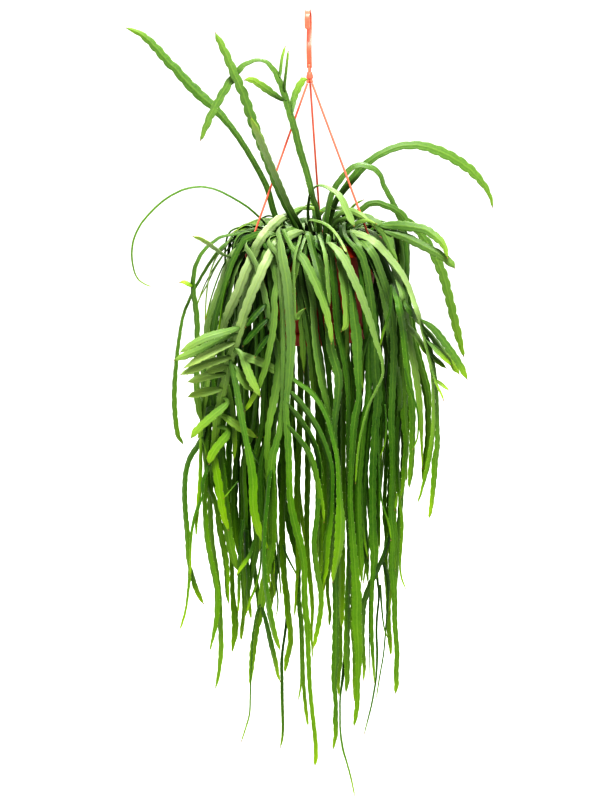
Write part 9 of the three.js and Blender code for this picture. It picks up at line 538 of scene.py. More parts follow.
    ("v13", "trailing_stems_extra_left", 0, 1, [[-321,-389,-2955,42,26,95,4,-31],[-296,-389,-2878,47,26,93,3,-36],[-275,-391,-2837,53,26,88,5,-46],[-245,-403,-2784,63,26,89,16,-43],[-223,-430,-2740,74,26,96,17,-22],[-224,-467,-2706,84,26,85,-27,44],[-307,-511,-2690,89,26,-1,-21,98],[-380,-517,-2703,89,26,-27,-8,96],[-417,-519,-2716,89,26,-27,-35,90],[-453,-529,-2730,89,26,29,-88,38],[-487,-555,-2747,89,26,72,-69,6],[-517,-600,-2765,89,26,88,-48,-4],[-544,-656,-2789,89,26,91,-38,-15],[-568,-701,-2819,89,26,90,-30,-33],[-590,-719,-2856,89,26,88,-1,-48],[-611,-708,-2898,89,26,92,19,-35],[-631,-676,-2942,89,26,95,21,-24],[-685,-531,-3077,89,26,97,18,-16],[-700,-489,-3121,89,26,97,17,-17],[-726,-427,-3204,89,26,97,17,-18],[-748,-386,-3285,89,26,97,16,-18],[-788,-339,-3440,89,26,96,18,-23],[-877,-269,-3743,89,26,98,13,-18],[-899,-246,-3897,89,26,99,11,-10],[-922,-225,-4130,89,26,99,11,-7],[-937,-224,-4438,89,26,100,7,-3],[-926,-236,-4705,89,26,99,13,7],[-895,-239,-5014,89,26,98,17,12],[-864,-239,-5285,89,26,98,19,9],[-836,-238,-5596,89,26,99,9,9],[-804,-238,-5909,89,26,99,9,10],[-780,-238,-6184,89,26,99,7,7],[-755,-238,-6499,89,26,99,1,10],[-712,-238,-6774,89,26,98,-3,21],[-662,-237,-6967,49,26,95,-3,32],[-617,-236,-7078,24,26,91,-5,41]]),
    ("v14", "trailing_stems_extra_left", 0, 1, [[-446,-256,-2955,42,26,97,-23,0],[-442,-240,-2906,45,26,97,-24,-3],[-419,-208,-2847,54,26,88,-37,-30],[-388,-192,-2793,63,26,82,-26,-51],[-368,-213,-2760,69,26,91,17,-37],[-334,-321,-2710,69,26,98,15,-12],[-328,-384,-2699,69,26,100,0,-2],[-333,-452,-2700,69,26,99,-13,1],[-348,-523,-2705,69,26,95,-30,0],[-379,-588,-2701,69,26,81,-58,5],[-433,-640,-2691,69,26,58,-81,11],[-503,-680,-2686,69,26,47,-88,-3],[-570,-720,-2697,69,26,65,-73,-20],[-595,-744,-2709,69,26,82,-54,-17],[-610,-771,-2726,69,26,96,-28,-3],[-613,-800,-2746,69,26,99,-1,16],[-604,-829,-2768,69,26,93,16,33],[-565,-880,-2819,69,26,83,17,54],[-524,-915,-2877,69,26,89,-3,46],[-498,-947,-2979,69,26,98,-15,16],[-492,-989,-3085,69,26,98,-17,7],[-493,-1011,-3196,69,26,98,-19,0],[-496,-1009,-3463,69,26,98,-19,-1],[-498,-1007,-3726,69,26,99,-16,-1],[-507,-1010,-4062,69,26,99,-13,-3],[-516,-1013,-4362,69,26,100,-7,-4],[-537,-970,-4634,69,26,99,-7,-13],[-584,-930,-4982,69,26,98,-8,-19],[-620,-910,-5135,69,26,96,-7,-28],[-702,-869,-5401,69,26,96,-7,-28],[-733,-848,-5556,69,26,98,-13,-14],[-745,-833,-5714,69,26,99,-13,-3],[-742,-809,-6028,69,26,100,-7,-2],[-756,-786,-6306,69,26,100,2,-6],[-771,-762,-6507,47,26,100,2,-9],[-794,-737,-6668,24,26,98,8,-17]]),
    ("v15", "trailing_stems_extra_front_left", 0, 1, [[-55,-524,-2955,42,26,64,-77,-10],[-44,-522,-2903,47,26,63,-76,-14],[-15,-516,-2845,62,26,55,-79,-28],[3,-518,-2817,71,26,45,-73,-52],[12,-562,-2787,86,26,97,-20,-13],[4,-606,-2786,86,26,98,-16,6],[-5,-671,-2793,86,26,99,-11,11],[-9,-720,-2798,86,26,99,-9,10],[-17,-848,-2812,86,26,97,-10,22],[-21,-903,-2827,86,26,88,-24,40],[-24,-933,-2848,86,26,68,-60,41],[-31,-944,-2903,86,26,52,-85,-9],[-37,-931,-2965,86,26,50,-79,-36],[-39,-914,-2998,86,26,51,-74,-44],[-42,-876,-3070,86,26,49,-80,-34],[-35,-850,-3183,86,26,43,-90,-3],[-10,-851,-3366,86,26,37,-92,10],[59,-857,-3693,86,26,39,-92,7],[97,-857,-3953,86,26,39,-92,5],[130,-853,-4176,86,26,35,-93,2],[152,-842,-4480,86,26,31,-95,-2],[179,-827,-4785,86,26,31,-95,-2],[203,-812,-5092,86,26,39,-92,-3],[204,-797,-5402,86,26,41,-91,-6],[184,-784,-5714,86,26,41,-91,-7],[162,-773,-5987,86,26,39,-92,-6],[159,-761,-6262,86,26,39,-92,-5],[145,-750,-6538,86,26,38,-92,-6],[137,-745,-6656,86,26,39,-92,-7],[105,-732,-6973,24,26,43,-90,-9]]),
    ("v16", "trailing_stems_extra_front_right", 0, 1, [[416,-327,-2955,42,26,93,34,13],[422,-373,-2882,46,26,93,34,12],[453,-465,-2809,55,26,90,43,2],[477,-512,-2788,59,26,88,48,0],[504,-558,-2782,63,26,87,49,0],[529,-603,-2789,67,26,88,47,0],[572,-688,-2822,76,26,87,50,0],[593,-718,-2846,80,26,80,60,10],[614,-736,-2873,80,26,72,64,28],[636,-742,-2903,80,26,71,58,41],[674,-737,-2971,80,26,78,44,45],[704,-719,-3045,80,26,83,36,43],[775,-656,-3240,80,26,85,35,39],[853,-570,-3518,80,26,85,42,31],[879,-529,-3668,80,26,85,47,23],[900,-515,-3810,80,26,87,48,11],[920,-522,-4023,80,26,89,44,5],[925,-528,-4170,80,26,91,40,-3],[913,-544,-4507,80,26,93,36,-5],[903,-561,-4809,80,26,92,39,-5],[895,-567,-5114,80,26,92,39,1],[906,-562,-5385,80,26,94,33,4],[909,-550,-5698,80,26,94,34,1],[899,-539,-5972,80,26,93,38,-3],[894,-529,-6208,80,26,93,36,3],[925,-513,-6602,80,26,93,37,2],[914,-502,-6880,52,26,92,38,-2],[918,-495,-7040,24,26,93,35,8]]),
    ("v17", "trailing_stems_extra_front_right", 0, 1, [[641,122,-2955,42,26,98,-9,-18],[663,177,-2864,45,26,97,-15,-20],[688,236,-2820,49,26,93,-32,-19],[717,299,-2798,52,26,91,-41,-10],[748,362,-2791,56,26,90,-44,-2],[803,476,-2803,63,26,90,-42,12],[826,519,-2819,66,26,88,-41,24],[846,547,-2840,70,26,85,-31,43],[863,557,-2864,73,26,85,2,53],[878,551,-2892,73,26,92,22,34],[891,532,-2923,73,26,95,22,20],[913,469,-2990,73,26,98,20,9],[936,383,-3052,73,26,97,23,8],[984,241,-3132,73,26,94,29,15],[1037,141,-3222,73,26,93,28,26],[1081,77,-3318,73,26,95,16,27],[1113,40,-3424,73,26,97,4,25],[1150,17,-3571,73,26,97,-8,22],[1200,-3,-3833,73,26,97,-19,17],[1260,-6,-4216,73,26,94,-27,20],[1322,-15,-4479,73,26,91,-33,25],[1390,-24,-4742,73,26,93,-27,22],[1412,-27,-4857,55,26,95,-28,14],[1430,-30,-5051,24,26,94,-34,7]]),
    ("v18", "trailing_stems_extra_back_left", 0, 1, [[-491,-169,-2955,42,26,95,-26,17],[-475,-98,-2933,45,26,97,-23,9],[-445,38,-2927,52,26,97,-24,8],[-416,154,-2899,59,26,93,-33,15],[-402,195,-2881,62,26,87,-47,16],[-390,214,-2859,66,26,65,-71,-25],[-382,198,-2835,69,26,89,-13,-45],[-377,128,-2809,73,26,98,-2,-22],[-375,-12,-2782,73,26,99,-1,-13],[-373,-227,-2755,73,26,100,0,-9],[-372,-480,-2731,73,26,100,-1,-5],[-374,-694,-2720,73,26,100,-3,1],[-381,-813,-2725,73,26,98,-15,15],[-393,-847,-2743,73,26,73,-69,1],[-431,-833,-2784,73,26,-10,-86,-50],[-455,-820,-2799,73,26,-38,10,92],[-537,-765,-2816,73,26,-4,6,100],[-604,-709,-2824,73,26,-2,19,98],[-641,-674,-2834,73,26,8,38,92],[-678,-632,-2849,73,26,56,61,56],[-714,-572,-2872,73,26,90,42,8],[-749,-470,-2905,73,26,97,23,-7],[-781,-318,-2950,73,26,98,14,-13],[-836,36,-3057,73,26,98,9,-20],[-858,173,-3108,73,26,97,7,-24],[-877,271,-3154,73,26,95,4,-30],[-892,334,-3197,73,26,93,-3,-37],[-906,374,-3236,73,26,90,-13,-41],[-919,401,-3274,73,26,88,-22,-42],[-955,447,-3383,73,26,85,-34,-40],[-994,473,-3491,73,26,84,-38,-39],[-1050,491,-3633,73,26,83,-40,-38],[-1137,499,-3847,73,26,86,-41,-30],[-1181,500,-4035,73,26,90,-42,-14],[-1213,498,-4269,73,26,92,-39,-10],[-1250,496,-4662,73,26,92,-39,-6],[-1260,496,-4980,73,26,88,-48,-2],[-1266,500,-5300,73,26,88,-48,-2],[-1263,499,-5661,73,26,87,-49,6],[-1246,495,-5860,73,26,87,-49,9],[-1227,494,-6061,73,26,88,-47,12],[-1202,495,-6178,73,26,86,-46,23],[-1135,497,-6411,73,26,88,-45,17],[-1104,498,-6693,73,26,91,-39,13],[-1072,499,-6894,73,26,91,-38,14],[-1043,499,-7096,73,26,91,-40,9],[-1031,499,-7383,73,26,92,-39,-1],[-1033,499,-7547,48,26,91,-40,2],[-1021,499,-7711,24,26,89,-45,8]]),
    ("u1", "trailing_stems_extra_front_left", 0, 1, [[-270,-600,-2654,51,26,100,5,-3],[-260,-799,-2779,85,26,100,8,-1],[-245,-937,-2873,85,26,99,13,3],[-239,-969,-2906,85,26,99,15,6],[-233,-989,-2941,85,26,98,15,10],[-221,-1006,-3013,85,26,98,12,13],[-183,-1030,-3273,85,26,98,10,14],[-140,-1027,-3576,85,26,98,10,15],[-101,-1016,-3843,85,26,99,9,13],[-74,-996,-4114,85,26,99,9,8],[-54,-951,-4471,85,26,99,9,6],[-42,-920,-4710,26,26,99,9,6]]),
    ("u2", "trailing_stems_extra_front_left", 0, 1, [[0,-620,-2708,48,26,98,10,16],[37,-848,-2827,80,26,99,5,15],[50,-941,-2889,80,26,98,-1,18],[56,-970,-2923,80,26,98,-7,20],[62,-987,-2959,80,26,97,-13,20],[73,-1003,-3032,80,26,97,-17,17],[88,-1018,-3145,80,26,97,-19,14],[104,-1020,-3259,80,26,97,-20,13],[137,-1009,-3606,80,26,98,-20,4],[146,-977,-3883,80,26,98,-19,-1],[152,-946,-4123,80,26,98,-20,1],[165,-900,-4366,24,26,98,-20,2]]),
    ("u3", "trailing_stems_extra_front_left", 0, 1, [[-569,-550,-2752,48,26,99,10,-14],[-570,-774,-2912,80,26,98,12,-13],[-567,-850,-2978,80,26,98,19,-10],[-560,-895,-3047,80,26,96,28,-2],[-542,-950,-3229,80,26,96,29,3],[-520,-967,-3455,80,26,95,29,10],[-497,-962,-3646,80,26,95,28,14],[-466,-943,-3878,80,26,95,27,16],[-441,-918,-4113,80,26,96,28,10],[-429,-880,-4392,24,26,96,28,6]]),
    ("u4", "trailing_stems_extra_front_left", 0, 1, [[295,-600,-2744,36,26,92,34,-18],[337,-791,-2866,60,26,92,31,-23],[350,-876,-2930,60,26,89,38,-25],[360,-927,-2999,60,26,83,54,-15],[376,-967,-3146,60,26,80,59,-4],[385,-980,-3299,60,26,80,60,1],[379,-968,-3610,60,26,80,60,3],[375,-946,-3808,60,26,80,59,7],[370,-916,-4009,60,26,80,59,6],[353,-880,-4250,18,26,80,60,2]]),
    ("u13", "trailing_stems_extra_front_left", 0, 1, [[-173,-610,-2730,48,26,100,-1,-1],[-176,-811,-2856,80,26,100,-1,-1],[-179,-904,-2920,80,26,100,-3,-2],[-181,-939,-2953,80,26,100,-4,-4],[-187,-975,-3025,80,26,100,-2,-8],[-196,-1000,-3252,80,26,100,0,1],[-186,-1008,-3559,80,26,100,0,6],[-176,-998,-3793,80,26,100,0,2],[-173,-978,-4069,80,26,100,0,1],[-168,-940,-4349,24,26,100,0,2]]),
    ("u5", "trailing_stems_extra_front_right", 0, 1, [[216,-150,-2652,45,26,11,76,64],[283,-266,-2532,68,26,7,70,71],[342,-345,-2468,75,26,6,58,81],[414,-416,-2434,75,26,13,40,91],[453,-445,-2430,75,26,23,31,92],[491,-470,-2435,75,26,35,23,91],[563,-510,-2465,75,26,55,16,82],[658,-556,-2536,49,26,70,12,71],[742,-600,-2620,22,26,75,10,66]]),
    ("u6", "trailing_stems_extra_front_right", 0, 1, [[329,-80,-2664,30,25,-11,89,44],[413,-145,-2516,50,25,-16,86,49],[487,-193,-2414,38,25,-26,75,61],[549,-222,-2362,27,25,-25,59,76],[622,-250,-2324,15,25,-20,51,83]]),
    ("u7", "trailing_stems_extra_front_right", 0, 1, [[387,-300,-2712,45,26,8,62,78],[512,-466,-2591,75,26,4,59,81],[582,-535,-2552,66,26,8,46,88],[658,-591,-2540,49,26,25,30,92],[695,-615,-2546,40,26,37,22,90],[766,-660,-2576,22,26,51,15,85]]),
    ("u8", "trailing_stems_extra_back_right", 0, 1, [[-312,100,-2670,30,25,-41,-82,40],[-243,117,-2572,45,25,-44,-75,50],[-162,138,-2485,44,25,-44,-63,64],[-99,150,-2437,32,25,-40,-48,78],[11,160,-2395,15,25,-22,-36,91]]),
    ("u9", "trailing_stems_extra_left", 0, 1, [[-651,-150,-2754,20,17,-40,73,56],[-768,-219,-2752,31,17,-48,74,46],[-877,-284,-2779,34,17,-51,86,1],[-970,-339,-2841,34,17,-25,90,-35],[-1046,-385,-2926,34,17,-1,92,-39],[-1146,-438,-3089,34,17,17,93,-33],[-1226,-474,-3265,34,17,26,93,-26],[-1306,-497,-3486,34,17,32,94,-15],[-1373,-500,-3716,10,17,35,93,-9]]),
    ("u10", "trailing_stems_extra_left", 0, 1, [[-602,-200,-2811,25,21,-46,62,64],[-753,-323,-2818,42,21,-64,64,42],[-821,-380,-2842,42,21,-61,79,-8],[-852,-405,-2861,42,21,-46,84,-28],[-931,-465,-2937,42,21,-8,87,-49],[-1007,-531,-3063,42,21,19,87,-45],[-1088,-601,-3272,42,21,30,90,-31],[-1141,-633,-3456,42,21,36,91,-21],[-1197,-659,-3761,42,21,40,91,-9],[-1227,-660,-3995,13,21,41,91,-5]]),
    ("u11", "trailing_stems_extra_back_left", 0, 1, [[-704,50,-2741,17,14,17,94,30],[-822,76,-2761,25,14,15,96,26],[-897,92,-2786,28,14,11,98,19],[-999,107,-2848,28,14,8,100,5],[-1086,116,-2930,28,14,10,99,-6],[-1188,108,-3051,28,14,8,98,-18],[-1279,89,-3178,28,14,10,96,-26],[-1379,54,-3344,25,14,17,94,-28],[-1463,20,-3519,8,14,23,93,-28]]),
    ("u12", "trailing_stems_extra_left", 0, 1, [[-579,-20,-2799,30,25,-15,93,34],[-694,-37,-2812,45,25,-20,95,22],[-795,-53,-2859,50,25,-12,99,-8],[-903,-76,-2968,50,25,5,97,-22],[-967,-93,-3062,50,25,14,96,-25],[-1023,-109,-3163,50,25,21,94,-26],[-1092,-136,-3341,50,25,31,93,-22],[-1165,-158,-3601,50,25,38,92,-14],[-1205,-179,-3909,50,25,42,90,-7],[-1226,-180,-4184,15,25,43,90,-3]]),
    ("z0", "trailing_stems_extra_right", 0, 1, [[373,390,-2955,50,26,-70,71,-1],[399,417,-2882,62,26,-70,71,-2],[433,453,-2821,75,26,-72,70,-1],[479,501,-2775,88,26,-71,70,-1],[534,556,-2750,100,26,-70,71,0],[593,614,-2751,100,26,-69,72,0],[645,663,-2770,100,26,-67,74,2],[665,681,-2791,100,26,-65,76,2],[680,694,-2821,100,26,-63,78,1],[700,709,-2899,100,26,-58,81,-1],[713,715,-3023,100,26,-59,80,-3],[718,713,-3185,100,26,-60,80,-3],[712,700,-3387,100,26,-61,79,-3],[699,685,-3588,100,26,-59,81,-2],[669,660,-3910,100,26,-61,79,0],[637,640,-4191,100,26,-60,80,2],[590,618,-4592,100,26,-62,79,3],[549,601,-4954,100,26,-67,74,4],[529,592,-5156,100,26,-69,73,4],[507,582,-5397,100,26,-70,72,3],[491,572,-5599,100,26,-70,71,2],[476,561,-5841,100,26,-69,73,0],[461,545,-6164,100,26,-66,75,-2],[451,527,-6487,100,26,-74,67,-2],[443,502,-6891,100,26,-74,67,-3],[435,478,-7255,100,26,-73,69,-3],[425,456,-7577,22,26,-70,71,-2]]),
    ("z1", "trailing_stems_extra_right", 0, 1, [[374,440,-2955,35,26,-42,90,-10],[398,468,-2834,48,26,-44,88,-18],[425,499,-2770,57,26,-57,80,-22],[464,547,-2717,66,26,-67,72,-21],[511,606,-2682,70,26,-76,64,-13],[561,671,-2674,70,26,-79,61,5],[610,736,-2694,70,26,-73,65,21],[649,789,-2733,70,26,-56,76,32],[672,823,-2793,70,26,-35,90,25],[688,850,-2914,70,26,-33,94,10],[692,861,-3079,70,26,-30,95,2],[687,855,-3365,70,26,-27,96,-1],[702,857,-3732,70,26,-37,93,-2],[706,851,-3977,70,26,-43,90,-4],[699,832,-4303,70,26,-44,90,-4],[683,814,-4547,70,26,-42,91,-4],[665,795,-4790,70,26,-43,90,-3],[645,774,-5116,22,26,-46,89,-3]]),
    ("z2", "trailing_stems_extra_back_left", 0, 1, [[-388,445,-2955,50,26,-97,19,-16],[-409,469,-2834,69,26,-96,10,-27],[-433,497,-2761,81,26,-92,1,-39],[-467,537,-2697,94,26,-88,-21,-43],[-486,562,-2674,100,26,-83,-38,-40],[-507,589,-2662,100,26,-80,-58,-15],[-528,617,-2664,100,26,-81,-54,21],[-549,645,-2677,100,26,-85,-37,37],[-567,671,-2700,100,26,-90,-20,39],[-582,693,-2729,100,26,-93,-6,35],[-601,725,-2799,100,26,-98,4,19],[-612,752,-2920,100,26,-99,12,5],[-611,765,-3043,100,26,-99,14,-2],[-600,775,-3288,100,26,-100,6,-5],[-589,784,-3573,100,26,-100,1,0],[-591,799,-3777,100,26,-100,6,2],[-595,814,-4021,100,26,-100,8,2],[-600,825,-4265,100,26,-100,4,2],[-607,832,-4551,100,26,-100,3,2],[-612,832,-4836,100,26,-100,0,2],[-617,826,-5121,100,26,-100,-4,2],[-621,815,-5407,100,26,-100,0,1],[-626,798,-5733,100,26,-100,1,2],[-632,782,-6018,100,26,-100,-3,3],[-643,764,-6344,22,26,-100,-6,4]]),
    ("z3", "trailing_stems_extra_front_right", 0, 1, [[427,-105,-2955,28,26,18,98,1],[455,-112,-2829,38,26,21,98,1],[489,-120,-2764,45,26,23,97,1],[540,-134,-2711,52,26,25,97,3],[648,-168,-2654,55,26,32,95,4],[726,-196,-2640,55,26,35,94,0],[843,-241,-2663,55,26,35,93,-5],[910,-269,-2698,55,26,36,93,-8],[935,-281,-2720,55,26,35,93,-11],[968,-300,-2781,55,26,31,94,-11],[993,-321,-2902,55,26,26,96,-10],[999,-335,-3025,55,26,25,96,-9],[1003,-353,-3228,55,26,20,98,-7],[1007,-367,-3430,55,26,22,97,-5],[1001,-373,-3714,55,26,22,98,-1],[990,-369,-3997,55,26,16,99,2],[979,-359,-4240,55,26,15,99,4],[961,-342,-4563,55,26,24,97,4],[942,-323,-4886,55,26,23,97,4],[922,-307,-5209,55,26,27,96,3],[907,-297,-5452,55,26,24,97,2],[895,-290,-5694,55,26,20,98,2],[885,-284,-5978,55,26,21,98,1],[880,-279,-6261,55,26,22,98,2],[880,-270,-6585,22,26,25,97,3]]),
    ("z4", "trailing_stems_extra_right", 0, 1, [[349,196,-2955,28,26,-4,100,-6],[369,207,-2826,38,26,-8,99,-12],[412,232,-2727,48,26,-22,95,-23],[461,260,-2676,55,26,-35,91,-23],[561,319,-2620,55,26,-47,87,-16],[631,361,-2608,55,26,-52,85,0],[667,383,-2611,55,26,-51,86,10],[771,448,-2650,55,26,-40,88,26],[825,483,-2693,55,26,-25,91,32],[844,495,-2719,55,26,-14,94,30],[869,515,-2787,55,26,-7,98,19],[891,538,-2952,55,26,1,100,10],[887,551,-3155,55,26,-7,100,2],[830,538,-3434,55,26,-18,98,0],[808,537,-3595,55,26,-12,99,3],[778,542,-3878,55,26,-9,100,2],[751,545,-4202,55,26,-9,100,1],[735,545,-4445,55,26,-8,100,-1],[722,539,-4688,55,26,-12,99,-3],[706,519,-5052,55,26,-4,100,-8],[692,487,-5375,55,26,-7,99,-11],[678,458,-5616,55,26,-5,99,-13],[665,430,-5818,55,26,0,99,-14],[638,384,-6139,22,26,-1,99,-14]]),
    ("z5", "trailing_stems_extra_right", 0, 1, [[528,274,-2955,35,26,-14,98,-11],[554,288,-2877,44,26,-19,97,-13],[591,307,-2810,52,26,-29,95,-14],[643,334,-2754,61,26,-36,92,-15],[706,367,-2722,70,26,-45,89,-6],[776,403,-2725,70,26,-45,89,7],[835,434,-2757,70,26,-38,92,11],[856,445,-2783,70,26,-31,94,12],[884,460,-2855,70,26,-28,96,6],[898,467,-2937,70,26,-25,97,3],[905,470,-3059,70,26,-27,96,0],[899,462,-3382,70,26,-22,98,-4],[881,445,-3663,70,26,-18,98,-6],[849,413,-4024,70,26,-18,98,-7],[824,384,-4345,70,26,-18,98,-7],[799,354,-4706,70,26,-14,99,-7],[777,330,-5068,70,26,-1,100,-5],[758,315,-5431,70,26,4,100,-3],[744,309,-5713,70,26,0,100,-1],[731,308,-5995,70,26,6,100,0],[711,314,-6398,70,26,5,100,2],[691,321,-6761,70,26,4,100,1],[672,325,-7083,22,26,2,100,1]]),
    ("z6", "trailing_stems_extra_right", 0, 1, [[298,470,-2955,35,26,-85,53,0],[317,500,-2881,44,26,-85,52,1],[343,541,-2821,52,26,-85,52,2],[400,629,-2760,66,26,-83,56,0],[446,695,-2743,70,26,-81,59,1],[498,762,-2745,70,26,-79,61,-2],[544,821,-2762,70,26,-79,61,-9],[563,842,-2779,70,26,-81,56,-15],[578,858,-2805,70,26,-86,47,-18],[600,878,-2880,70,26,-90,41,-13],[619,885,-3003,70,26,-91,40,-10],[634,879,-3206,70,26,-92,38,-7],[646,862,-3528,70,26,-88,47,-4],[644,847,-3729,70,26,-84,54,-2],[628,818,-4010,70,26,-84,54,0],[608,793,-4291,70,26,-82,57,2],[583,769,-4571,70,26,-86,52,4],[553,742,-4891,70,26,-90,44,5],[526,719,-5172,70,26,-93,37,5],[506,701,-5412,70,26,-90,43,4],[484,680,-5693,70,26,-92,39,4],[469,664,-5934,70,26,-90,43,3],[454,648,-6216,70,26,-84,53,1],[443,636,-6457,70,26,-82,58,1],[433,626,-6699,70,26,-83,56,1],[419,616,-7021,22,26,-83,55,2]]),
    ("z7", "trailing_stems_extra_back_right", 0, 1, [[128,373,-2955,50,26,-87,50,-3],[137,401,-2830,69,26,-88,47,-6],[149,434,-2765,81,26,-90,43,-9],[166,485,-2714,94,26,-91,41,-11],[206,592,-2657,100,26,-93,37,-5],[235,669,-2642,100,26,-93,36,-1],[281,787,-2660,100,26,-92,38,4],[309,857,-2691,100,26,-91,42,7],[321,885,-2712,100,26,-89,45,8],[338,923,-2767,100,26,-87,50,4],[350,945,-2843,100,26,-84,54,1],[358,958,-2927,100,26,-85,53,-1],[371,969,-3170,100,26,-82,58,-1],[387,985,-3453,100,26,-82,57,-2],[392,981,-3736,100,26,-83,55,-2],[394,976,-3978,100,26,-80,61,-2],[394,971,-4261,100,26,-78,62,0],[393,971,-4625,100,26,-72,69,1],[392,979,-4949,100,26,-70,71,3],[391,990,-5191,100,26,-73,68,4],[390,1004,-5434,100,26,-72,69,5],[387,1028,-5756,100,26,-73,68,6],[383,1055,-6079,100,26,-72,69,7],[375,1081,-6402,22,26,-79,61,7]]),
    ("z8", "trailing_stems_extra_right", 0, 1, [[622,130,-2955,48,26,1,100,-4],[650,136,-2833,65,26,1,100,-8],[683,143,-2761,77,26,-4,99,-10],[732,153,-2698,89,26,-10,99,-9],[797,165,-2653,95,26,-15,99,-6],[832,171,-2645,95,26,-17,99,-1],[903,183,-2664,95,26,-14,99,4],[963,192,-2714,95,26,-9,100,4],[1002,196,-2780,95,26,-3,100,2],[1033,198,-2900,95,26,0,100,-1],[1045,195,-3021,95,26,-5,100,-3],[1051,183,-3345,95,26,-15,99,-4],[1055,171,-3668,95,26,-14,99,-4],[1071,162,-3951,95,26,-1,100,-3],[1084,155,-4193,95,26,6,100,-3],[1097,146,-4476,95,26,0,100,-3],[1108,137,-4799,95,26,1,100,-2],[1114,131,-5081,95,26,9,100,-2],[1116,126,-5405,95,26,12,99,-1],[1115,123,-5688,95,26,10,100,-1],[1111,123,-6011,22,26,9,100,0]]),
    ("z9", "trailing_stems_extra_back_right", 0, 1, [[-92,689,-2955,50,26,-90,40,-14],[-97,728,-2837,69,26,-90,36,-25],[-103,772,-2774,81,26,-93,20,-31],[-110,835,-2724,94,26,-96,7,-28],[-117,911,-2693,100,26,-99,-5,-12],[-122,993,-2689,100,26,-100,-5,6],[-127,1073,-2709,100,26,-98,3,17],[-128,1108,-2726,100,26,-98,10,19],[-127,1157,-2776,100,26,-95,28,14],[-124,1187,-2850,100,26,-94,34,5],[-117,1207,-2974,100,26,-92,39,-3],[-101,1213,-3177,100,26,-91,40,-8],[-80,1199,-3420,100,26,-93,34,-11],[-60,1182,-3662,100,26,-93,37,-9],[-31,1167,-4027,100,26,-91,41,-8],[-2,1154,-4432,100,26,-89,44,-7],[18,1148,-4756,100,26,-85,52,-5],[34,1145,-5081,100,26,-82,58,-4],[41,1144,-5284,100,26,-85,53,-3],[47,1145,-5527,100,26,-84,55,-1],[48,1146,-5851,100,26,-84,55,1],[45,1148,-6135,100,26,-86,51,2],[34,1148,-6459,100,26,-86,51,4],[21,1148,-6743,100,26,-84,54,4],[-2,1143,-7108,100,26,-78,62,4],[-26,1134,-7432,100,26,-78,62,4],[-50,1122,-7756,22,26,-81,59,3]]),
    ("z10", "trailing_stems_extra_right", 0, 1, [[615,117,-2955,48,26,-88,43,20],[654,125,-2836,65,26,-82,44,37],[697,133,-2776,77,26,-64,56,52],[726,139,-2751,83,26,-55,63,55],[797,153,-2709,95,26,-39,78,49],[876,172,-2687,95,26,-25,95,19],[916,182,-2685,95,26,-24,97,-3],[998,202,-2697,95,26,-32,88,-35],[1070,221,-2725,95,26,-52,63,-57],[1118,236,-2772,95,26,-83,34,-43],[1146,247,-2844,95,26,-95,24,-21],[1164,259,-2969,95,26,-98,21,-5],[1164,273,-3172,95,26,-98,18,9],[1148,278,-3292,95,26,-97,19,18],[1101,284,-3533,95,26,-96,23,16],[1078,293,-3734,95,26,-97,21,10],[1054,307,-4017,95,26,-97,21,9],[1029,322,-4341,95,26,-99,15,8],[1009,332,-4624,95,26,-99,14,7],[988,338,-4948,95,26,-99,12,6],[968,337,-5272,95,26,-99,11,6],[953,331,-5514,95,26,-99,11,6],[940,322,-5716,95,26,-98,20,5],[925,306,-5959,95,26,-99,15,5],[908,285,-6201,95,26,-98,18,5],[890,260,-6443,95,26,-98,20,5],[870,232,-6685,95,26,-97,24,5],[841,193,-7007,22,26,-97,23,6]]),
    ("z11", "trailing_stems_extra_left", 0, 1, [[-630,39,-2955,28,26,-53,-81,-27],[-672,42,-2885,34,26,-44,-85,-29],[-727,45,-2827,41,26,-29,-91,-29],[-797,49,-2785,48,26,-14,-97,-21],[-836,51,-2773,52,26,-7,-99,-14],[-918,53,-2766,55,26,-1,-100,2],[-993,52,-2778,55,26,-8,-97,24],[-1021,52,-2795,55,26,-25,-91,33],[-1059,48,-2857,55,26,-49,-84,21],[-1082,42,-2981,55,26,-57,-82,9],[-1093,32,-3185,55,26,-55,-83,7],[-1106,25,-3387,55,26,-48,-87,5],[-1112,21,-3590,55,26,-53,-84,1],[-1112,20,-3793,55,26,-51,-86,0],[-1110,27,-4157,55,26,-54,-84,-4],[-1104,36,-4401,55,26,-55,-83,-5],[-1097,45,-4603,55,26,-55,-83,-6],[-1088,53,-4806,55,26,-55,-83,-5],[-1078,60,-5049,55,26,-47,-88,-4],[-1068,64,-5251,55,26,-58,-81,-3],[-1057,64,-5494,55,26,-59,-80,-2],[-1044,54,-5859,55,26,-58,-82,2],[-1036,36,-6183,55,26,-55,-84,5],[-1033,16,-6467,55,26,-47,-88,6],[-1032,-6,-6751,55,26,-44,-90,7],[-1036,-30,-7075,22,26,-42,-90,7]]),
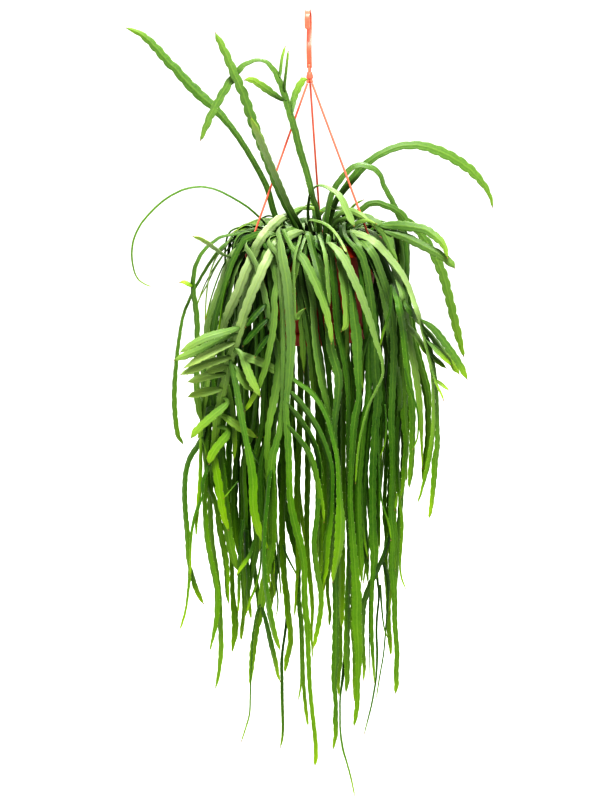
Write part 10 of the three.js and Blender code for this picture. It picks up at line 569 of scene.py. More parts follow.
    ("z12", "trailing_stems_extra_back_left", 0, 1, [[-336,311,-2955,35,26,-49,-87,3],[-350,325,-2825,48,26,-53,-85,5],[-382,354,-2720,61,26,-58,-81,7],[-419,386,-2662,70,26,-61,-79,7],[-501,457,-2596,70,26,-63,-77,5],[-561,507,-2584,70,26,-64,-77,-1],[-591,532,-2589,70,26,-63,-77,-3],[-651,581,-2622,70,26,-60,-80,-7],[-701,621,-2671,70,26,-55,-83,-6],[-720,635,-2700,70,26,-55,-84,-3],[-747,654,-2768,70,26,-54,-84,0],[-771,668,-2890,70,26,-52,-85,2],[-788,670,-3094,70,26,-56,-82,4],[-787,658,-3336,70,26,-55,-84,4],[-785,644,-3619,70,26,-65,-76,2],[-795,644,-3983,70,26,-63,-78,1],[-804,648,-4387,70,26,-50,-87,0],[-807,652,-4711,70,26,-47,-89,-1],[-806,655,-4994,70,26,-55,-84,-1],[-803,656,-5237,70,26,-58,-82,-1],[-797,657,-5479,70,26,-60,-80,-2],[-789,657,-5722,70,26,-50,-86,-1],[-777,655,-6005,70,26,-55,-84,-2],[-763,652,-6288,70,26,-55,-84,-2],[-745,648,-6611,70,26,-56,-83,-2],[-730,646,-6894,70,26,-57,-82,-3],[-711,644,-7217,22,26,-58,-82,-3]]),
    ("z13", "trailing_stems_extra_back_left", 0, 1, [[-562,137,-2955,50,26,12,-99,6],[-589,144,-2830,69,26,3,-100,9],[-622,152,-2760,81,26,-1,-99,14],[-673,164,-2699,94,26,-8,-98,17],[-741,180,-2653,100,26,-18,-98,12],[-778,188,-2640,100,26,-21,-98,6],[-853,206,-2645,100,26,-20,-98,-7],[-925,222,-2681,100,26,-13,-98,-13],[-977,234,-2736,100,26,-2,-99,-12],[-1008,240,-2807,100,26,2,-100,-6],[-1027,243,-2890,100,26,4,-100,-3],[-1041,243,-3095,100,26,7,-100,2],[-1035,240,-3218,100,26,-1,-100,4],[-995,224,-3583,100,26,5,-100,4],[-985,218,-3787,100,26,3,-100,3],[-989,212,-4114,100,26,17,-98,1],[-1001,207,-4441,100,26,7,-100,2],[-998,198,-4768,22,26,-1,-100,3]]),
    ("z14", "trailing_stems_extra_front_right", 0, 1, [[598,-113,-2955,50,26,-18,97,15],[632,-120,-2880,62,26,-17,97,19],[678,-129,-2814,75,26,-8,97,23],[740,-140,-2763,88,26,7,97,22],[775,-147,-2748,94,26,16,98,13],[813,-155,-2743,100,26,20,98,1],[886,-171,-2758,100,26,12,97,-20],[915,-177,-2777,100,26,0,97,-25],[953,-187,-2839,100,26,-20,96,-17],[973,-193,-2921,100,26,-26,96,-9],[983,-199,-3085,100,26,-30,95,-3],[977,-201,-3328,100,26,-29,96,1],[968,-201,-3612,100,26,-30,96,0],[973,-198,-3896,100,26,-29,96,1],[980,-193,-4140,100,26,-26,96,1],[995,-183,-4505,100,26,-20,98,2],[1013,-173,-4829,100,26,-10,99,2],[1035,-164,-5194,100,26,-15,99,1],[1059,-161,-5599,100,26,-14,99,-1],[1076,-166,-5924,22,26,-20,98,-4]]),
    ("z15", "trailing_stems_extra_right", 0, 1, [[653,58,-2955,28,26,41,89,-19],[704,63,-2843,38,26,37,89,-28],[754,67,-2779,45,26,24,91,-34],[818,73,-2737,52,26,-4,98,-21],[855,78,-2732,55,26,-12,99,0],[924,87,-2752,55,26,8,94,34],[952,91,-2774,55,26,24,90,35],[973,94,-2805,55,26,34,90,28],[1000,100,-2881,55,26,48,86,16],[1015,107,-3004,55,26,50,86,7],[1015,113,-3166,55,26,54,84,-1],[982,116,-3407,55,26,55,83,-9],[954,118,-3648,55,26,56,83,-3],[937,118,-3971,55,26,61,79,-3],[920,115,-4294,55,26,55,84,-4],[903,110,-4618,55,26,55,84,-5],[880,104,-4981,55,26,51,86,-5],[854,100,-5304,55,26,47,88,-5],[816,99,-5706,55,26,44,90,-4],[775,101,-6068,55,26,40,92,-4],[725,106,-6470,55,26,51,86,-5],[678,110,-6831,55,26,47,88,-5],[638,112,-7152,22,26,44,90,-5]]),
    ("z16", "trailing_stems_extra_back_right", 0, 1, [[7,508,-2955,48,26,-47,87,-13],[7,535,-2827,65,26,-42,86,-29],[7,568,-2761,77,26,-48,73,-49],[9,617,-2709,89,26,-66,48,-58],[20,729,-2651,95,26,-85,26,-45],[36,854,-2626,95,26,-99,14,-2],[55,981,-2646,95,26,-89,25,39],[67,1059,-2676,95,26,-78,39,48],[73,1090,-2696,95,26,-70,51,50],[82,1135,-2747,95,26,-54,76,35],[89,1162,-2820,95,26,-51,84,19],[94,1178,-2904,95,26,-49,87,9],[97,1193,-3108,95,26,-50,86,9],[89,1225,-3349,95,26,-40,91,8],[69,1225,-3593,95,26,-39,92,1],[39,1210,-3958,95,26,-41,91,-1],[24,1201,-4323,95,26,-32,95,0],[25,1204,-4566,95,26,-40,92,3],[31,1219,-4809,95,26,-40,92,6],[36,1249,-5132,22,26,-46,88,9]]),
    ("z17", "trailing_stems_extra_right", 0, 1, [[420,290,-2955,35,26,-48,88,-4],[444,306,-2876,44,26,-49,87,-4],[478,329,-2809,52,26,-52,85,-4],[526,363,-2754,61,26,-54,84,-5],[586,405,-2719,70,26,-57,82,-2],[652,451,-2715,70,26,-58,82,1],[714,495,-2737,70,26,-57,82,4],[757,526,-2784,70,26,-54,84,4],[781,545,-2857,70,26,-53,85,3],[798,559,-3022,70,26,-52,85,2],[794,559,-3225,70,26,-51,86,0],[757,537,-3507,70,26,-48,88,-1],[721,515,-3829,70,26,-54,84,0],[683,490,-4233,70,26,-55,83,0],[654,471,-4597,70,26,-58,81,0],[631,456,-4921,70,26,-66,75,1],[611,444,-5245,70,26,-75,66,2],[590,432,-5610,70,26,-74,68,2],[567,421,-6015,70,26,-75,67,3],[545,410,-6380,70,26,-76,65,3],[519,398,-6745,70,26,-76,65,3],[497,386,-7028,70,26,-78,63,4],[468,370,-7352,22,26,-80,60,4]]),
    ("z18", "trailing_stems_extra_back_left", 0, 1, [[-336,196,-2955,35,26,-56,-83,-3],[-372,216,-2884,44,26,-53,-85,-2],[-419,244,-2831,52,26,-52,-86,-2],[-480,280,-2793,61,26,-52,-86,-4],[-550,320,-2769,70,26,-51,-86,-2],[-661,385,-2759,70,26,-50,-86,0],[-769,448,-2767,70,26,-51,-86,0],[-820,478,-2793,70,26,-53,-85,2],[-837,488,-2820,70,26,-53,-85,1],[-860,502,-2897,70,26,-59,-81,1],[-871,511,-3022,70,26,-60,-80,-1],[-855,509,-3346,70,26,-56,-83,-2],[-864,516,-3631,70,26,-57,-82,1],[-868,512,-3875,70,26,-59,-81,4],[-858,475,-4239,70,26,-58,-81,8],[-848,450,-4401,70,26,-58,-81,9],[-827,398,-4723,22,26,-59,-80,9]]),
    ("z19", "trailing_stems_extra_front_right", 0, 1, [[390,-102,-2955,48,26,-9,97,20],[433,-114,-2887,59,26,-1,98,22],[488,-128,-2837,71,26,9,97,24],[597,-157,-2787,89,26,22,97,13],[677,-178,-2772,95,26,25,97,4],[803,-211,-2771,95,26,26,97,-2],[878,-231,-2778,95,26,24,97,-9],[907,-239,-2788,95,26,15,97,-19],[930,-246,-2808,95,26,0,98,-21],[961,-254,-2878,95,26,-11,99,-11],[979,-260,-3003,95,26,-10,99,-3],[980,-263,-3207,95,26,-13,99,0],[960,-264,-3531,95,26,-6,100,0],[945,-268,-3855,95,26,-10,99,-1],[928,-275,-4180,95,26,-5,100,-2],[909,-280,-4464,95,26,-2,100,-2],[884,-285,-4788,95,26,-7,100,0],[859,-286,-5071,95,26,-1,100,0],[835,-284,-5313,95,26,2,100,1],[807,-279,-5596,95,26,12,99,1],[778,-271,-5879,95,26,4,100,3],[749,-261,-6161,95,26,-5,100,4],[715,-246,-6525,95,26,-3,100,4],[685,-232,-6888,95,26,1,100,4],[662,-221,-7212,22,26,4,100,3]]),
    ("z20", "trailing_stems_extra_front_right", 0, 1, [[544,-86,-2955,42,26,81,57,-11],[571,-90,-2829,58,26,76,61,-23],[586,-92,-2794,64,26,72,62,-30],[626,-98,-2734,74,26,55,73,-41],[686,-107,-2686,85,26,39,80,-44],[803,-124,-2637,85,26,18,96,-21],[843,-129,-2631,85,26,14,99,-7],[925,-140,-2638,85,26,17,96,20],[1042,-155,-2682,85,26,34,85,40],[1095,-161,-2729,85,26,58,72,38],[1127,-164,-2795,85,26,70,67,22],[1158,-164,-2959,85,26,76,65,8],[1165,-159,-3161,85,26,73,68,1],[1150,-149,-3402,85,26,75,66,-3],[1137,-141,-3603,85,26,72,69,0],[1132,-129,-3926,85,26,72,69,2],[1126,-115,-4288,85,26,64,77,2],[1119,-103,-4610,85,26,67,74,1],[1110,-92,-4892,85,26,65,76,0],[1098,-83,-5174,85,26,72,69,-1],[1082,-74,-5455,85,26,74,67,-3],[1064,-68,-5737,85,26,73,69,-4],[1043,-63,-6018,85,26,76,64,-5],[1021,-59,-6299,85,26,79,62,-6],[994,-57,-6620,85,26,80,60,-6],[970,-55,-6901,85,26,78,63,-6],[944,-55,-7223,85,26,77,64,-6],[920,-54,-7544,22,26,78,63,-5]]),
    ("z21", "trailing_stems_extra_back_left", 0, 1, [[-442,505,-2955,50,26,-94,-8,-32],[-470,537,-2885,62,26,-92,-17,-35],[-506,578,-2825,75,26,-87,-33,-37],[-551,630,-2782,88,26,-79,-54,-29],[-576,659,-2771,94,26,-77,-62,-15],[-626,719,-2771,100,26,-78,-61,13],[-647,746,-2781,100,26,-83,-50,27],[-664,768,-2800,100,26,-90,-30,31],[-677,785,-2828,100,26,-96,-13,25],[-686,798,-2866,100,26,-98,-6,16],[-694,812,-2949,100,26,-100,1,5],[-695,823,-3112,100,26,-100,1,-2],[-687,824,-3356,100,26,-100,5,-4],[-678,823,-3640,100,26,-100,2,-1],[-679,827,-3884,100,26,-100,4,2],[-683,831,-4086,100,26,-100,6,2],[-690,833,-4411,100,26,-100,-1,3],[-697,830,-4695,100,26,-100,-2,2],[-705,824,-5020,100,26,-99,-15,3],[-711,815,-5385,100,26,-97,-26,2],[-712,804,-5751,100,26,-99,-16,0],[-704,792,-6156,100,26,-100,-10,-2],[-694,783,-6481,100,26,-99,-10,-4],[-682,777,-6765,100,26,-99,-11,-4],[-667,771,-7089,100,26,-100,-9,-4],[-655,767,-7373,100,26,-100,0,-4],[-644,763,-7698,22,26,-100,4,-3]]),
    ("z22", "trailing_stems_extra_back_left", 0, 1, [[-530,245,-2955,48,26,-88,-44,-17],[-567,262,-2838,65,26,-80,-54,-26],[-608,281,-2775,77,26,-70,-62,-35],[-666,308,-2724,89,26,-57,-75,-34],[-734,339,-2696,95,26,-43,-90,-11],[-806,372,-2702,95,26,-45,-87,18],[-871,402,-2733,95,26,-60,-72,35],[-914,421,-2787,95,26,-81,-51,29],[-938,432,-2863,95,26,-88,-45,15],[-954,438,-2986,95,26,-89,-45,5],[-958,438,-3148,95,26,-87,-48,-2],[-946,431,-3268,95,26,-86,-50,-8],[-908,409,-3507,95,26,-85,-52,-7],[-894,400,-3667,95,26,-81,-59,-2],[-876,382,-4030,95,26,-79,-61,0],[-864,367,-4352,95,26,-77,-63,0],[-851,350,-4715,95,26,-77,-64,0],[-837,333,-5078,95,26,-75,-66,0],[-824,320,-5360,95,26,-77,-64,-1],[-807,307,-5642,95,26,-78,-62,-2],[-789,296,-5883,95,26,-76,-65,-3],[-764,282,-6164,95,26,-73,-68,-4],[-740,271,-6405,95,26,-75,-66,-5],[-710,256,-6685,95,26,-73,-68,-5],[-674,239,-7006,22,26,-73,-69,-5]]),
    ("z23", "trailing_stems_extra_right", 0, 1, [[544,212,-2955,42,26,-20,98,-10],[585,228,-2887,53,26,-24,97,-10],[638,248,-2833,64,26,-29,95,-10],[704,274,-2794,74,26,-32,94,-7],[779,300,-2774,85,26,-31,95,-2],[899,337,-2772,85,26,-27,96,2],[964,354,-2790,85,26,-21,98,3],[988,359,-2812,85,26,-17,99,1],[1020,363,-2883,85,26,-11,99,-2],[1039,359,-3007,85,26,-10,99,-6],[1046,348,-3169,85,26,-4,100,-8],[1036,331,-3370,85,26,-10,99,-8],[1014,312,-3611,85,26,-7,100,-6],[976,293,-3931,85,26,-2,100,-5],[932,281,-4291,85,26,-18,98,0],[894,277,-4612,85,26,-12,99,1],[859,275,-4933,85,26,-1,100,0],[829,275,-5254,85,26,0,100,0],[804,273,-5576,85,26,5,100,-1],[783,270,-5898,85,26,7,100,-2],[765,264,-6221,85,26,6,100,-2],[747,257,-6543,85,26,0,100,-2],[728,249,-6865,85,26,7,100,-3],[705,243,-7187,22,26,5,100,-2]]),
    ("z24", "trailing_stems_extra_right", 0, 1, [[391,518,-2955,35,26,-73,68,-4],[422,559,-2846,48,26,-78,62,-2],[454,602,-2795,57,26,-78,62,-4],[497,658,-2757,66,26,-78,63,-1],[576,753,-2726,70,26,-76,66,0],[691,882,-2733,70,26,-74,67,-2],[741,936,-2751,70,26,-73,69,-2],[776,970,-2792,70,26,-75,66,-7],[799,990,-2864,70,26,-79,60,-7],[816,1000,-2988,70,26,-83,56,-6],[826,998,-3190,70,26,-85,53,-3],[824,992,-3472,70,26,-84,54,1],[808,990,-3794,70,26,-82,58,6],[783,993,-4076,70,26,-80,60,10],[756,1002,-4317,70,26,-75,65,12],[717,1018,-4640,70,26,-73,67,13],[677,1036,-4962,70,26,-77,63,13],[643,1055,-5284,70,26,-79,61,11],[616,1071,-5647,70,26,-76,65,6],[607,1079,-5969,70,26,-76,66,2],[614,1081,-6331,70,26,-71,70,-4],[639,1074,-6694,70,26,-57,82,-8],[678,1056,-7097,70,26,-62,78,-11],[715,1033,-7459,70,26,-53,84,-11],[742,1012,-7782,22,26,-61,79,-10]]),
    ("z25", "trailing_stems_extra_back_right", 0, 1, [[-244,417,-2955,35,26,-29,-94,15],[-262,448,-2834,48,26,-34,-90,29],[-283,483,-2775,57,26,-51,-76,39],[-296,506,-2751,61,26,-58,-70,41],[-332,566,-2711,70,26,-70,-61,38],[-396,673,-2675,70,26,-83,-53,14],[-463,782,-2675,70,26,-84,-53,-11],[-529,888,-2704,70,26,-76,-59,-27],[-562,939,-2738,70,26,-54,-76,-37],[-573,957,-2763,70,26,-42,-85,-31],[-590,981,-2834,70,26,-30,-94,-17],[-603,997,-2959,70,26,-23,-97,-4],[-621,1010,-3283,70,26,-30,-95,-3],[-640,1021,-3646,70,26,-28,-96,2],[-647,1017,-3928,70,26,-28,-96,2],[-653,1011,-4211,70,26,-33,-94,3],[-657,1003,-4494,70,26,-35,-94,3],[-658,993,-4817,70,26,-38,-93,3],[-656,984,-5140,70,26,-35,-94,2],[-652,976,-5463,70,26,-31,-95,1],[-645,971,-5786,70,26,-28,-96,0],[-635,971,-6110,70,26,-22,-97,-1],[-625,976,-6433,70,26,-23,-97,-3],[-614,983,-6716,70,26,-22,-97,-4],[-600,998,-7079,70,26,-15,-99,-5],[-585,1017,-7443,70,26,-9,-99,-6],[-572,1036,-7766,22,26,-6,-100,-6]]),
    ("z26", "trailing_stems_extra_back_left", 0, 1, [[-509,42,-2955,35,26,4,-100,3],[-547,45,-2837,48,26,2,-100,5],[-590,49,-2773,57,26,0,-100,8],[-652,54,-2721,66,26,-4,-99,9],[-726,63,-2689,70,26,-11,-99,5],[-806,73,-2689,70,26,-13,-99,-3],[-882,84,-2714,70,26,-10,-99,-9],[-936,93,-2760,70,26,-2,-99,-12],[-968,100,-2829,70,26,4,-99,-10],[-994,111,-2993,70,26,0,-100,-5],[-995,120,-3195,70,26,0,-100,-4],[-975,127,-3436,70,26,8,-100,-1],[-954,132,-3718,70,26,2,-100,-1],[-945,135,-3960,70,26,-1,-100,-1],[-933,135,-4242,70,26,3,-100,1],[-921,132,-4524,70,26,6,-100,2],[-909,127,-4766,70,26,5,-100,3],[-895,120,-5007,70,26,6,-100,4],[-883,113,-5208,70,26,10,-99,4],[-856,99,-5570,70,26,5,-100,5],[-829,85,-5892,70,26,2,-100,5],[-792,68,-6294,70,26,-2,-100,4],[-757,52,-6655,70,26,-2,-100,4],[-717,35,-7056,70,26,14,-99,6],[-687,21,-7377,22,26,8,-100,5]]),
    ("z27", "trailing_stems_extra_back_right", 0, 1, [[-133,575,-2955,28,26,-91,-42,6],[-142,616,-2838,38,26,-90,-41,11],[-152,661,-2776,45,26,-93,-34,12],[-168,724,-2727,52,26,-95,-30,9],[-189,798,-2699,55,26,-96,-29,2],[-212,876,-2702,55,26,-95,-31,-3],[-236,947,-2728,55,26,-93,-36,-6],[-254,996,-2776,55,26,-89,-46,-5],[-268,1023,-2849,55,26,-86,-50,0],[-278,1037,-2932,55,26,-86,-50,4],[-290,1043,-3054,55,26,-84,-54,7],[-315,1026,-3419,55,26,-83,-55,9],[-329,1001,-3702,55,26,-87,-48,8],[-338,966,-4024,55,26,-87,-49,7],[-344,938,-4307,55,26,-89,-46,5],[-347,909,-4670,55,26,-88,-48,3],[-344,889,-5034,55,26,-85,-52,1],[-340,880,-5277,55,26,-86,-50,-1],[-334,876,-5479,55,26,-86,-52,-2],[-324,873,-5722,55,26,-83,-56,-3],[-314,873,-5925,55,26,-80,-59,-5],[-289,876,-6330,55,26,-79,-62,-6],[-260,877,-6694,55,26,-86,-51,-7],[-231,875,-7018,22,26,-83,-56,-7]]),
    ("z28", "trailing_stems_extra_back_right", 0, 1, [[21,647,-2955,35,26,-97,-21,10],[22,679,-2879,44,26,-98,-17,11],[23,724,-2813,52,26,-98,-13,14],[25,785,-2759,61,26,-99,-6,14],[26,821,-2743,66,26,-100,-1,10],[28,898,-2737,70,26,-100,1,-5],[29,967,-2764,70,26,-98,-11,-16],[29,992,-2788,70,26,-96,-21,-17],[29,1025,-2859,70,26,-95,-30,-8],[28,1041,-2942,70,26,-95,-32,-3],[27,1049,-3064,70,26,-92,-39,0],[21,1047,-3428,70,26,-94,-33,2],[17,1043,-3630,70,26,-96,-29,3],[11,1035,-3873,70,26,-97,-24,3],[4,1019,-4197,70,26,-98,-17,3],[-3,998,-4560,70,26,-100,-4,2],[-9,971,-4923,70,26,-100,-3,1],[-12,937,-5327,70,26,-100,-3,0],[-11,908,-5649,70,26,-100,5,-1],[-8,882,-5931,70,26,-99,13,-3],[-2,854,-6254,70,26,-100,6,-3],[6,831,-6536,70,26,-100,6,-3],[16,808,-6859,70,26,-100,8,-4],[25,792,-7142,70,26,-100,8,-4],[35,776,-7465,22,26,-99,16,-4]]),
    ("z29", "trailing_stems_extra_right", 0, 1, [[514,223,-2955,48,26,-4,98,-17],[549,238,-2882,59,26,-6,98,-21],[595,258,-2821,71,26,-19,96,-23],[656,284,-2774,83,26,-29,93,-20],[728,315,-2752,95,26,-38,92,-5],[803,346,-2755,95,26,-37,93,8],[864,372,-2780,95,26,-20,95,22],[886,380,-2805,95,26,-6,98,21],[914,391,-2879,95,26,7,99,10],[930,395,-3003,95,26,13,99,2],[933,392,-3165,95,26,19,98,-6],[921,384,-3285,95,26,13,98,-11],[880,359,-3525,95,26,11,99,-11],[864,346,-3686,95,26,14,99,-8],[846,325,-4009,95,26,11,99,-7],[831,305,-4292,95,26,8,99,-7],[816,284,-4615,95,26,11,99,-7],[799,265,-4938,95,26,-9,99,-5],[781,251,-5221,95,26,-6,100,-4],[760,241,-5504,95,26,-2,100,-3],[727,233,-5867,95,26,-5,100,-1],[686,231,-6230,95,26,-2,100,0],[651,231,-6511,95,26,-7,100,1],[611,232,-6792,95,26,-18,98,3],[571,232,-7073,95,26,-21,98,3],[524,230,-7395,22,26,-16,99,1]]),
    ("z30", "trailing_stems_extra_back_right", 0, 1, [[252,544,-2955,50,26,-71,70,-4],[260,561,-2829,69,26,-71,70,-8],[277,597,-2718,88,26,-74,66,-14],[296,636,-2648,100,26,-78,61,-16],[323,689,-2594,100,26,-84,52,-14],[337,717,-2582,100,26,-88,46,-5],[352,746,-2584,100,26,-87,48,8],[367,774,-2599,100,26,-82,55,15],[394,825,-2656,100,26,-75,64,15],[413,859,-2727,100,26,-72,69,10],[427,881,-2803,100,26,-72,69,4],[440,898,-2924,100,26,-79,62,-1],[457,907,-3207,100,26,-79,61,-3],[473,914,-3489,100,26,-78,62,-3],[484,908,-3811,100,26,-78,63,-4],[493,899,-4134,100,26,-77,64,-4],[503,891,-4497,100,26,-75,66,-3],[512,887,-4820,100,26,-70,72,-2],[520,888,-5183,100,26,-78,63,-1],[528,895,-5546,100,26,-80,60,0],[534,907,-5868,100,26,-79,61,2],[538,924,-6190,100,26,-85,53,2],[540,944,-6512,100,26,-78,63,4],[540,962,-6794,100,26,-75,66,5],[538,984,-7116,100,26,-79,61,5],[533,1003,-7439,22,26,-84,54,5]]),
    ("z31", "trailing_stems_extra_back_left", 0, 1, [[-398,61,-2955,28,26,-1,-100,3],[-431,66,-2830,38,26,-4,-100,5],[-467,72,-2770,45,26,-4,-99,10],[-492,75,-2746,48,26,-9,-99,8],[-558,86,-2706,55,26,-13,-99,6],[-681,105,-2664,55,26,-15,-99,3],[-807,125,-2654,55,26,-16,-99,-1],[-977,153,-2686,55,26,-15,-99,-4],[-1043,164,-2716,55,26,-12,-99,-9],[-1066,169,-2738,55,26,-8,-99,-9],[-1100,175,-2800,55,26,-4,-100,-6],[-1126,182,-2924,55,26,-8,-100,-4],[-1136,189,-3088,55,26,-8,-100,-4],[-1131,199,-3331,55,26,-3,-100,-4],[-1112,214,-3654,55,26,-6,-100,-6],[-1073,230,-3977,55,26,-5,-100,-6],[-1036,245,-4258,55,26,5,-100,-5],[-993,261,-4580,55,26,-3,-100,-5],[-951,274,-4902,55,26,-1,-100,-3],[-912,281,-5224,55,26,-1,-100,-2],[-878,283,-5547,55,26,-10,-99,0],[-859,280,-5749,55,26,-13,-99,1],[-843,276,-5950,55,26,-14,-99,2],[-829,269,-6152,55,26,-12,-99,3],[-817,260,-6354,55,26,-10,-99,4],[-802,242,-6678,55,26,-6,-100,6],[-791,225,-6961,55,26,-16,-99,6],[-779,205,-7285,55,26,-13,-99,6],[-767,186,-7609,22,26,-15,-99,5]]),
    ("z32", "trailing_stems_extra_right", 0, 1, [[637,33,-2955,48,26,-58,81,11],[668,34,-2833,65,26,-57,80,20],[704,36,-2763,77,26,-50,81,30],[757,39,-2701,89,26,-34,88,33],[825,42,-2660,95,26,-11,98,19],[862,44,-2655,95,26,-5,100,-2],[899,46,-2662,95,26,-11,98,-18],[967,50,-2701,95,26,-31,90,-30],[1014,52,-2761,95,26,-47,86,-22],[1042,54,-2836,95,26,-53,84,-13],[1065,55,-3000,95,26,-59,81,-3],[1067,56,-3203,95,26,-59,81,2],[1041,55,-3527,95,26,-58,81,5],[1011,54,-3891,95,26,-56,83,4],[986,53,-4215,95,26,-56,83,4],[967,52,-4498,95,26,-59,81,3],[950,51,-4781,95,26,-62,78,3],[937,49,-5065,95,26,-70,72,3],[922,48,-5471,95,26,-69,72,2],[911,46,-5836,95,26,-71,71,1],[902,43,-6241,95,26,-67,74,1],[894,40,-6647,95,26,-64,77,1],[883,37,-7012,95,26,-62,79,1],[868,34,-7418,95,26,-60,80,2],[852,30,-7742,22,26,-54,84,2]]),
    ("z33", "trailing_stems_extra_right", 0, 1, [[327,311,-2955,50,26,-83,54,10],[353,337,-2882,62,26,-82,56,13],[389,370,-2829,75,26,-76,63,16],[465,443,-2779,94,26,-70,70,10],[558,528,-2750,100,26,-68,73,5],[621,585,-2744,100,26,-67,74,1],[720,674,-2747,100,26,-67,75,-2],[810,753,-2759,100,26,-67,74,-9],[851,789,-2786,100,26,-77,60,-22],[879,811,-2848,100,26,-85,51,-13],[894,821,-2931,100,26,-85,52,-7],[906,824,-3094,100,26,-86,50,-4],[914,816,-3458,100,26,-87,49,-3],[924,809,-3821,100,26,-88,47,-4],[937,806,-4184,100,26,-81,58,-3],[947,799,-4547,100,26,-82,57,-3],[954,790,-4910,100,26,-81,58,-3],[956,781,-5192,100,26,-81,58,-3],[957,768,-5515,100,26,-82,57,-2],[955,756,-5797,100,26,-85,52,-2],[951,741,-6120,100,26,-84,54,-1],[947,725,-6442,100,26,-78,62,-2],[942,707,-6805,100,26,-81,58,-2],[938,693,-7127,100,26,-76,65,-2],[936,680,-7450,100,26,-75,66,-2],[937,669,-7773,22,26,-79,61,-2]]),
    ("z34", "trailing_stems_extra_back_right", 0, 1, [[135,532,-2955,42,26,-96,27,0],[144,568,-2834,58,26,-98,21,2],[154,608,-2772,69,26,-98,21,3],[168,668,-2721,80,26,-98,19,1],[181,744,-2685,85,26,-99,15,-1],[192,825,-2673,85,26,-99,13,0],[202,909,-2685,85,26,-99,12,1],[210,984,-2714,85,26,-99,11,3],[213,1036,-2762,85,26,-99,13,6],[214,1067,-2833,85,26,-99,15,5],[213,1088,-2958,85,26,-99,15,2],[215,1099,-3121,85,26,-99,17,-3],[230,1120,-3323,85,26,-99,14,-7],[253,1121,-3607,85,26,-98,20,-7],[261,1105,-3891,85,26,-99,13,0],[244,1082,-4215,85,26,-99,11,8],[224,1077,-4418,85,26,-99,11,10],[194,1089,-4743,22,26,-100,6,8]]),
    ("z110", "trailing_stems_extra_back_left", 0, 1, [[-438,381,-2955,42,26,-66,-75,0],[-467,406,-2836,58,26,-66,-75,0],[-500,435,-2770,69,26,-65,-76,0],[-548,475,-2717,80,26,-64,-77,-1],[-607,521,-2687,85,26,-61,-79,-1],[-671,570,-2693,85,26,-60,-80,2],[-728,612,-2726,85,26,-60,-80,4],[-750,627,-2751,85,26,-61,-79,6],[-778,644,-2819,85,26,-62,-78,6],[-797,650,-2944,85,26,-63,-78,5],[-804,645,-3149,85,26,-63,-78,3],[-809,644,-3353,85,26,-62,-78,1],[-807,647,-3638,85,26,-63,-78,-3],[-799,654,-3883,85,26,-63,-77,-6],[-776,663,-4209,85,26,-65,-76,-7],[-748,667,-4494,85,26,-66,-75,-7],[-720,665,-4779,85,26,-68,-74,-5],[-692,654,-5104,85,26,-69,-73,-2],[-676,639,-5389,85,26,-69,-73,2],[-669,621,-5674,85,26,-68,-73,4],[-673,600,-6000,22,26,-67,-74,6]]),
    ("z111", "trailing_stems_extra_back_left", 0, 1, [[-446,226,-2955,48,26,-45,-89,0],[-470,239,-2829,65,26,-45,-89,0],[-500,253,-2760,77,26,-45,-89,0],[-546,276,-2701,89,26,-44,-90,-1],[-575,290,-2675,95,26,-44,-90,-1],[-643,322,-2639,95,26,-42,-91,-1],[-715,355,-2636,95,26,-42,-91,0],[-786,388,-2665,95,26,-42,-91,1],[-841,413,-2713,95,26,-43,-90,2],[-873,426,-2778,95,26,-43,-90,2],[-891,434,-2858,95,26,-44,-90,1],[-898,436,-2942,95,26,-44,-90,1],[-904,441,-3268,95,26,-44,-90,-2],[-911,454,-3593,95,26,-44,-89,-3],[-894,459,-3917,95,26,-45,-89,-4],[-869,462,-4283,95,26,-47,-88,-3],[-850,459,-4567,95,26,-47,-88,-2],[-829,451,-4891,95,26,-48,-88,0],[-817,441,-5134,95,26,-48,-88,2],[-808,429,-5378,95,26,-47,-88,4],[-803,411,-5662,95,26,-46,-89,5],[-802,395,-5906,95,26,-44,-89,6],[-807,376,-6190,95,26,-42,-90,7],[-814,358,-6475,95,26,-40,-91,7],[-824,340,-6800,22,26,-38,-92,6]]),
    ("z112", "trailing_stems_extra_back_left", 0, 1, [[-578,163,-2955,40,26,-27,-96,0],[-610,172,-2879,50,26,-27,-96,0],[-654,184,-2816,60,26,-27,-96,0],[-716,202,-2766,70,26,-28,-96,0],[-789,224,-2737,80,26,-30,-95,0],[-867,250,-2737,80,26,-32,-95,-1],[-935,274,-2758,80,26,-34,-94,-4],[-960,284,-2779,80,26,-34,-94,-6],[-989,300,-2845,80,26,-31,-95,-8],[-1001,315,-2970,80,26,-30,-95,-9],[-997,333,-3174,80,26,-32,-94,-10],[-992,355,-3417,80,26,-33,-94,-8],[-955,363,-3739,80,26,-35,-94,-4],[-929,358,-4021,80,26,-36,-93,1],[-909,336,-4385,80,26,-35,-94,6],[-907,321,-4587,80,26,-33,-94,7],[-909,306,-4790,80,26,-32,-95,7],[-916,291,-5033,80,26,-30,-95,6],[-923,281,-5276,80,26,-29,-96,3],[-928,280,-5600,22,26,-29,-96,-1]]),
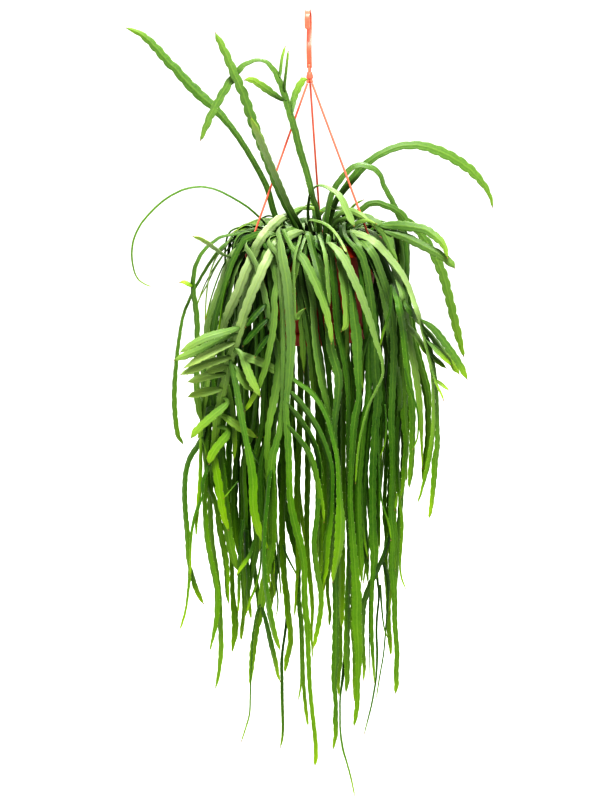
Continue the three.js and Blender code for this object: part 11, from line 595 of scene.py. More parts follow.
    ("z113", "trailing_stems_extra_back_left", 0, 1, [[-515,69,-2955,50,26,-13,-99,0],[-553,74,-2836,69,26,-13,-99,0],[-596,80,-2772,81,26,-14,-99,0],[-657,89,-2720,94,26,-15,-99,1],[-731,102,-2688,100,26,-18,-98,1],[-811,118,-2686,100,26,-20,-98,-1],[-887,134,-2711,100,26,-21,-98,-3],[-940,147,-2756,100,26,-20,-98,-6],[-969,158,-2825,100,26,-18,-98,-6],[-985,168,-2950,100,26,-17,-98,-6],[-980,184,-3234,100,26,-18,-98,-5],[-964,193,-3477,100,26,-19,-98,-4],[-946,197,-3760,100,26,-20,-98,-2],[-934,197,-4002,100,26,-21,-98,0],[-923,193,-4285,100,26,-21,-98,1],[-915,185,-4609,100,26,-20,-98,3],[-913,174,-4933,100,26,-19,-98,3],[-915,164,-5216,100,26,-18,-98,3],[-918,155,-5540,100,26,-17,-99,3],[-922,150,-5783,100,26,-16,-99,1],[-925,149,-6026,100,26,-16,-99,0],[-927,151,-6309,100,26,-16,-99,-2],[-925,160,-6633,22,26,-17,-98,-4]]),
    ("z114", "trailing_stems_extra_left", 0, 1, [[-620,-1,-2955,45,26,0,-100,0],[-648,-1,-2832,62,26,0,-100,0],[-680,-1,-2760,73,26,0,-100,0],[-729,-1,-2695,84,26,0,-100,1],[-794,0,-2648,90,26,-2,-100,1],[-830,1,-2639,90,26,-2,-100,0],[-866,2,-2642,90,26,-2,-100,0],[-902,2,-2656,90,26,-2,-100,-1],[-963,4,-2706,90,26,-1,-100,-1],[-1000,4,-2774,90,26,0,-100,0],[-1026,3,-2895,90,26,0,-100,1],[-1029,-1,-3099,90,26,0,-100,3],[-991,-19,-3462,90,26,1,-100,6],[-982,-33,-3664,90,26,3,-100,7],[-978,-57,-3989,90,26,6,-100,8],[-977,-83,-4354,90,26,9,-99,6],[-981,-97,-4638,90,26,10,-99,4],[-983,-105,-4922,90,26,11,-99,1],[-984,-104,-5165,90,26,11,-99,-1],[-982,-98,-5409,90,26,10,-99,-3],[-975,-85,-5693,90,26,9,-99,-5],[-962,-69,-5976,90,26,7,-100,-5],[-941,-51,-6300,22,26,6,-100,-5]]),
    ("z115", "trailing_stems_extra_left", 0, 1, [[-534,-81,-2955,42,26,15,-99,0],[-567,-86,-2879,53,26,15,-99,0],[-613,-93,-2816,64,26,15,-99,0],[-677,-103,-2766,74,26,15,-99,0],[-752,-115,-2738,85,26,17,-99,0],[-834,-130,-2737,85,26,19,-98,0],[-906,-145,-2757,85,26,20,-98,3],[-932,-151,-2777,85,26,20,-98,4],[-965,-161,-2843,85,26,18,-98,5],[-978,-168,-2926,85,26,17,-98,6],[-978,-179,-3090,85,26,18,-98,7],[-963,-191,-3293,85,26,19,-98,8],[-944,-203,-3495,85,26,21,-98,8],[-940,-221,-3739,85,26,23,-97,7],[-939,-235,-3942,85,26,24,-97,6],[-939,-246,-4145,85,26,25,-97,5],[-939,-254,-4348,85,26,26,-96,3],[-939,-260,-4713,85,26,27,-96,0],[-937,-256,-4998,85,26,26,-96,-2],[-932,-246,-5282,85,26,26,-97,-4],[-924,-231,-5566,85,26,24,-97,-4],[-913,-218,-5809,85,26,23,-97,-4],[-897,-204,-6092,85,26,22,-97,-3],[-879,-194,-6376,85,26,22,-98,-1],[-858,-190,-6700,22,26,22,-98,1]]),
    ("z116", "trailing_stems_extra_left", 0, 1, [[-614,-180,-2955,38,26,28,-96,0],[-636,-186,-2873,47,26,28,-96,0],[-669,-196,-2801,56,26,28,-96,0],[-719,-210,-2739,66,26,29,-96,-1],[-783,-231,-2695,75,26,32,-95,-1],[-856,-257,-2686,75,26,34,-94,1],[-925,-283,-2714,75,26,35,-94,4],[-952,-295,-2737,75,26,34,-94,5],[-986,-311,-2801,75,26,32,-94,6],[-1006,-325,-2923,75,26,31,-95,5],[-1006,-334,-3128,75,26,31,-95,3],[-1004,-332,-3453,75,26,31,-95,-3],[-1011,-313,-3779,75,26,30,-95,-9],[-1010,-286,-4023,75,26,28,-95,-11],[-1003,-261,-4226,75,26,26,-96,-11],[-988,-230,-4469,75,26,23,-97,-9],[-966,-207,-4711,75,26,21,-98,-6],[-932,-190,-5075,75,26,20,-98,1],[-909,-196,-5400,22,26,21,-98,5]]),
]
# Per-stem looks. The inner fillers (v, w) and the S segments are set darker as painted shade; the c side segments,
# which lie in shade, are set older, waxier and not darkened, as painted light.
LOOKS = {
    "u*": dict(tone_and_painted_shade=0.45, bloom_and_top_light=0.7, warm=0.2),
    "v*": dict(tone_and_painted_shade=0.8, bloom_and_top_light=0.25, warm=0.35),
    "w*": dict(tone_and_painted_shade=0.9, bloom_and_top_light=0.3, warm=0.45),
    "z*": dict(bloom_and_top_light=0.45, warm=0.6),
    "u9": dict(tone_and_painted_shade=0.7, bloom_and_top_light=0.2), "u10": dict(tone_and_painted_shade=0.7, bloom_and_top_light=0.2), "u11": dict(tone_and_painted_shade=0.7, bloom_and_top_light=0.2), "u12": dict(tone_and_painted_shade=0.7, bloom_and_top_light=0.2),
    "x*": dict(tone_and_painted_shade=0.5, bloom_and_top_light=0.5), "y*": dict(tone_and_painted_shade=0.5, bloom_and_top_light=0.5),
    "c*": dict(age0=0.42, age1=0.8, bloom_and_top_light=0.9, warm=0.1, tone_and_painted_shade=0.1, notch=0.18),
    "c1": dict(age0=0.3, age1=0.7, bloom_and_top_light=0.9, warm=0.1, tone_and_painted_shade=0.35, notch=0.18), "c2": dict(age0=0.3, age1=0.7, bloom_and_top_light=0.9, warm=0.1, tone_and_painted_shade=0.35, notch=0.18),
    "S1": dict(tone_and_painted_shade=1.0, bloom_and_top_light=0.12, warm=0.0, age0=0.0, age1=0.2, notch=0.2), "S3": dict(tone_and_painted_shade=1.0, bloom_and_top_light=0.12, warm=0.0, age0=0.0, age1=0.2, notch=0.2), "S*": dict(tone_and_painted_shade=0.7, bloom_and_top_light=0.5, warm=0.1, notch=0.2),
    "S2": dict(tone_and_painted_shade=1.0, bloom_and_top_light=0.12, warm=0.0, age0=0.0, age1=0.2, notch=0.2),
    "E1": dict(tone_and_painted_shade=0.5, bloom_and_top_light=0.7, warm=0.15), "E3": dict(tone_and_painted_shade=0.5, bloom_and_top_light=0.7, warm=0.15), "E4": dict(tone_and_painted_shade=0.5, bloom_and_top_light=0.7, warm=0.15),
    "E5": dict(tone_and_painted_shade=0.55, bloom_and_top_light=0.5, warm=0.25, notch=0.24), "F1a": dict(tone_and_painted_shade=0.4, bloom_and_top_light=0.6, warm=0.3, notch=0.24), "F1d": dict(tone_and_painted_shade=0.4, bloom_and_top_light=0.6, warm=0.3, notch=0.24),
    "D2": dict(tone_and_painted_shade=0.65, bloom_and_top_light=0.35, warm=0.2), "I2": dict(tone_and_painted_shade=0.7, bloom_and_top_light=0.4, warm=0.2), "Q6": dict(tone_and_painted_shade=0.7, bloom_and_top_light=0.35, warm=0.2),
    "H1": dict(tone_and_painted_shade=0.75, bloom_and_top_light=0.55, warm=0.15), "H2": dict(tone_and_painted_shade=0.75, bloom_and_top_light=0.55, warm=0.15),
    "C4b": dict(age0=0.4, age1=0.7, tone_and_painted_shade=0.3, bloom_and_top_light=0.7, warm=0.35),
    "A*": dict(age0=0.1, age1=0.7, tone_and_painted_shade=0.5, bloom_and_top_light=0.55, warm=0.35, notch=0.26),
    "B*": dict(age0=0.12, age1=0.75, tone_and_painted_shade=0.45, bloom_and_top_light=0.5, warm=0.35, notch=0.22), "B2": dict(tone_and_painted_shade=0.6, bloom_and_top_light=0.55, warm=0.25, notch=0.26),
    "A4": dict(tone_and_painted_shade=0.6, bloom_and_top_light=0.2, bud=False),
    "B3": dict(tone_and_painted_shade=0.55, bloom_and_top_light=0.5, warm=0.25, notch=0.3),
    "A1": dict(tone_and_painted_shade=0.68, bloom_and_top_light=0.5, warm=0.35, age0=0.12, age1=0.55, notch=0.36, smooth_foot=-0.3),
    "A2": dict(tone_and_painted_shade=0.6, bloom_and_top_light=0.6, warm=0.15, age0=0.15, age1=0.55, notch=0.36, smooth_foot=0.0),
    "A3": dict(tone_and_painted_shade=0.7, bloom_and_top_light=0.75, warm=0.2, age0=0.12, age1=0.6, notch=0.32, smooth_foot=-0.2),
    "B1": dict(tone_and_painted_shade=0.68, bloom_and_top_light=0.5, notch=0.34, warm=0.3, smooth_foot=-0.2),
    "C3": dict(age0=0.5, age1=0.8, bloom_and_top_light=1.0, tone_and_painted_shade=0.1, warm=0.7),
    "C4a": dict(age0=0.5, age1=0.8, bloom_and_top_light=1.0, tone_and_painted_shade=0.0, warm=0.4), "C5": dict(age0=0.45, age1=0.75, bloom_and_top_light=0.9, tone_and_painted_shade=0.2, warm=0.4), "I1": dict(age0=0.45, age1=0.75, bloom_and_top_light=0.9, tone_and_painted_shade=0.2, warm=0.4),
    "C1": dict(age0=0.45, age1=0.75, bloom_and_top_light=1.0, tone_and_painted_shade=0.25, warm=0.3),
    "E2": dict(age0=0.4, age1=0.7, bloom_and_top_light=1.0, tone_and_painted_shade=0.4, warm=0.3),
    "G2": dict(age0=0.25, age1=0.6, bloom_and_top_light=0.9, tone_and_painted_shade=0.65, warm=0.1), "G3": dict(age0=0.25, age1=0.6, bloom_and_top_light=0.9, tone_and_painted_shade=0.65, warm=0.1),
    "B5": dict(age0=0.2, age1=0.5, bloom_and_top_light=0.9, tone_and_painted_shade=0.7, warm=0.1), "B6": dict(age0=0.2, age1=0.5, bloom_and_top_light=0.9, tone_and_painted_shade=0.7, warm=0.1),
    "c3": dict(age0=0.62, age1=0.9, bloom_and_top_light=1.0, warm=0.05, tone_and_painted_shade=0.0, notch=0.18),
    "c4": dict(age0=0.62, age1=0.9, bloom_and_top_light=1.0, warm=0.05, tone_and_painted_shade=0.0, notch=0.18),
    "c5": dict(age0=0.62, age1=0.9, bloom_and_top_light=1.0, warm=0.05, tone_and_painted_shade=0.0, notch=0.18),
    "c6": dict(age0=0.62, age1=0.9, bloom_and_top_light=1.0, warm=0.05, tone_and_painted_shade=0.0, notch=0.18),
    "c7": dict(age0=0.62, age1=0.9, bloom_and_top_light=1.0, warm=0.05, tone_and_painted_shade=0.0, notch=0.18),
    "c8": dict(age0=0.62, age1=0.9, bloom_and_top_light=1.0, warm=0.05, tone_and_painted_shade=0.0, notch=0.18),
    "c13": dict(age0=0.62, age1=0.9, bloom_and_top_light=1.0, warm=0.05, tone_and_painted_shade=0.0, notch=0.18),
    "F4": dict(tone_and_painted_shade=0.1, bloom_and_top_light=0.8, warm=0.5, notch=0.22),
    "P1": dict(tone_and_painted_shade=0.1, bloom_and_top_light=0.8, warm=0.5, notch=0.22),
    "N1": dict(tone_and_painted_shade=0.1, bloom_and_top_light=0.8, warm=0.5, notch=0.22),
    "N2": dict(tone_and_painted_shade=0.1, bloom_and_top_light=0.8, warm=0.5, notch=0.22),
    "N3": dict(tone_and_painted_shade=0.1, bloom_and_top_light=0.8, warm=0.5, notch=0.22),
    "K3": dict(tone_and_painted_shade=0.1, bloom_and_top_light=0.8, warm=0.5, notch=0.22),
    "B7": dict(tone_and_painted_shade=0.6, bloom_and_top_light=0.85, warm=0.0),
    "C2": dict(tone_and_painted_shade=0.4, bloom_and_top_light=0.7, warm=0.05),
    "yA2": dict(tone_and_painted_shade=0.2, bloom_and_top_light=0.8),
}
LIGHTS = [
    ("key_above", (0.10, -1.20, 1.55), (0, 0, -0.25), (0.7, 0.5), 74.0),
    ("fill_back", (0.3, 1.6, 1.5), (0, 0, -0.4), (1.0, 0.8), 36.0),
]

SECTION = [
    (1.00, 0.00), (0.93, 0.34), (0.60, 0.54), (0.16, 0.62), (0.0, 1.0), (-0.16, 0.62), (-0.60, 0.54), (-0.93, 0.34),
    (-1.00, 0.00), (-0.93, -0.34), (-0.60, -0.54), (-0.16, -0.62), (0.0, -1.0), (0.16, -0.62), (0.60, -0.54), (0.93, -0.34),
]
PLAIN = [
    (1.00, 0.00), (0.80, 0.50), (0.0, 0.95), (-0.80, 0.50),
    (-1.00, 0.00), (-0.80, -0.50), (0.0, -0.95), (0.80, -0.50),
]


def rand(*key):
    """A fixed number between 0 and 1 for a key."""
    h = 2166136261
    for ch in "/".join(str(k) for k in key):
        h = ((h ^ ord(ch)) * 16777619) & 0xFFFFFFFF
    h ^= h >> 15
    h = (h * 2246822519) & 0xFFFFFFFF
    h ^= h >> 13
    return (h & 0xFFFFFF) / float(0x1000000)


def dense(rings, step):
    """Smooth curve through the rings, sampled every step mm."""
    R = np.array(rings, float)
    P = R[:, :3] / 10
    W = R[:, 3] / 10
    T = R[:, 4] / 10
    S = R[:, 5:8] / 100
    d = np.linalg.norm(np.diff(P, axis=0), axis=1)
    L = np.concatenate([[0], np.cumsum(np.maximum(d, 1e-3))])
    n = max(4, int(round(L[-1] / step)))
    t = np.linspace(0, L[-1], n + 1)
    # cubic Hermite with Catmull-Rom slopes on the arc length
    M = np.zeros_like(P)
    M[1:-1] = (P[2:] - P[:-2]) / (L[2:] - L[:-2])[:, None]
    M[0] = (P[1] - P[0]) / d[0]
    M[-1] = (P[-1] - P[-2]) / d[-1]
    i = np.clip(np.searchsorted(L, t, side="right") - 1, 0, len(L) - 2)
    h = (L[i + 1] - L[i])
    x = ((t - L[i]) / h)[:, None]
    h = h[:, None]
    Q = (
        (2 * x**3 - 3 * x**2 + 1) * P[i]
        + (x**3 - 2 * x**2 + x) * h * M[i]
        + (-2 * x**3 + 3 * x**2) * P[i + 1]
        + (x**3 - x**2) * h * M[i + 1]
    )
    x1 = x[:, 0]
    xs = x1 * x1 * (3 - 2 * x1)
    w = W[i] * (1 - xs) + W[i + 1] * xs
    th = T[i] * (1 - xs) + T[i + 1] * xs
    s = S[i] * (1 - xs[:, None]) + S[i + 1] * xs[:, None]
    tan = np.gradient(Q, axis=0)
    tan /= np.linalg.norm(tan, axis=1, keepdims=True)
    for _ in range(3):
        s -= (s * tan).sum(1, keepdims=True) * tan
        s /= np.linalg.norm(s, axis=1, keepdims=True)
        s[1:-1] = 0.25 * s[:-2] + 0.5 * s[1:-1] + 0.25 * s[2:]
    s -= (s * tan).sum(1, keepdims=True) * tan
    s /= np.linalg.norm(s, axis=1, keepdims=True)
    return Q, tan, s, np.cross(tan, s), w, th, t


class Piece:
    def __init__(self):
        self.v, self.f, self.a, self.c, self.m = [], [], [], [], []

    def add(self, v, f, a, c, m=0):
        o = len(self.v)
        self.v.extend(v)
        self.f.extend(tuple(o + i for i in fc) for fc in f)
        self.a.extend(a)
        self.c.extend(c)
        self.m.extend([m] * len(f))


def loft_stem(piece, name, branch, tip, rings, look, step):
    section = PLAIN if name[0] in "vwz" else SECTION
    K = len(section)
    Q, T, S, N, w, th, t = dense(rings, step)
    L = t[-1]
    n = len(Q)
    seed = rand(name, 1)
    # scalloped margins: arcs that meet in small notches, alternating sides
    pitch = (14.0 + 4.0 * rand(name, 2)) * min(1.0, 0.45 + 0.07 * float(w.max()))
    if branch:
        pitch *= 0.72
    depth = (look["notch"] + 0.07 * rand(name, 3)) * min(1.0, float(w.max()) / 8.0)
    drift = np.array([noise.noise(Vector((seed * 40, k * 0.02, 0.3))) for k in t])
    ph = t / pitch + 0.35 * drift + seed
    fade = np.clip((t - 6) / 20, 0, 1) * np.clip(look["smooth_foot"] + 1.5 * t / L, 0, 1)
    def scallop(p):
        x = p - np.floor(p)
        return 1 + depth * fade * (0.42 - (1 - np.sin(np.pi * x ** 0.85)) ** 1.35)
    gl, gr = scallop(ph), scallop(ph + 0.5)
    # a slow wobble of the width and of the whole ribbon
    wob = np.array([noise.noise(Vector((k * 0.012, seed * 91, 7.7))) for k in t])
    a = 0.5 * w * (1 + 0.06 * wob)
    # rounded, blunt tip
    rnd_tip = np.ones(n)
    if tip:
        e = np.clip((L - t) / (0.9 * max(2.0, float(w[max(0, n - 4)]))), 0, 1)
        rnd_tip = np.sqrt(np.clip(1 - (1 - e) ** 2, 0.02, 1))
        a = np.maximum(a, 0.5)
    if branch:
        b = np.clip(t / (0.9 * max(4.0, float(w.max()))), 0, 1)
        a = a * (0.42 + 0.58 * np.sin(b * np.pi / 2))
    hv = 0.5 * th * (0.92 + 0.1 * wob)
    al, ar = a * gl * rnd_tip, a * gr * rnd_tip
    hv = np.maximum(hv * np.sqrt(rnd_tip), 0.12)
    # the blade cups a little
    cup = 0.10 + 0.16 * rand(name, 4)
    sgn = 1.0 if rand(name, 5) > 0.5 else -1.0
    twirl = 0.10 * np.array([noise.noise(Vector((k * 0.009, 3.1, seed * 57))) for k in t])
    sec = np.array(section)
    U = sec[:, 0][None, :]
    V = sec[:, 1][None, :]
    half = np.where(U >= 0, al[:, None], ar[:, None])
    x = U * half
    y = V * hv[:, None] + sgn * cup * (np.abs(U) ** 2 - 0.25) * np.minimum(half, 5.0) * 0.5
    ct, st_ = np.cos(twirl)[:, None], np.sin(twirl)[:, None]
    x, y = x * ct - y * st_, x * st_ + y * ct
    verts = (Q[:, None, :] + S[:, None, :] * x[:, :, None] + N[:, None, :] * y[:, :, None]) * MM
    verts = verts.reshape(-1, 3)
    faces = []
    for i in range(n - 1):
        b0 = i * K
        for j in range(K):
            j2 = (j + 1) % K
            faces.append((b0 + j, b0 + j2, b0 + K + j2, b0 + K + j))
    # ends closed by a fan of quads
    half_k = K // 2
    def cap2(base, flip):
        out = [(base, base + 1, base + K - 1)]
        for j in range(1, half_k - 1):
            out.append((base + j, base + j + 1, base + K - j - 1, base + K - j))
        out.append((base + half_k - 1, base + half_k, base + half_k + 1))
        return [tuple(reversed(x_)) if flip else x_ for x_ in out]
    faces += cap2(0, True) + cap2((n - 1) * K, False)
    z = Q[:, 2]
    age = np.clip(look["age0"] + (look["age1"] - look["age0"]) * (t / L) ** 1.5, 0, 1)
    # paler, waxier tone above the rim: partly the real bloom, partly painted light on the top-lit crown
    height_bloom_and_top_light = np.clip((z + 570) / 270, 0, 1) * look["bloom_and_top_light"]
    warm = np.zeros(n)
    if tip:
        warm = np.clip(1 - (L - t) / (22 + 30 * rand(name, 6)), 0, 1) ** 1.3 * look["warm"]
    warm = np.maximum(warm, look["yellow"])
    A = np.repeat(np.stack([age, height_bloom_and_top_light, np.full(n, look["tone_and_painted_shade"])], 1), K, axis=0)
    C = np.stack([np.tile(sec[:, 0], n), np.repeat(t * MM, K), np.repeat(warm, K)], 1)
    piece.add([tuple(p) for p in verts], faces, A.tolist(), C.tolist(), 0)
    # the growing point: a small brownish bud in the blunt tip
    if tip and look["bud"]:
        p, tt = Q[-1] + T[-1] * 0.2, T[-1]
        v, fc = [], []
        rings_, seg = 4, 7
        for a_ in range(rings_):
            e = a_ / (rings_ - 1)
            rad = 0.75 * math.cos(e * math.pi / 2 * 0.92)
            for b_ in range(seg):
                g = 2 * math.pi * b_ / seg
                v.append((p + tt * (1.5 * math.sin(e * math.pi / 2) - 0.5) + S[-1] * rad * math.cos(g) + N[-1] * rad * math.sin(g)) * MM)
        for a_ in range(rings_ - 1):
            for b_ in range(seg):
                b2 = (b_ + 1) % seg
                fc.append((a_ * seg + b_, a_ * seg + b2, (a_ + 1) * seg + b2, (a_ + 1) * seg + b_))
        fc.append(tuple(range(seg))[::-1])
        fc.append(tuple(range((rings_ - 1) * seg, rings_ * seg)))
        piece.add([tuple(x_) for x_ in v], fc, [(0.5, 0.5, 0.5)] * len(v), [(0, 0, 0)] * len(v), 1)
    # wool-tipped areoles in the notches
    if look["areoles"]:
        for side, phase, arr in ((1, ph, al), (-1, ph + 0.5, ar)):
            ks = np.where(np.floor(phase[1:]) != np.floor(phase[:-1]))[0] + 1
            for k in ks:
                if k < 3 or k > n - 4:
                    continue
                half_w = arr[k]
                c0 = Q[k] + S[k] * side * half_w * 0.97
                rad = 0.52
                v = []
                for d_ in (S[k] * side, T[k], -T[k], N[k], -N[k], -S[k] * side):
                    v.append((c0 + d_ * rad * (1.5 if d_ is T[k] else 1.0)) * MM)
                fc = [(0, 1, 3), (0, 3, 2), (0, 2, 4), (0, 4, 1), (5, 3, 1), (5, 2, 3), (5, 4, 2), (5, 1, 4)]
                piece.add([tuple(x_) for x_ in v], fc, [(0.5, 0.5, 0.5)] * 6, [(0, 0, 0)] * 6, 2)


def bud_material(name):
    mat, nt, sh = new_material(name)
    n1 = noise_tex(nt, coords(nt), 900.0, 3.0)
    nt.links.new(ramp(nt, n1, ((0.35, (0.10, 0.05, 0.015)), (0.65, (0.34, 0.22, 0.07)))), sh.inputs["Base Color"])
    nt.links.new(ramp(nt, n1, ((0.3, (0.6,) * 3), (0.7, (0.85,) * 3))), sh.inputs["Roughness"])
    bump(nt, n1, 0.4, 0.0005, sh)
    return mat


def wool_material(name):
    mat, nt, sh = new_material(name)
    n1 = noise_tex(nt, coords(nt), 1100.0, 3.0)
    nt.links.new(ramp(nt, n1, ((0.35, (0.24, 0.27, 0.12)), (0.65, (0.58, 0.58, 0.38)))), sh.inputs["Base Color"])
    nt.links.new(ramp(nt, n1, ((0.3, (0.75,) * 3), (0.7, (0.95,) * 3))), sh.inputs["Roughness"])
    bump(nt, n1, 0.5, 0.0004, sh)
    return mat


stem_mat = stem_material("stem_skin")
wool_mat = wool_material("areole_wool")
bud_mat = bud_material("growing_point")
pieces = {}
for name, group, branch, tip, rings in STEMS:
    k = rand(name, 9)
    look = dict(
        age0=0.10 + 0.18 * k, age1=0.75 + 0.2 * k, bloom_and_top_light=0.75 + 0.25 * rand(name, 10), warm=0.65 + 0.3 * k,
        yellow=0.0, tone_and_painted_shade=rand(name, 11) ** 1.2 * 0.8, bud=True, areoles=not (name[0] in "uvwxyz"), notch=0.22, smooth_foot=0.35,
    )
    look.update(LOOKS.get(name, LOOKS.get(name[0] + "*", {})))
    pieces.setdefault(group, Piece())
    loft_stem(pieces[group], name, branch, tip, rings, look, 3.6 if name[0] in "vwz" else 3.0)

for group, pc in pieces.items():
    is_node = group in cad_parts
    ob = make_object("grown_" + group if is_node else group, pc.v, pc.f, [stem_mat, bud_mat, wool_mat], attrs={"along": pc.a, "across": pc.c}, face_mats=pc.m)
    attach(ob, "root")
    if is_node:
        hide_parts(group)

# ----------------------------------------------------------------- pot etc.
pot_mat = plastic_material("pot_plastic", (0.27, 0.030, 0.005), (0.36, 0.045, 0.008), (0.35, 0.080, 0.028), coat=0.03)
hang_mat = plastic_material("hanger_plastic", (0.44, 0.088, 0.050), (0.50, 0.112, 0.066), (0.52, 0.17, 0.11), rough=(0.34, 0.46), grain=1500.0, coat=0.12)
mix_mat = soil_material("potting_mix")

pot_outline = [
    (0, -402), (62, -402), (64, -400.5), (81.9, -290.5), (82.9, -287.5), (89.3, -297), (91, -297),
    (85.8, -284), (84.6, -283), (81, -283), (80.4, -284.2), (80, -297), (61.8, -399.2), (60.3, -399.8), (0, -399.8),
]
pot_round = [0, 3, 0.8, 3, 0.6, 0.5, 0.6, 0.7, 0.8, 0.7, 0.6, 2, 1, 0.6, 0]
pot = lathe_object("pot_shell", rounded(pot_outline, pot_round), 144, [pot_mat])
saucer_outline = [
    (0, -409), (63, -409), (64.5, -407.8), (70.5, -394.2), (70.5, -393), (69, -393), (63.6, -406.4), (62.4, -407.2), (0, -407.2),
]
saucer = lathe_object("saucer_shell", rounded(saucer_outline, [0, 0.8, 1.2, 0.6, 0.5, 0.5, 1.0, 0.6, 0]), 144, [pot_mat])


def box_part(cx, cy, cz, sx, sy, sz, rotz=0.0, bevel=0.3):
    """Bevelled box as (verts, faces), mm."""
    import bmesh

    bm = bmesh.new()
    bmesh.ops.create_cube(bm, size=1.0)
    for v in bm.verts:
        v.co = Vector((v.co.x * sx, v.co.y * sy, v.co.z * sz))
    bmesh.ops.bevel(bm, geom=list(bm.edges), offset=bevel, segments=2, affect="EDGES", profile=0.5)
    cr, sr = math.cos(rotz), math.sin(rotz)
    vs = []
    for v in bm.verts:
        x_, y_, z_ = v.co.x + cx, v.co.y + cy, v.co.z + cz
        vs.append(((x_ * cr - y_ * sr) * MM, (x_ * sr + y_ * cr) * MM, z_ * MM))
    fs = [tuple(v.index for v in fc.verts) for fc in bm.faces]
    bm.free()
    return vs, fs


def join_parts(name, parts, mats):
    v, fc = [], []
    for pv, pf in parts:
        o = len(v)
        v.extend(pv)
        fc.extend(tuple(o + i for i in x_) for x_ in pf)
    ob = make_object(name, v, fc, mats)
    fix_normals(ob)
    sharp_by_angle(ob, 40)
    return ob


# ribs in the saucer
ribs = []
for i in range(4):
    ribs.append(box_part(36, 0, (-408.1 - 402.4) / 2, 34, 2.4, 5.7, math.pi / 4 + i * math.pi / 2 + 0.26))
saucer_ribs = join_parts("saucer_ribs", ribs, [pot_mat])

# potting mix: an uneven crumbly surface with loose bits
def soil_piece():
    v, fc = [], []
    R, n_r, n_a = 79.0, 46, 180
    v.append((0, 0, -294.2 * MM))
    for i in range(1, n_r + 1):
        rr = R * i / n_r
        for j in range(n_a):
            a_ = 2 * math.pi * j / n_a
            x_, y_ = rr * math.cos(a_), rr * math.sin(a_)
            h = noise.fractal(Vector((x_ * 0.09, y_ * 0.09, 1.3)), 1.0, 2.0, 4) * 0.9 + noise.noise(Vector((x_ * 0.5, y_ * 0.5, 4.2))) * 0.7
            edge = max(0.0, (rr - 74) / 5)
            v.append((x_ * MM, y_ * MM, (-295.0 + max(-1.6, min(0.9, h)) - 1.2 * edge) * MM))
    for j in range(n_a):
        fc.append((0, 1 + j, 1 + (j + 1) % n_a))
    for i in range(n_r - 1):
        for j in range(n_a):
            j2 = (j + 1) % n_a
            fc.append((1 + i * n_a + j, 1 + (i + 1) * n_a + j, 1 + (i + 1) * n_a + j2, 1 + i * n_a + j2))
    # side and underside
    o = len(v)
    last = 1 + (n_r - 1) * n_a
    for rr, z_ in ((78.9, -300), (61.5, -397.2), (59.5, -399.3)):
        for j in range(n_a):
            a_ = 2 * math.pi * j / n_a
            v.append((rr * math.cos(a_) * MM, rr * math.sin(a_) * MM, z_ * MM))
    for k in range(3):
        p0 = last if k == 0 else o + (k - 1) * n_a
        p1 = o + k * n_a
        for j in range(n_a):
            j2 = (j + 1) % n_a
            fc.append((p0 + j, p1 + j, p1 + j2, p0 + j2))
    v.append((0, 0, -399.3 * MM))
    for j in range(n_a):
        fc.append((o + 2 * n_a + j, len(v) - 1, o + 2 * n_a + (j + 1) % n_a))
    ob = make_object("mix_surface", v, fc, [mix_mat])
    fix_normals(ob)
    return ob


soil = soil_piece()


def crumbs():
    v, fc = [], []
    for k in range(520):
        rr = 77 * math.sqrt(rand("crumb", k, 1))
        a_ = 2 * math.pi * rand("crumb", k, 2)
        s0 = 0.5 + 1.5 * rand("crumb", k, 3) ** 2
        cx_, cy_ = rr * math.cos(a_), rr * math.sin(a_)
        cz_ = -295.1 + 0.35 * s0
        o = len(v)
        base = [(1, 0, 0), (-1, 0, 0), (0, 1, 0), (0, -1, 0), (0, 0, 1), (0, 0, -1)]
        rz = 6.28 * rand("crumb", k, 4)
        for bi, (x_, y_, z_) in enumerate(base):
            g = 0.6 + 0.8 * rand("crumb", k, 5 + bi)
            xx, yy = x_ * math.cos(rz) - y_ * math.sin(rz), x_ * math.sin(rz) + y_ * math.cos(rz)
            v.append(((cx_ + xx * s0 * g) * MM, (cy_ + yy * s0 * g) * MM, (cz_ + z_ * s0 * g * 0.6) * MM))
        for t_ in ((0, 2, 4), (2, 1, 4), (1, 3, 4), (3, 0, 4), (2, 0, 5), (1, 2, 5), (3, 1, 5), (0, 3, 5)):
            fc.append(tuple(o + i for i in t_))
    ob = make_object("mix_crumbs", v, fc, [mix_mat], smooth=False)
    return ob


bits = crumbs()

# ------------------------------------------------------------------ hanger
TURN = math.radians(-6.5)
AZ = [math.radians(a_ - 5.7) for a_ in (90, -30, 210)]


def turned(p, ang):
    return Vector((p[0] * math.cos(ang) - p[1] * math.sin(ang), p[0] * math.sin(ang) + p[1] * math.cos(ang), p[2]))


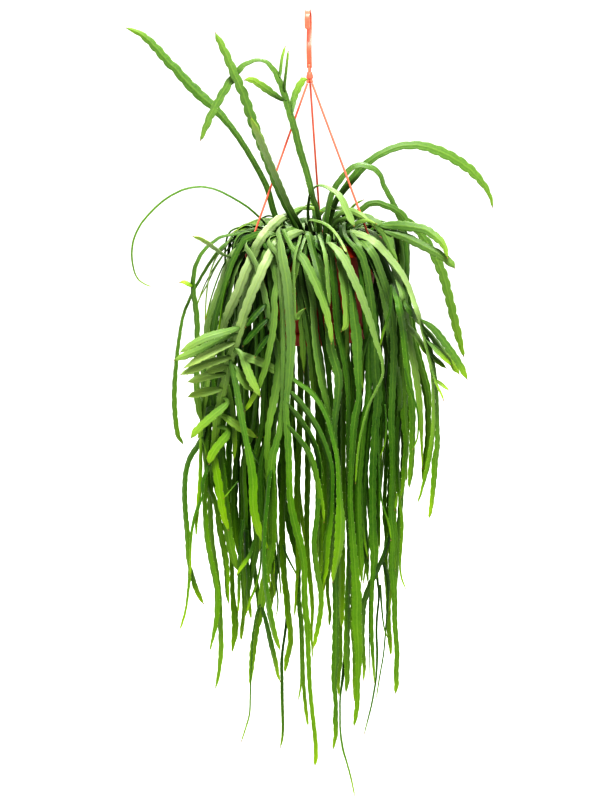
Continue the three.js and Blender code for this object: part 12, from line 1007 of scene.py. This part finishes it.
def hook_piece():
    cr = 9.4 + 1.6
    cl = [(0, -69.5), (0, -60), (0, -52), (0.3, -46), (1.2, -42), (2.9, -38), (5.6, -33), (8.0, -27.5), (9.8, -22.5), (10.7, -17)]
    for i in range(0, 17):
        a_ = i / 16 * math.pi
        cl.append((cr * math.cos(a_), -9.4 + cr * math.sin(a_)))
    cl += [(-cr - 0.15, -13.5), (-cr - 0.5, -17.5), (-cr - 1.2, -20.6)]
    pts = np.array(cl, float)
    # even steps
    d = np.linalg.norm(np.diff(pts, axis=0), axis=1)
    L = np.concatenate([[0], np.cumsum(d)])
    t = np.linspace(0, L[-1], 84)
    y = np.interp(t, L, pts[:, 0])
    z = np.interp(t, L, pts[:, 1])
    for _ in range(2):
        y[1:-1] = 0.25 * y[:-2] + 0.5 * y[1:-1] + 0.25 * y[2:]
        z[1:-1] = 0.25 * z[:-2] + 0.5 * z[1:-1] + 0.25 * z[2:]
    # section across the strap: raised rims with a groove between them
    sec = [(1, -0.55), (1, 0.55), (0.9, 0.95), (0.62, 1.0), (0.5, 0.62), (-0.5, 0.62), (-0.62, 1.0), (-0.9, 0.95), (-1, 0.55), (-1, -0.55), (-0.9, -0.95), (-0.62, -1.0), (-0.5, -0.62), (0.5, -0.62), (0.62, -1.0), (0.9, -0.95)]
    path, widths = [], []
    n = len(t)
    for i in range(n):
        ty, tz = (y[min(n - 1, i + 1)] - y[max(0, i - 1)]), (z[min(n - 1, i + 1)] - z[max(0, i - 1)])
        l_ = math.hypot(ty, tz)
        ty, tz = ty / l_, tz / l_
        p = turned((0, y[i], z[i]), TURN) * MM
        s_ = turned((1, 0, 0), TURN)
        nn = turned((0, -tz, ty), TURN)
        e0 = min(1.0, (t[i] + 0.25) / 1.6)
        e1 = min(1.0, (t[-1] - t[i] + 0.25) / 1.9)
        g = math.sqrt(max(0.0, 1 - (1 - e1) ** 2)) * (0.75 + 0.25 * e0)
        path.append((p, s_, nn))
        widths.append((3.2 * MM * g, 1.55 * MM * max(0.35, g)))
    v, fc = sweep(path, widths, sec)
    parts = [(v, fc)]
    ob = join_parts("hook_strap", parts, [hang_mat])
    return ob


hook = hook_piece()


def tube(points, radii, seg=14, frame_up=Vector((0, 1, 0.01))):
    path = []
    pts = [Vector(p) for p in points]
    n = len(pts)
    for i in range(n):
        t_ = (pts[min(n - 1, i + 1)] - pts[max(0, i - 1)]).normalized()
        s_ = t_.cross(frame_up)
        if s_.length < 0.2:
            s_ = t_.cross(Vector((1, 0, 0.02)))
        s_.normalize()
        path.append((pts[i] * MM, s_, t_.cross(s_)))
    sec = [(math.cos(2 * math.pi * k / seg), math.sin(2 * math.pi * k / seg)) for k in range(seg)]
    rr = [(a_ * MM, a_ * MM) for a_ in radii]
    return sweep(path, rr, sec)


def hub_piece():
    parts = []
    # pin through the strap's eye, with round heads
    pin = [turned((0, y_, -66.5), TURN) for y_ in (-3.5, -3.3, -2.9, 2.9, 3.3, 3.5)]
    parts.append(tube(pin, (0.9, 1.35, 1.45, 1.45, 1.35, 0.9), 16, Vector((0, 0, 1))))
    for s_ in (-1, 1):
        v, fc = box_part(0, s_ * 2.6, -70.2, 3.0, 1.2, 11.5, TURN, 0.45)
        parts.append((v, fc))
    prof = [(0.4, -73.9), (2.7, -74.0), (3.3, -74.8), (3.5, -77), (4.1, -79), (4.3, -81), (3.9, -82.2), (2.6, -82.6), (0.4, -82.6)]
    seg = 28
    v, fc = [], []
    for rr, z_ in prof:
        for k in range(seg):
            a_ = 2 * math.pi * k / seg
            v.append((rr * math.cos(a_) * MM, rr * math.sin(a_) * MM, z_ * MM))
    for i in range(len(prof) - 1):
        for k in range(seg):
            k2 = (k + 1) % seg
            fc.append((i * seg + k, i * seg + k2, (i + 1) * seg + k2, (i + 1) * seg + k))
    fc.append(tuple(range(seg)))
    fc.append(tuple(range((len(prof) - 1) * seg, len(prof) * seg))[::-1])
    parts.append((v, fc))
    for az in AZ:
        d_ = Vector((93.66 * math.cos(az), 93.66 * math.sin(az), -218.2)).normalized()
        o = Vector((0, 0, -80))
        parts.append(tube([o + d_ * k for k in (0.5, 2, 4, 6, 7.6, 8.3)], (1.9, 2.0, 2.0, 1.95, 1.85, 1.5), 16))
    return join_parts("hub_shell", parts, [hang_mat])


hub = hub_piece()


def wire_piece(name, az):
    e = Vector((93.66 * math.cos(az), 93.66 * math.sin(az), -298.2))
    o = Vector((0, 0, -80))
    d_ = (e - o).normalized()
    L = (e - o).length
    rad = Vector((math.cos(az), math.sin(az), 0))
    tan = Vector((-math.sin(az), math.cos(az), 0))
    pts = [o + d_ * (9 + (L - 22) * k / 23.0) for k in range(24)]
    parts = [tube(pts, [1.28 + 0.03 * math.sin(k * 1.7) for k in range(24)], 14)]
    # clip: shank that flattens, hooks under the rim band and turns in
    nn = d_.cross(tan).normalized()
    prof = [(-14.5, 1.3, 1.3), (-12, 1.5, 1.5), (-9.5, 1.9, 1.35), (-6, 2.2, 1.25), (-3, 2.2, 1.25), (-0.6, 2.2, 1.25)]
    path, wd = [], []
    for s_, a_, b_ in prof:
        p = o + d_ * (L + s_)
        path.append((p * MM, tan, nn))
        wd.append((a_ * MM, b_ * MM))
    # the toe turns inwards under the band
    start = o + d_ * (L - 0.6)
    under = -298.35
    for k in range(1, 6):
        g = k / 5 * math.pi / 2
        p = start + d_ * (0.9 * math.sin(g)) - rad * (1.3 * (1 - math.cos(g)))
        p.z = start.z * (1 - k / 5) + under * (k / 5) if k > 2 else p.z
        dirv = (d_ * math.cos(g) - rad * math.sin(g)).normalized()
        path.append((p * MM, tan, dirv.cross(tan).normalized() * (1 if dirv.cross(tan).dot(nn) > -2 else -1)))
        wd.append((2.2 * MM, (1.25 - 0.45 * k / 5) * MM))
    # keep the normals on one side
    for i in range(1, len(path)):
        if path[i][2].dot(path[i - 1][2]) < 0:
            path[i] = (path[i][0], path[i][1], -path[i][2])
    last = path[-1][0]
    for k in (1.5, 3.0, 4.2):
        path.append((last - rad * k * MM, tan, path[-1][2]))
        wd.append((2.2 * MM * (1 if k < 4 else 0.8), 0.8 * MM * (1 if k < 4 else 0.7)))
    sec = [(math.copysign(abs(math.cos(x_)) ** 0.55, math.cos(x_)), math.copysign(abs(math.sin(x_)) ** 0.55, math.sin(x_))) for x_ in (2 * math.pi * (k + 0.5) / 16 for k in range(16))]
    parts.append(sweep(path, wd, sec))
    return join_parts(name, parts, [hang_mat])


wires = {n_: wire_piece(n_.replace("hanger_wire", "wire_clip"), az) for n_, az in zip(("hanger_wire_back", "hanger_wire_right", "hanger_wire_left"), AZ)}

for ob, slot_, nodes_ in (
    (pot, "pot_plastic", ["hanging_pot"]),
    (saucer, "pot_plastic", ["drip_saucer"]),
    (saucer_ribs, "pot_plastic", []),
    (soil, "potting_mix", ["potting_soil"]),
    (bits, "potting_mix", []),
    (hook, "hanger_plastic", ["hanger_hook"]),
    (hub, "hanger_plastic", ["hanger_hub"]),
):
    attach(ob, "root")
    if nodes_:
        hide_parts(*nodes_)
for n_, ob in wires.items():
    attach(ob, "root")
    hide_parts(n_)
sharp_by_angle(pot, 50)
sharp_by_angle(saucer, 50)

# ------------------------------------------------------- floor and backdrop
def backdrop():
    floor_z, seg = -1.06, 96
    prof = [(0.0, floor_z), (0.6, floor_z), (1.2, floor_z), (2.4, floor_z), (7.0, floor_z)]
    for k in range(1, 13):
        g = k / 12 * math.pi / 2
        prof.append((7.0 + 2.5 * math.sin(g), floor_z + 2.5 * (1 - math.cos(g))))
    prof += [(9.5, 6.5)]
    v, fc = [(0, 0, floor_z)], []
    for rr, z_ in prof[1:]:
        for k in range(seg):
            a_ = 2 * math.pi * k / seg
            v.append((rr * math.cos(a_), rr * math.sin(a_), z_))
    for k in range(seg):
        fc.append((0, 1 + k, 1 + (k + 1) % seg))
    for i in range(len(prof) - 2):
        for k in range(seg):
            k2 = (k + 1) % seg
            fc.append((1 + i * seg + k, 1 + (i + 1) * seg + k, 1 + (i + 1) * seg + k2, 1 + i * seg + k2))
    mat, nt, sh = new_material("studio_paper")
    n1 = noise_tex(nt, coords(nt), 3.0, 2.0)
    nt.links.new(ramp(nt, n1, ((0.3, (0.49,) * 3), (0.7, (0.51,) * 3))), sh.inputs["Base Color"])
    sh.inputs["Roughness"].default_value = 0.95
    sh.inputs["Specular IOR Level"].default_value = 0.0
    sh.inputs["Emission Color"].default_value = (1, 1, 1, 1)
    grad = nt.nodes.new("ShaderNodeTexGradient")
    grad.gradient_type = "SPHERICAL"
    mp = nt.nodes.new("ShaderNodeMapping")
    mp.inputs[1].default_value = (0, -0.1, -floor_z / 1.7)
    mp.inputs[3].default_value = (1 / 1.7,) * 3
    tc = nt.nodes.new("ShaderNodeTexCoord")
    nt.links.new(tc.outputs["Object"], mp.inputs[0])
    nt.links.new(mp.outputs[0], grad.inputs[0])
    # emission a little lower around the spot under the plant: a painted soft shadow on the floor
    glow_with_painted_shadow = ramp(nt, grad.outputs[1], ((0.0, (0.345,) * 3), (0.75, (0.30,) * 3)), "EASE")
    nt.links.new(glow_with_painted_shadow, sh.inputs["Emission Strength"])
    return make_object("studio_floor", v, fc, [mat])


backdrop()

# --------------------------------------------------------------- lighting
def area(name, loc, target, size, power, color=(1, 1, 1)):
    d = bpy.data.lights.new(name, "AREA")
    d.shape = "RECTANGLE"
    d.size, d.size_y = size
    d.energy = power
    d.color = color
    ob = bpy.data.objects.new(name, d)
    scene_coll.objects.link(ob)
    ob.location = loc
    ob.rotation_euler = (Vector(target) - Vector(loc)).to_track_quat("-Z", "Y").to_euler()
    return ob


for args in LIGHTS:
    area(*args)
world = bpy.data.worlds.new("studio_world")
bpy.context.scene.world = world
world.use_nodes = True
bg = world.node_tree.nodes["Background"]
bg.inputs[0].default_value = (*(1.0, 1.0, 1.0, 0.85)[:3], 1)
bg.inputs[1].default_value = (1.0, 1.0, 1.0, 0.85)[3]
bpy.context.scene.view_settings.view_transform = "Standard"
bpy.context.scene.view_settings.look = "Very High Contrast"
bpy.context.scene.view_settings.exposure = 0.0
bpy.context.scene.view_settings.gamma = 1.0
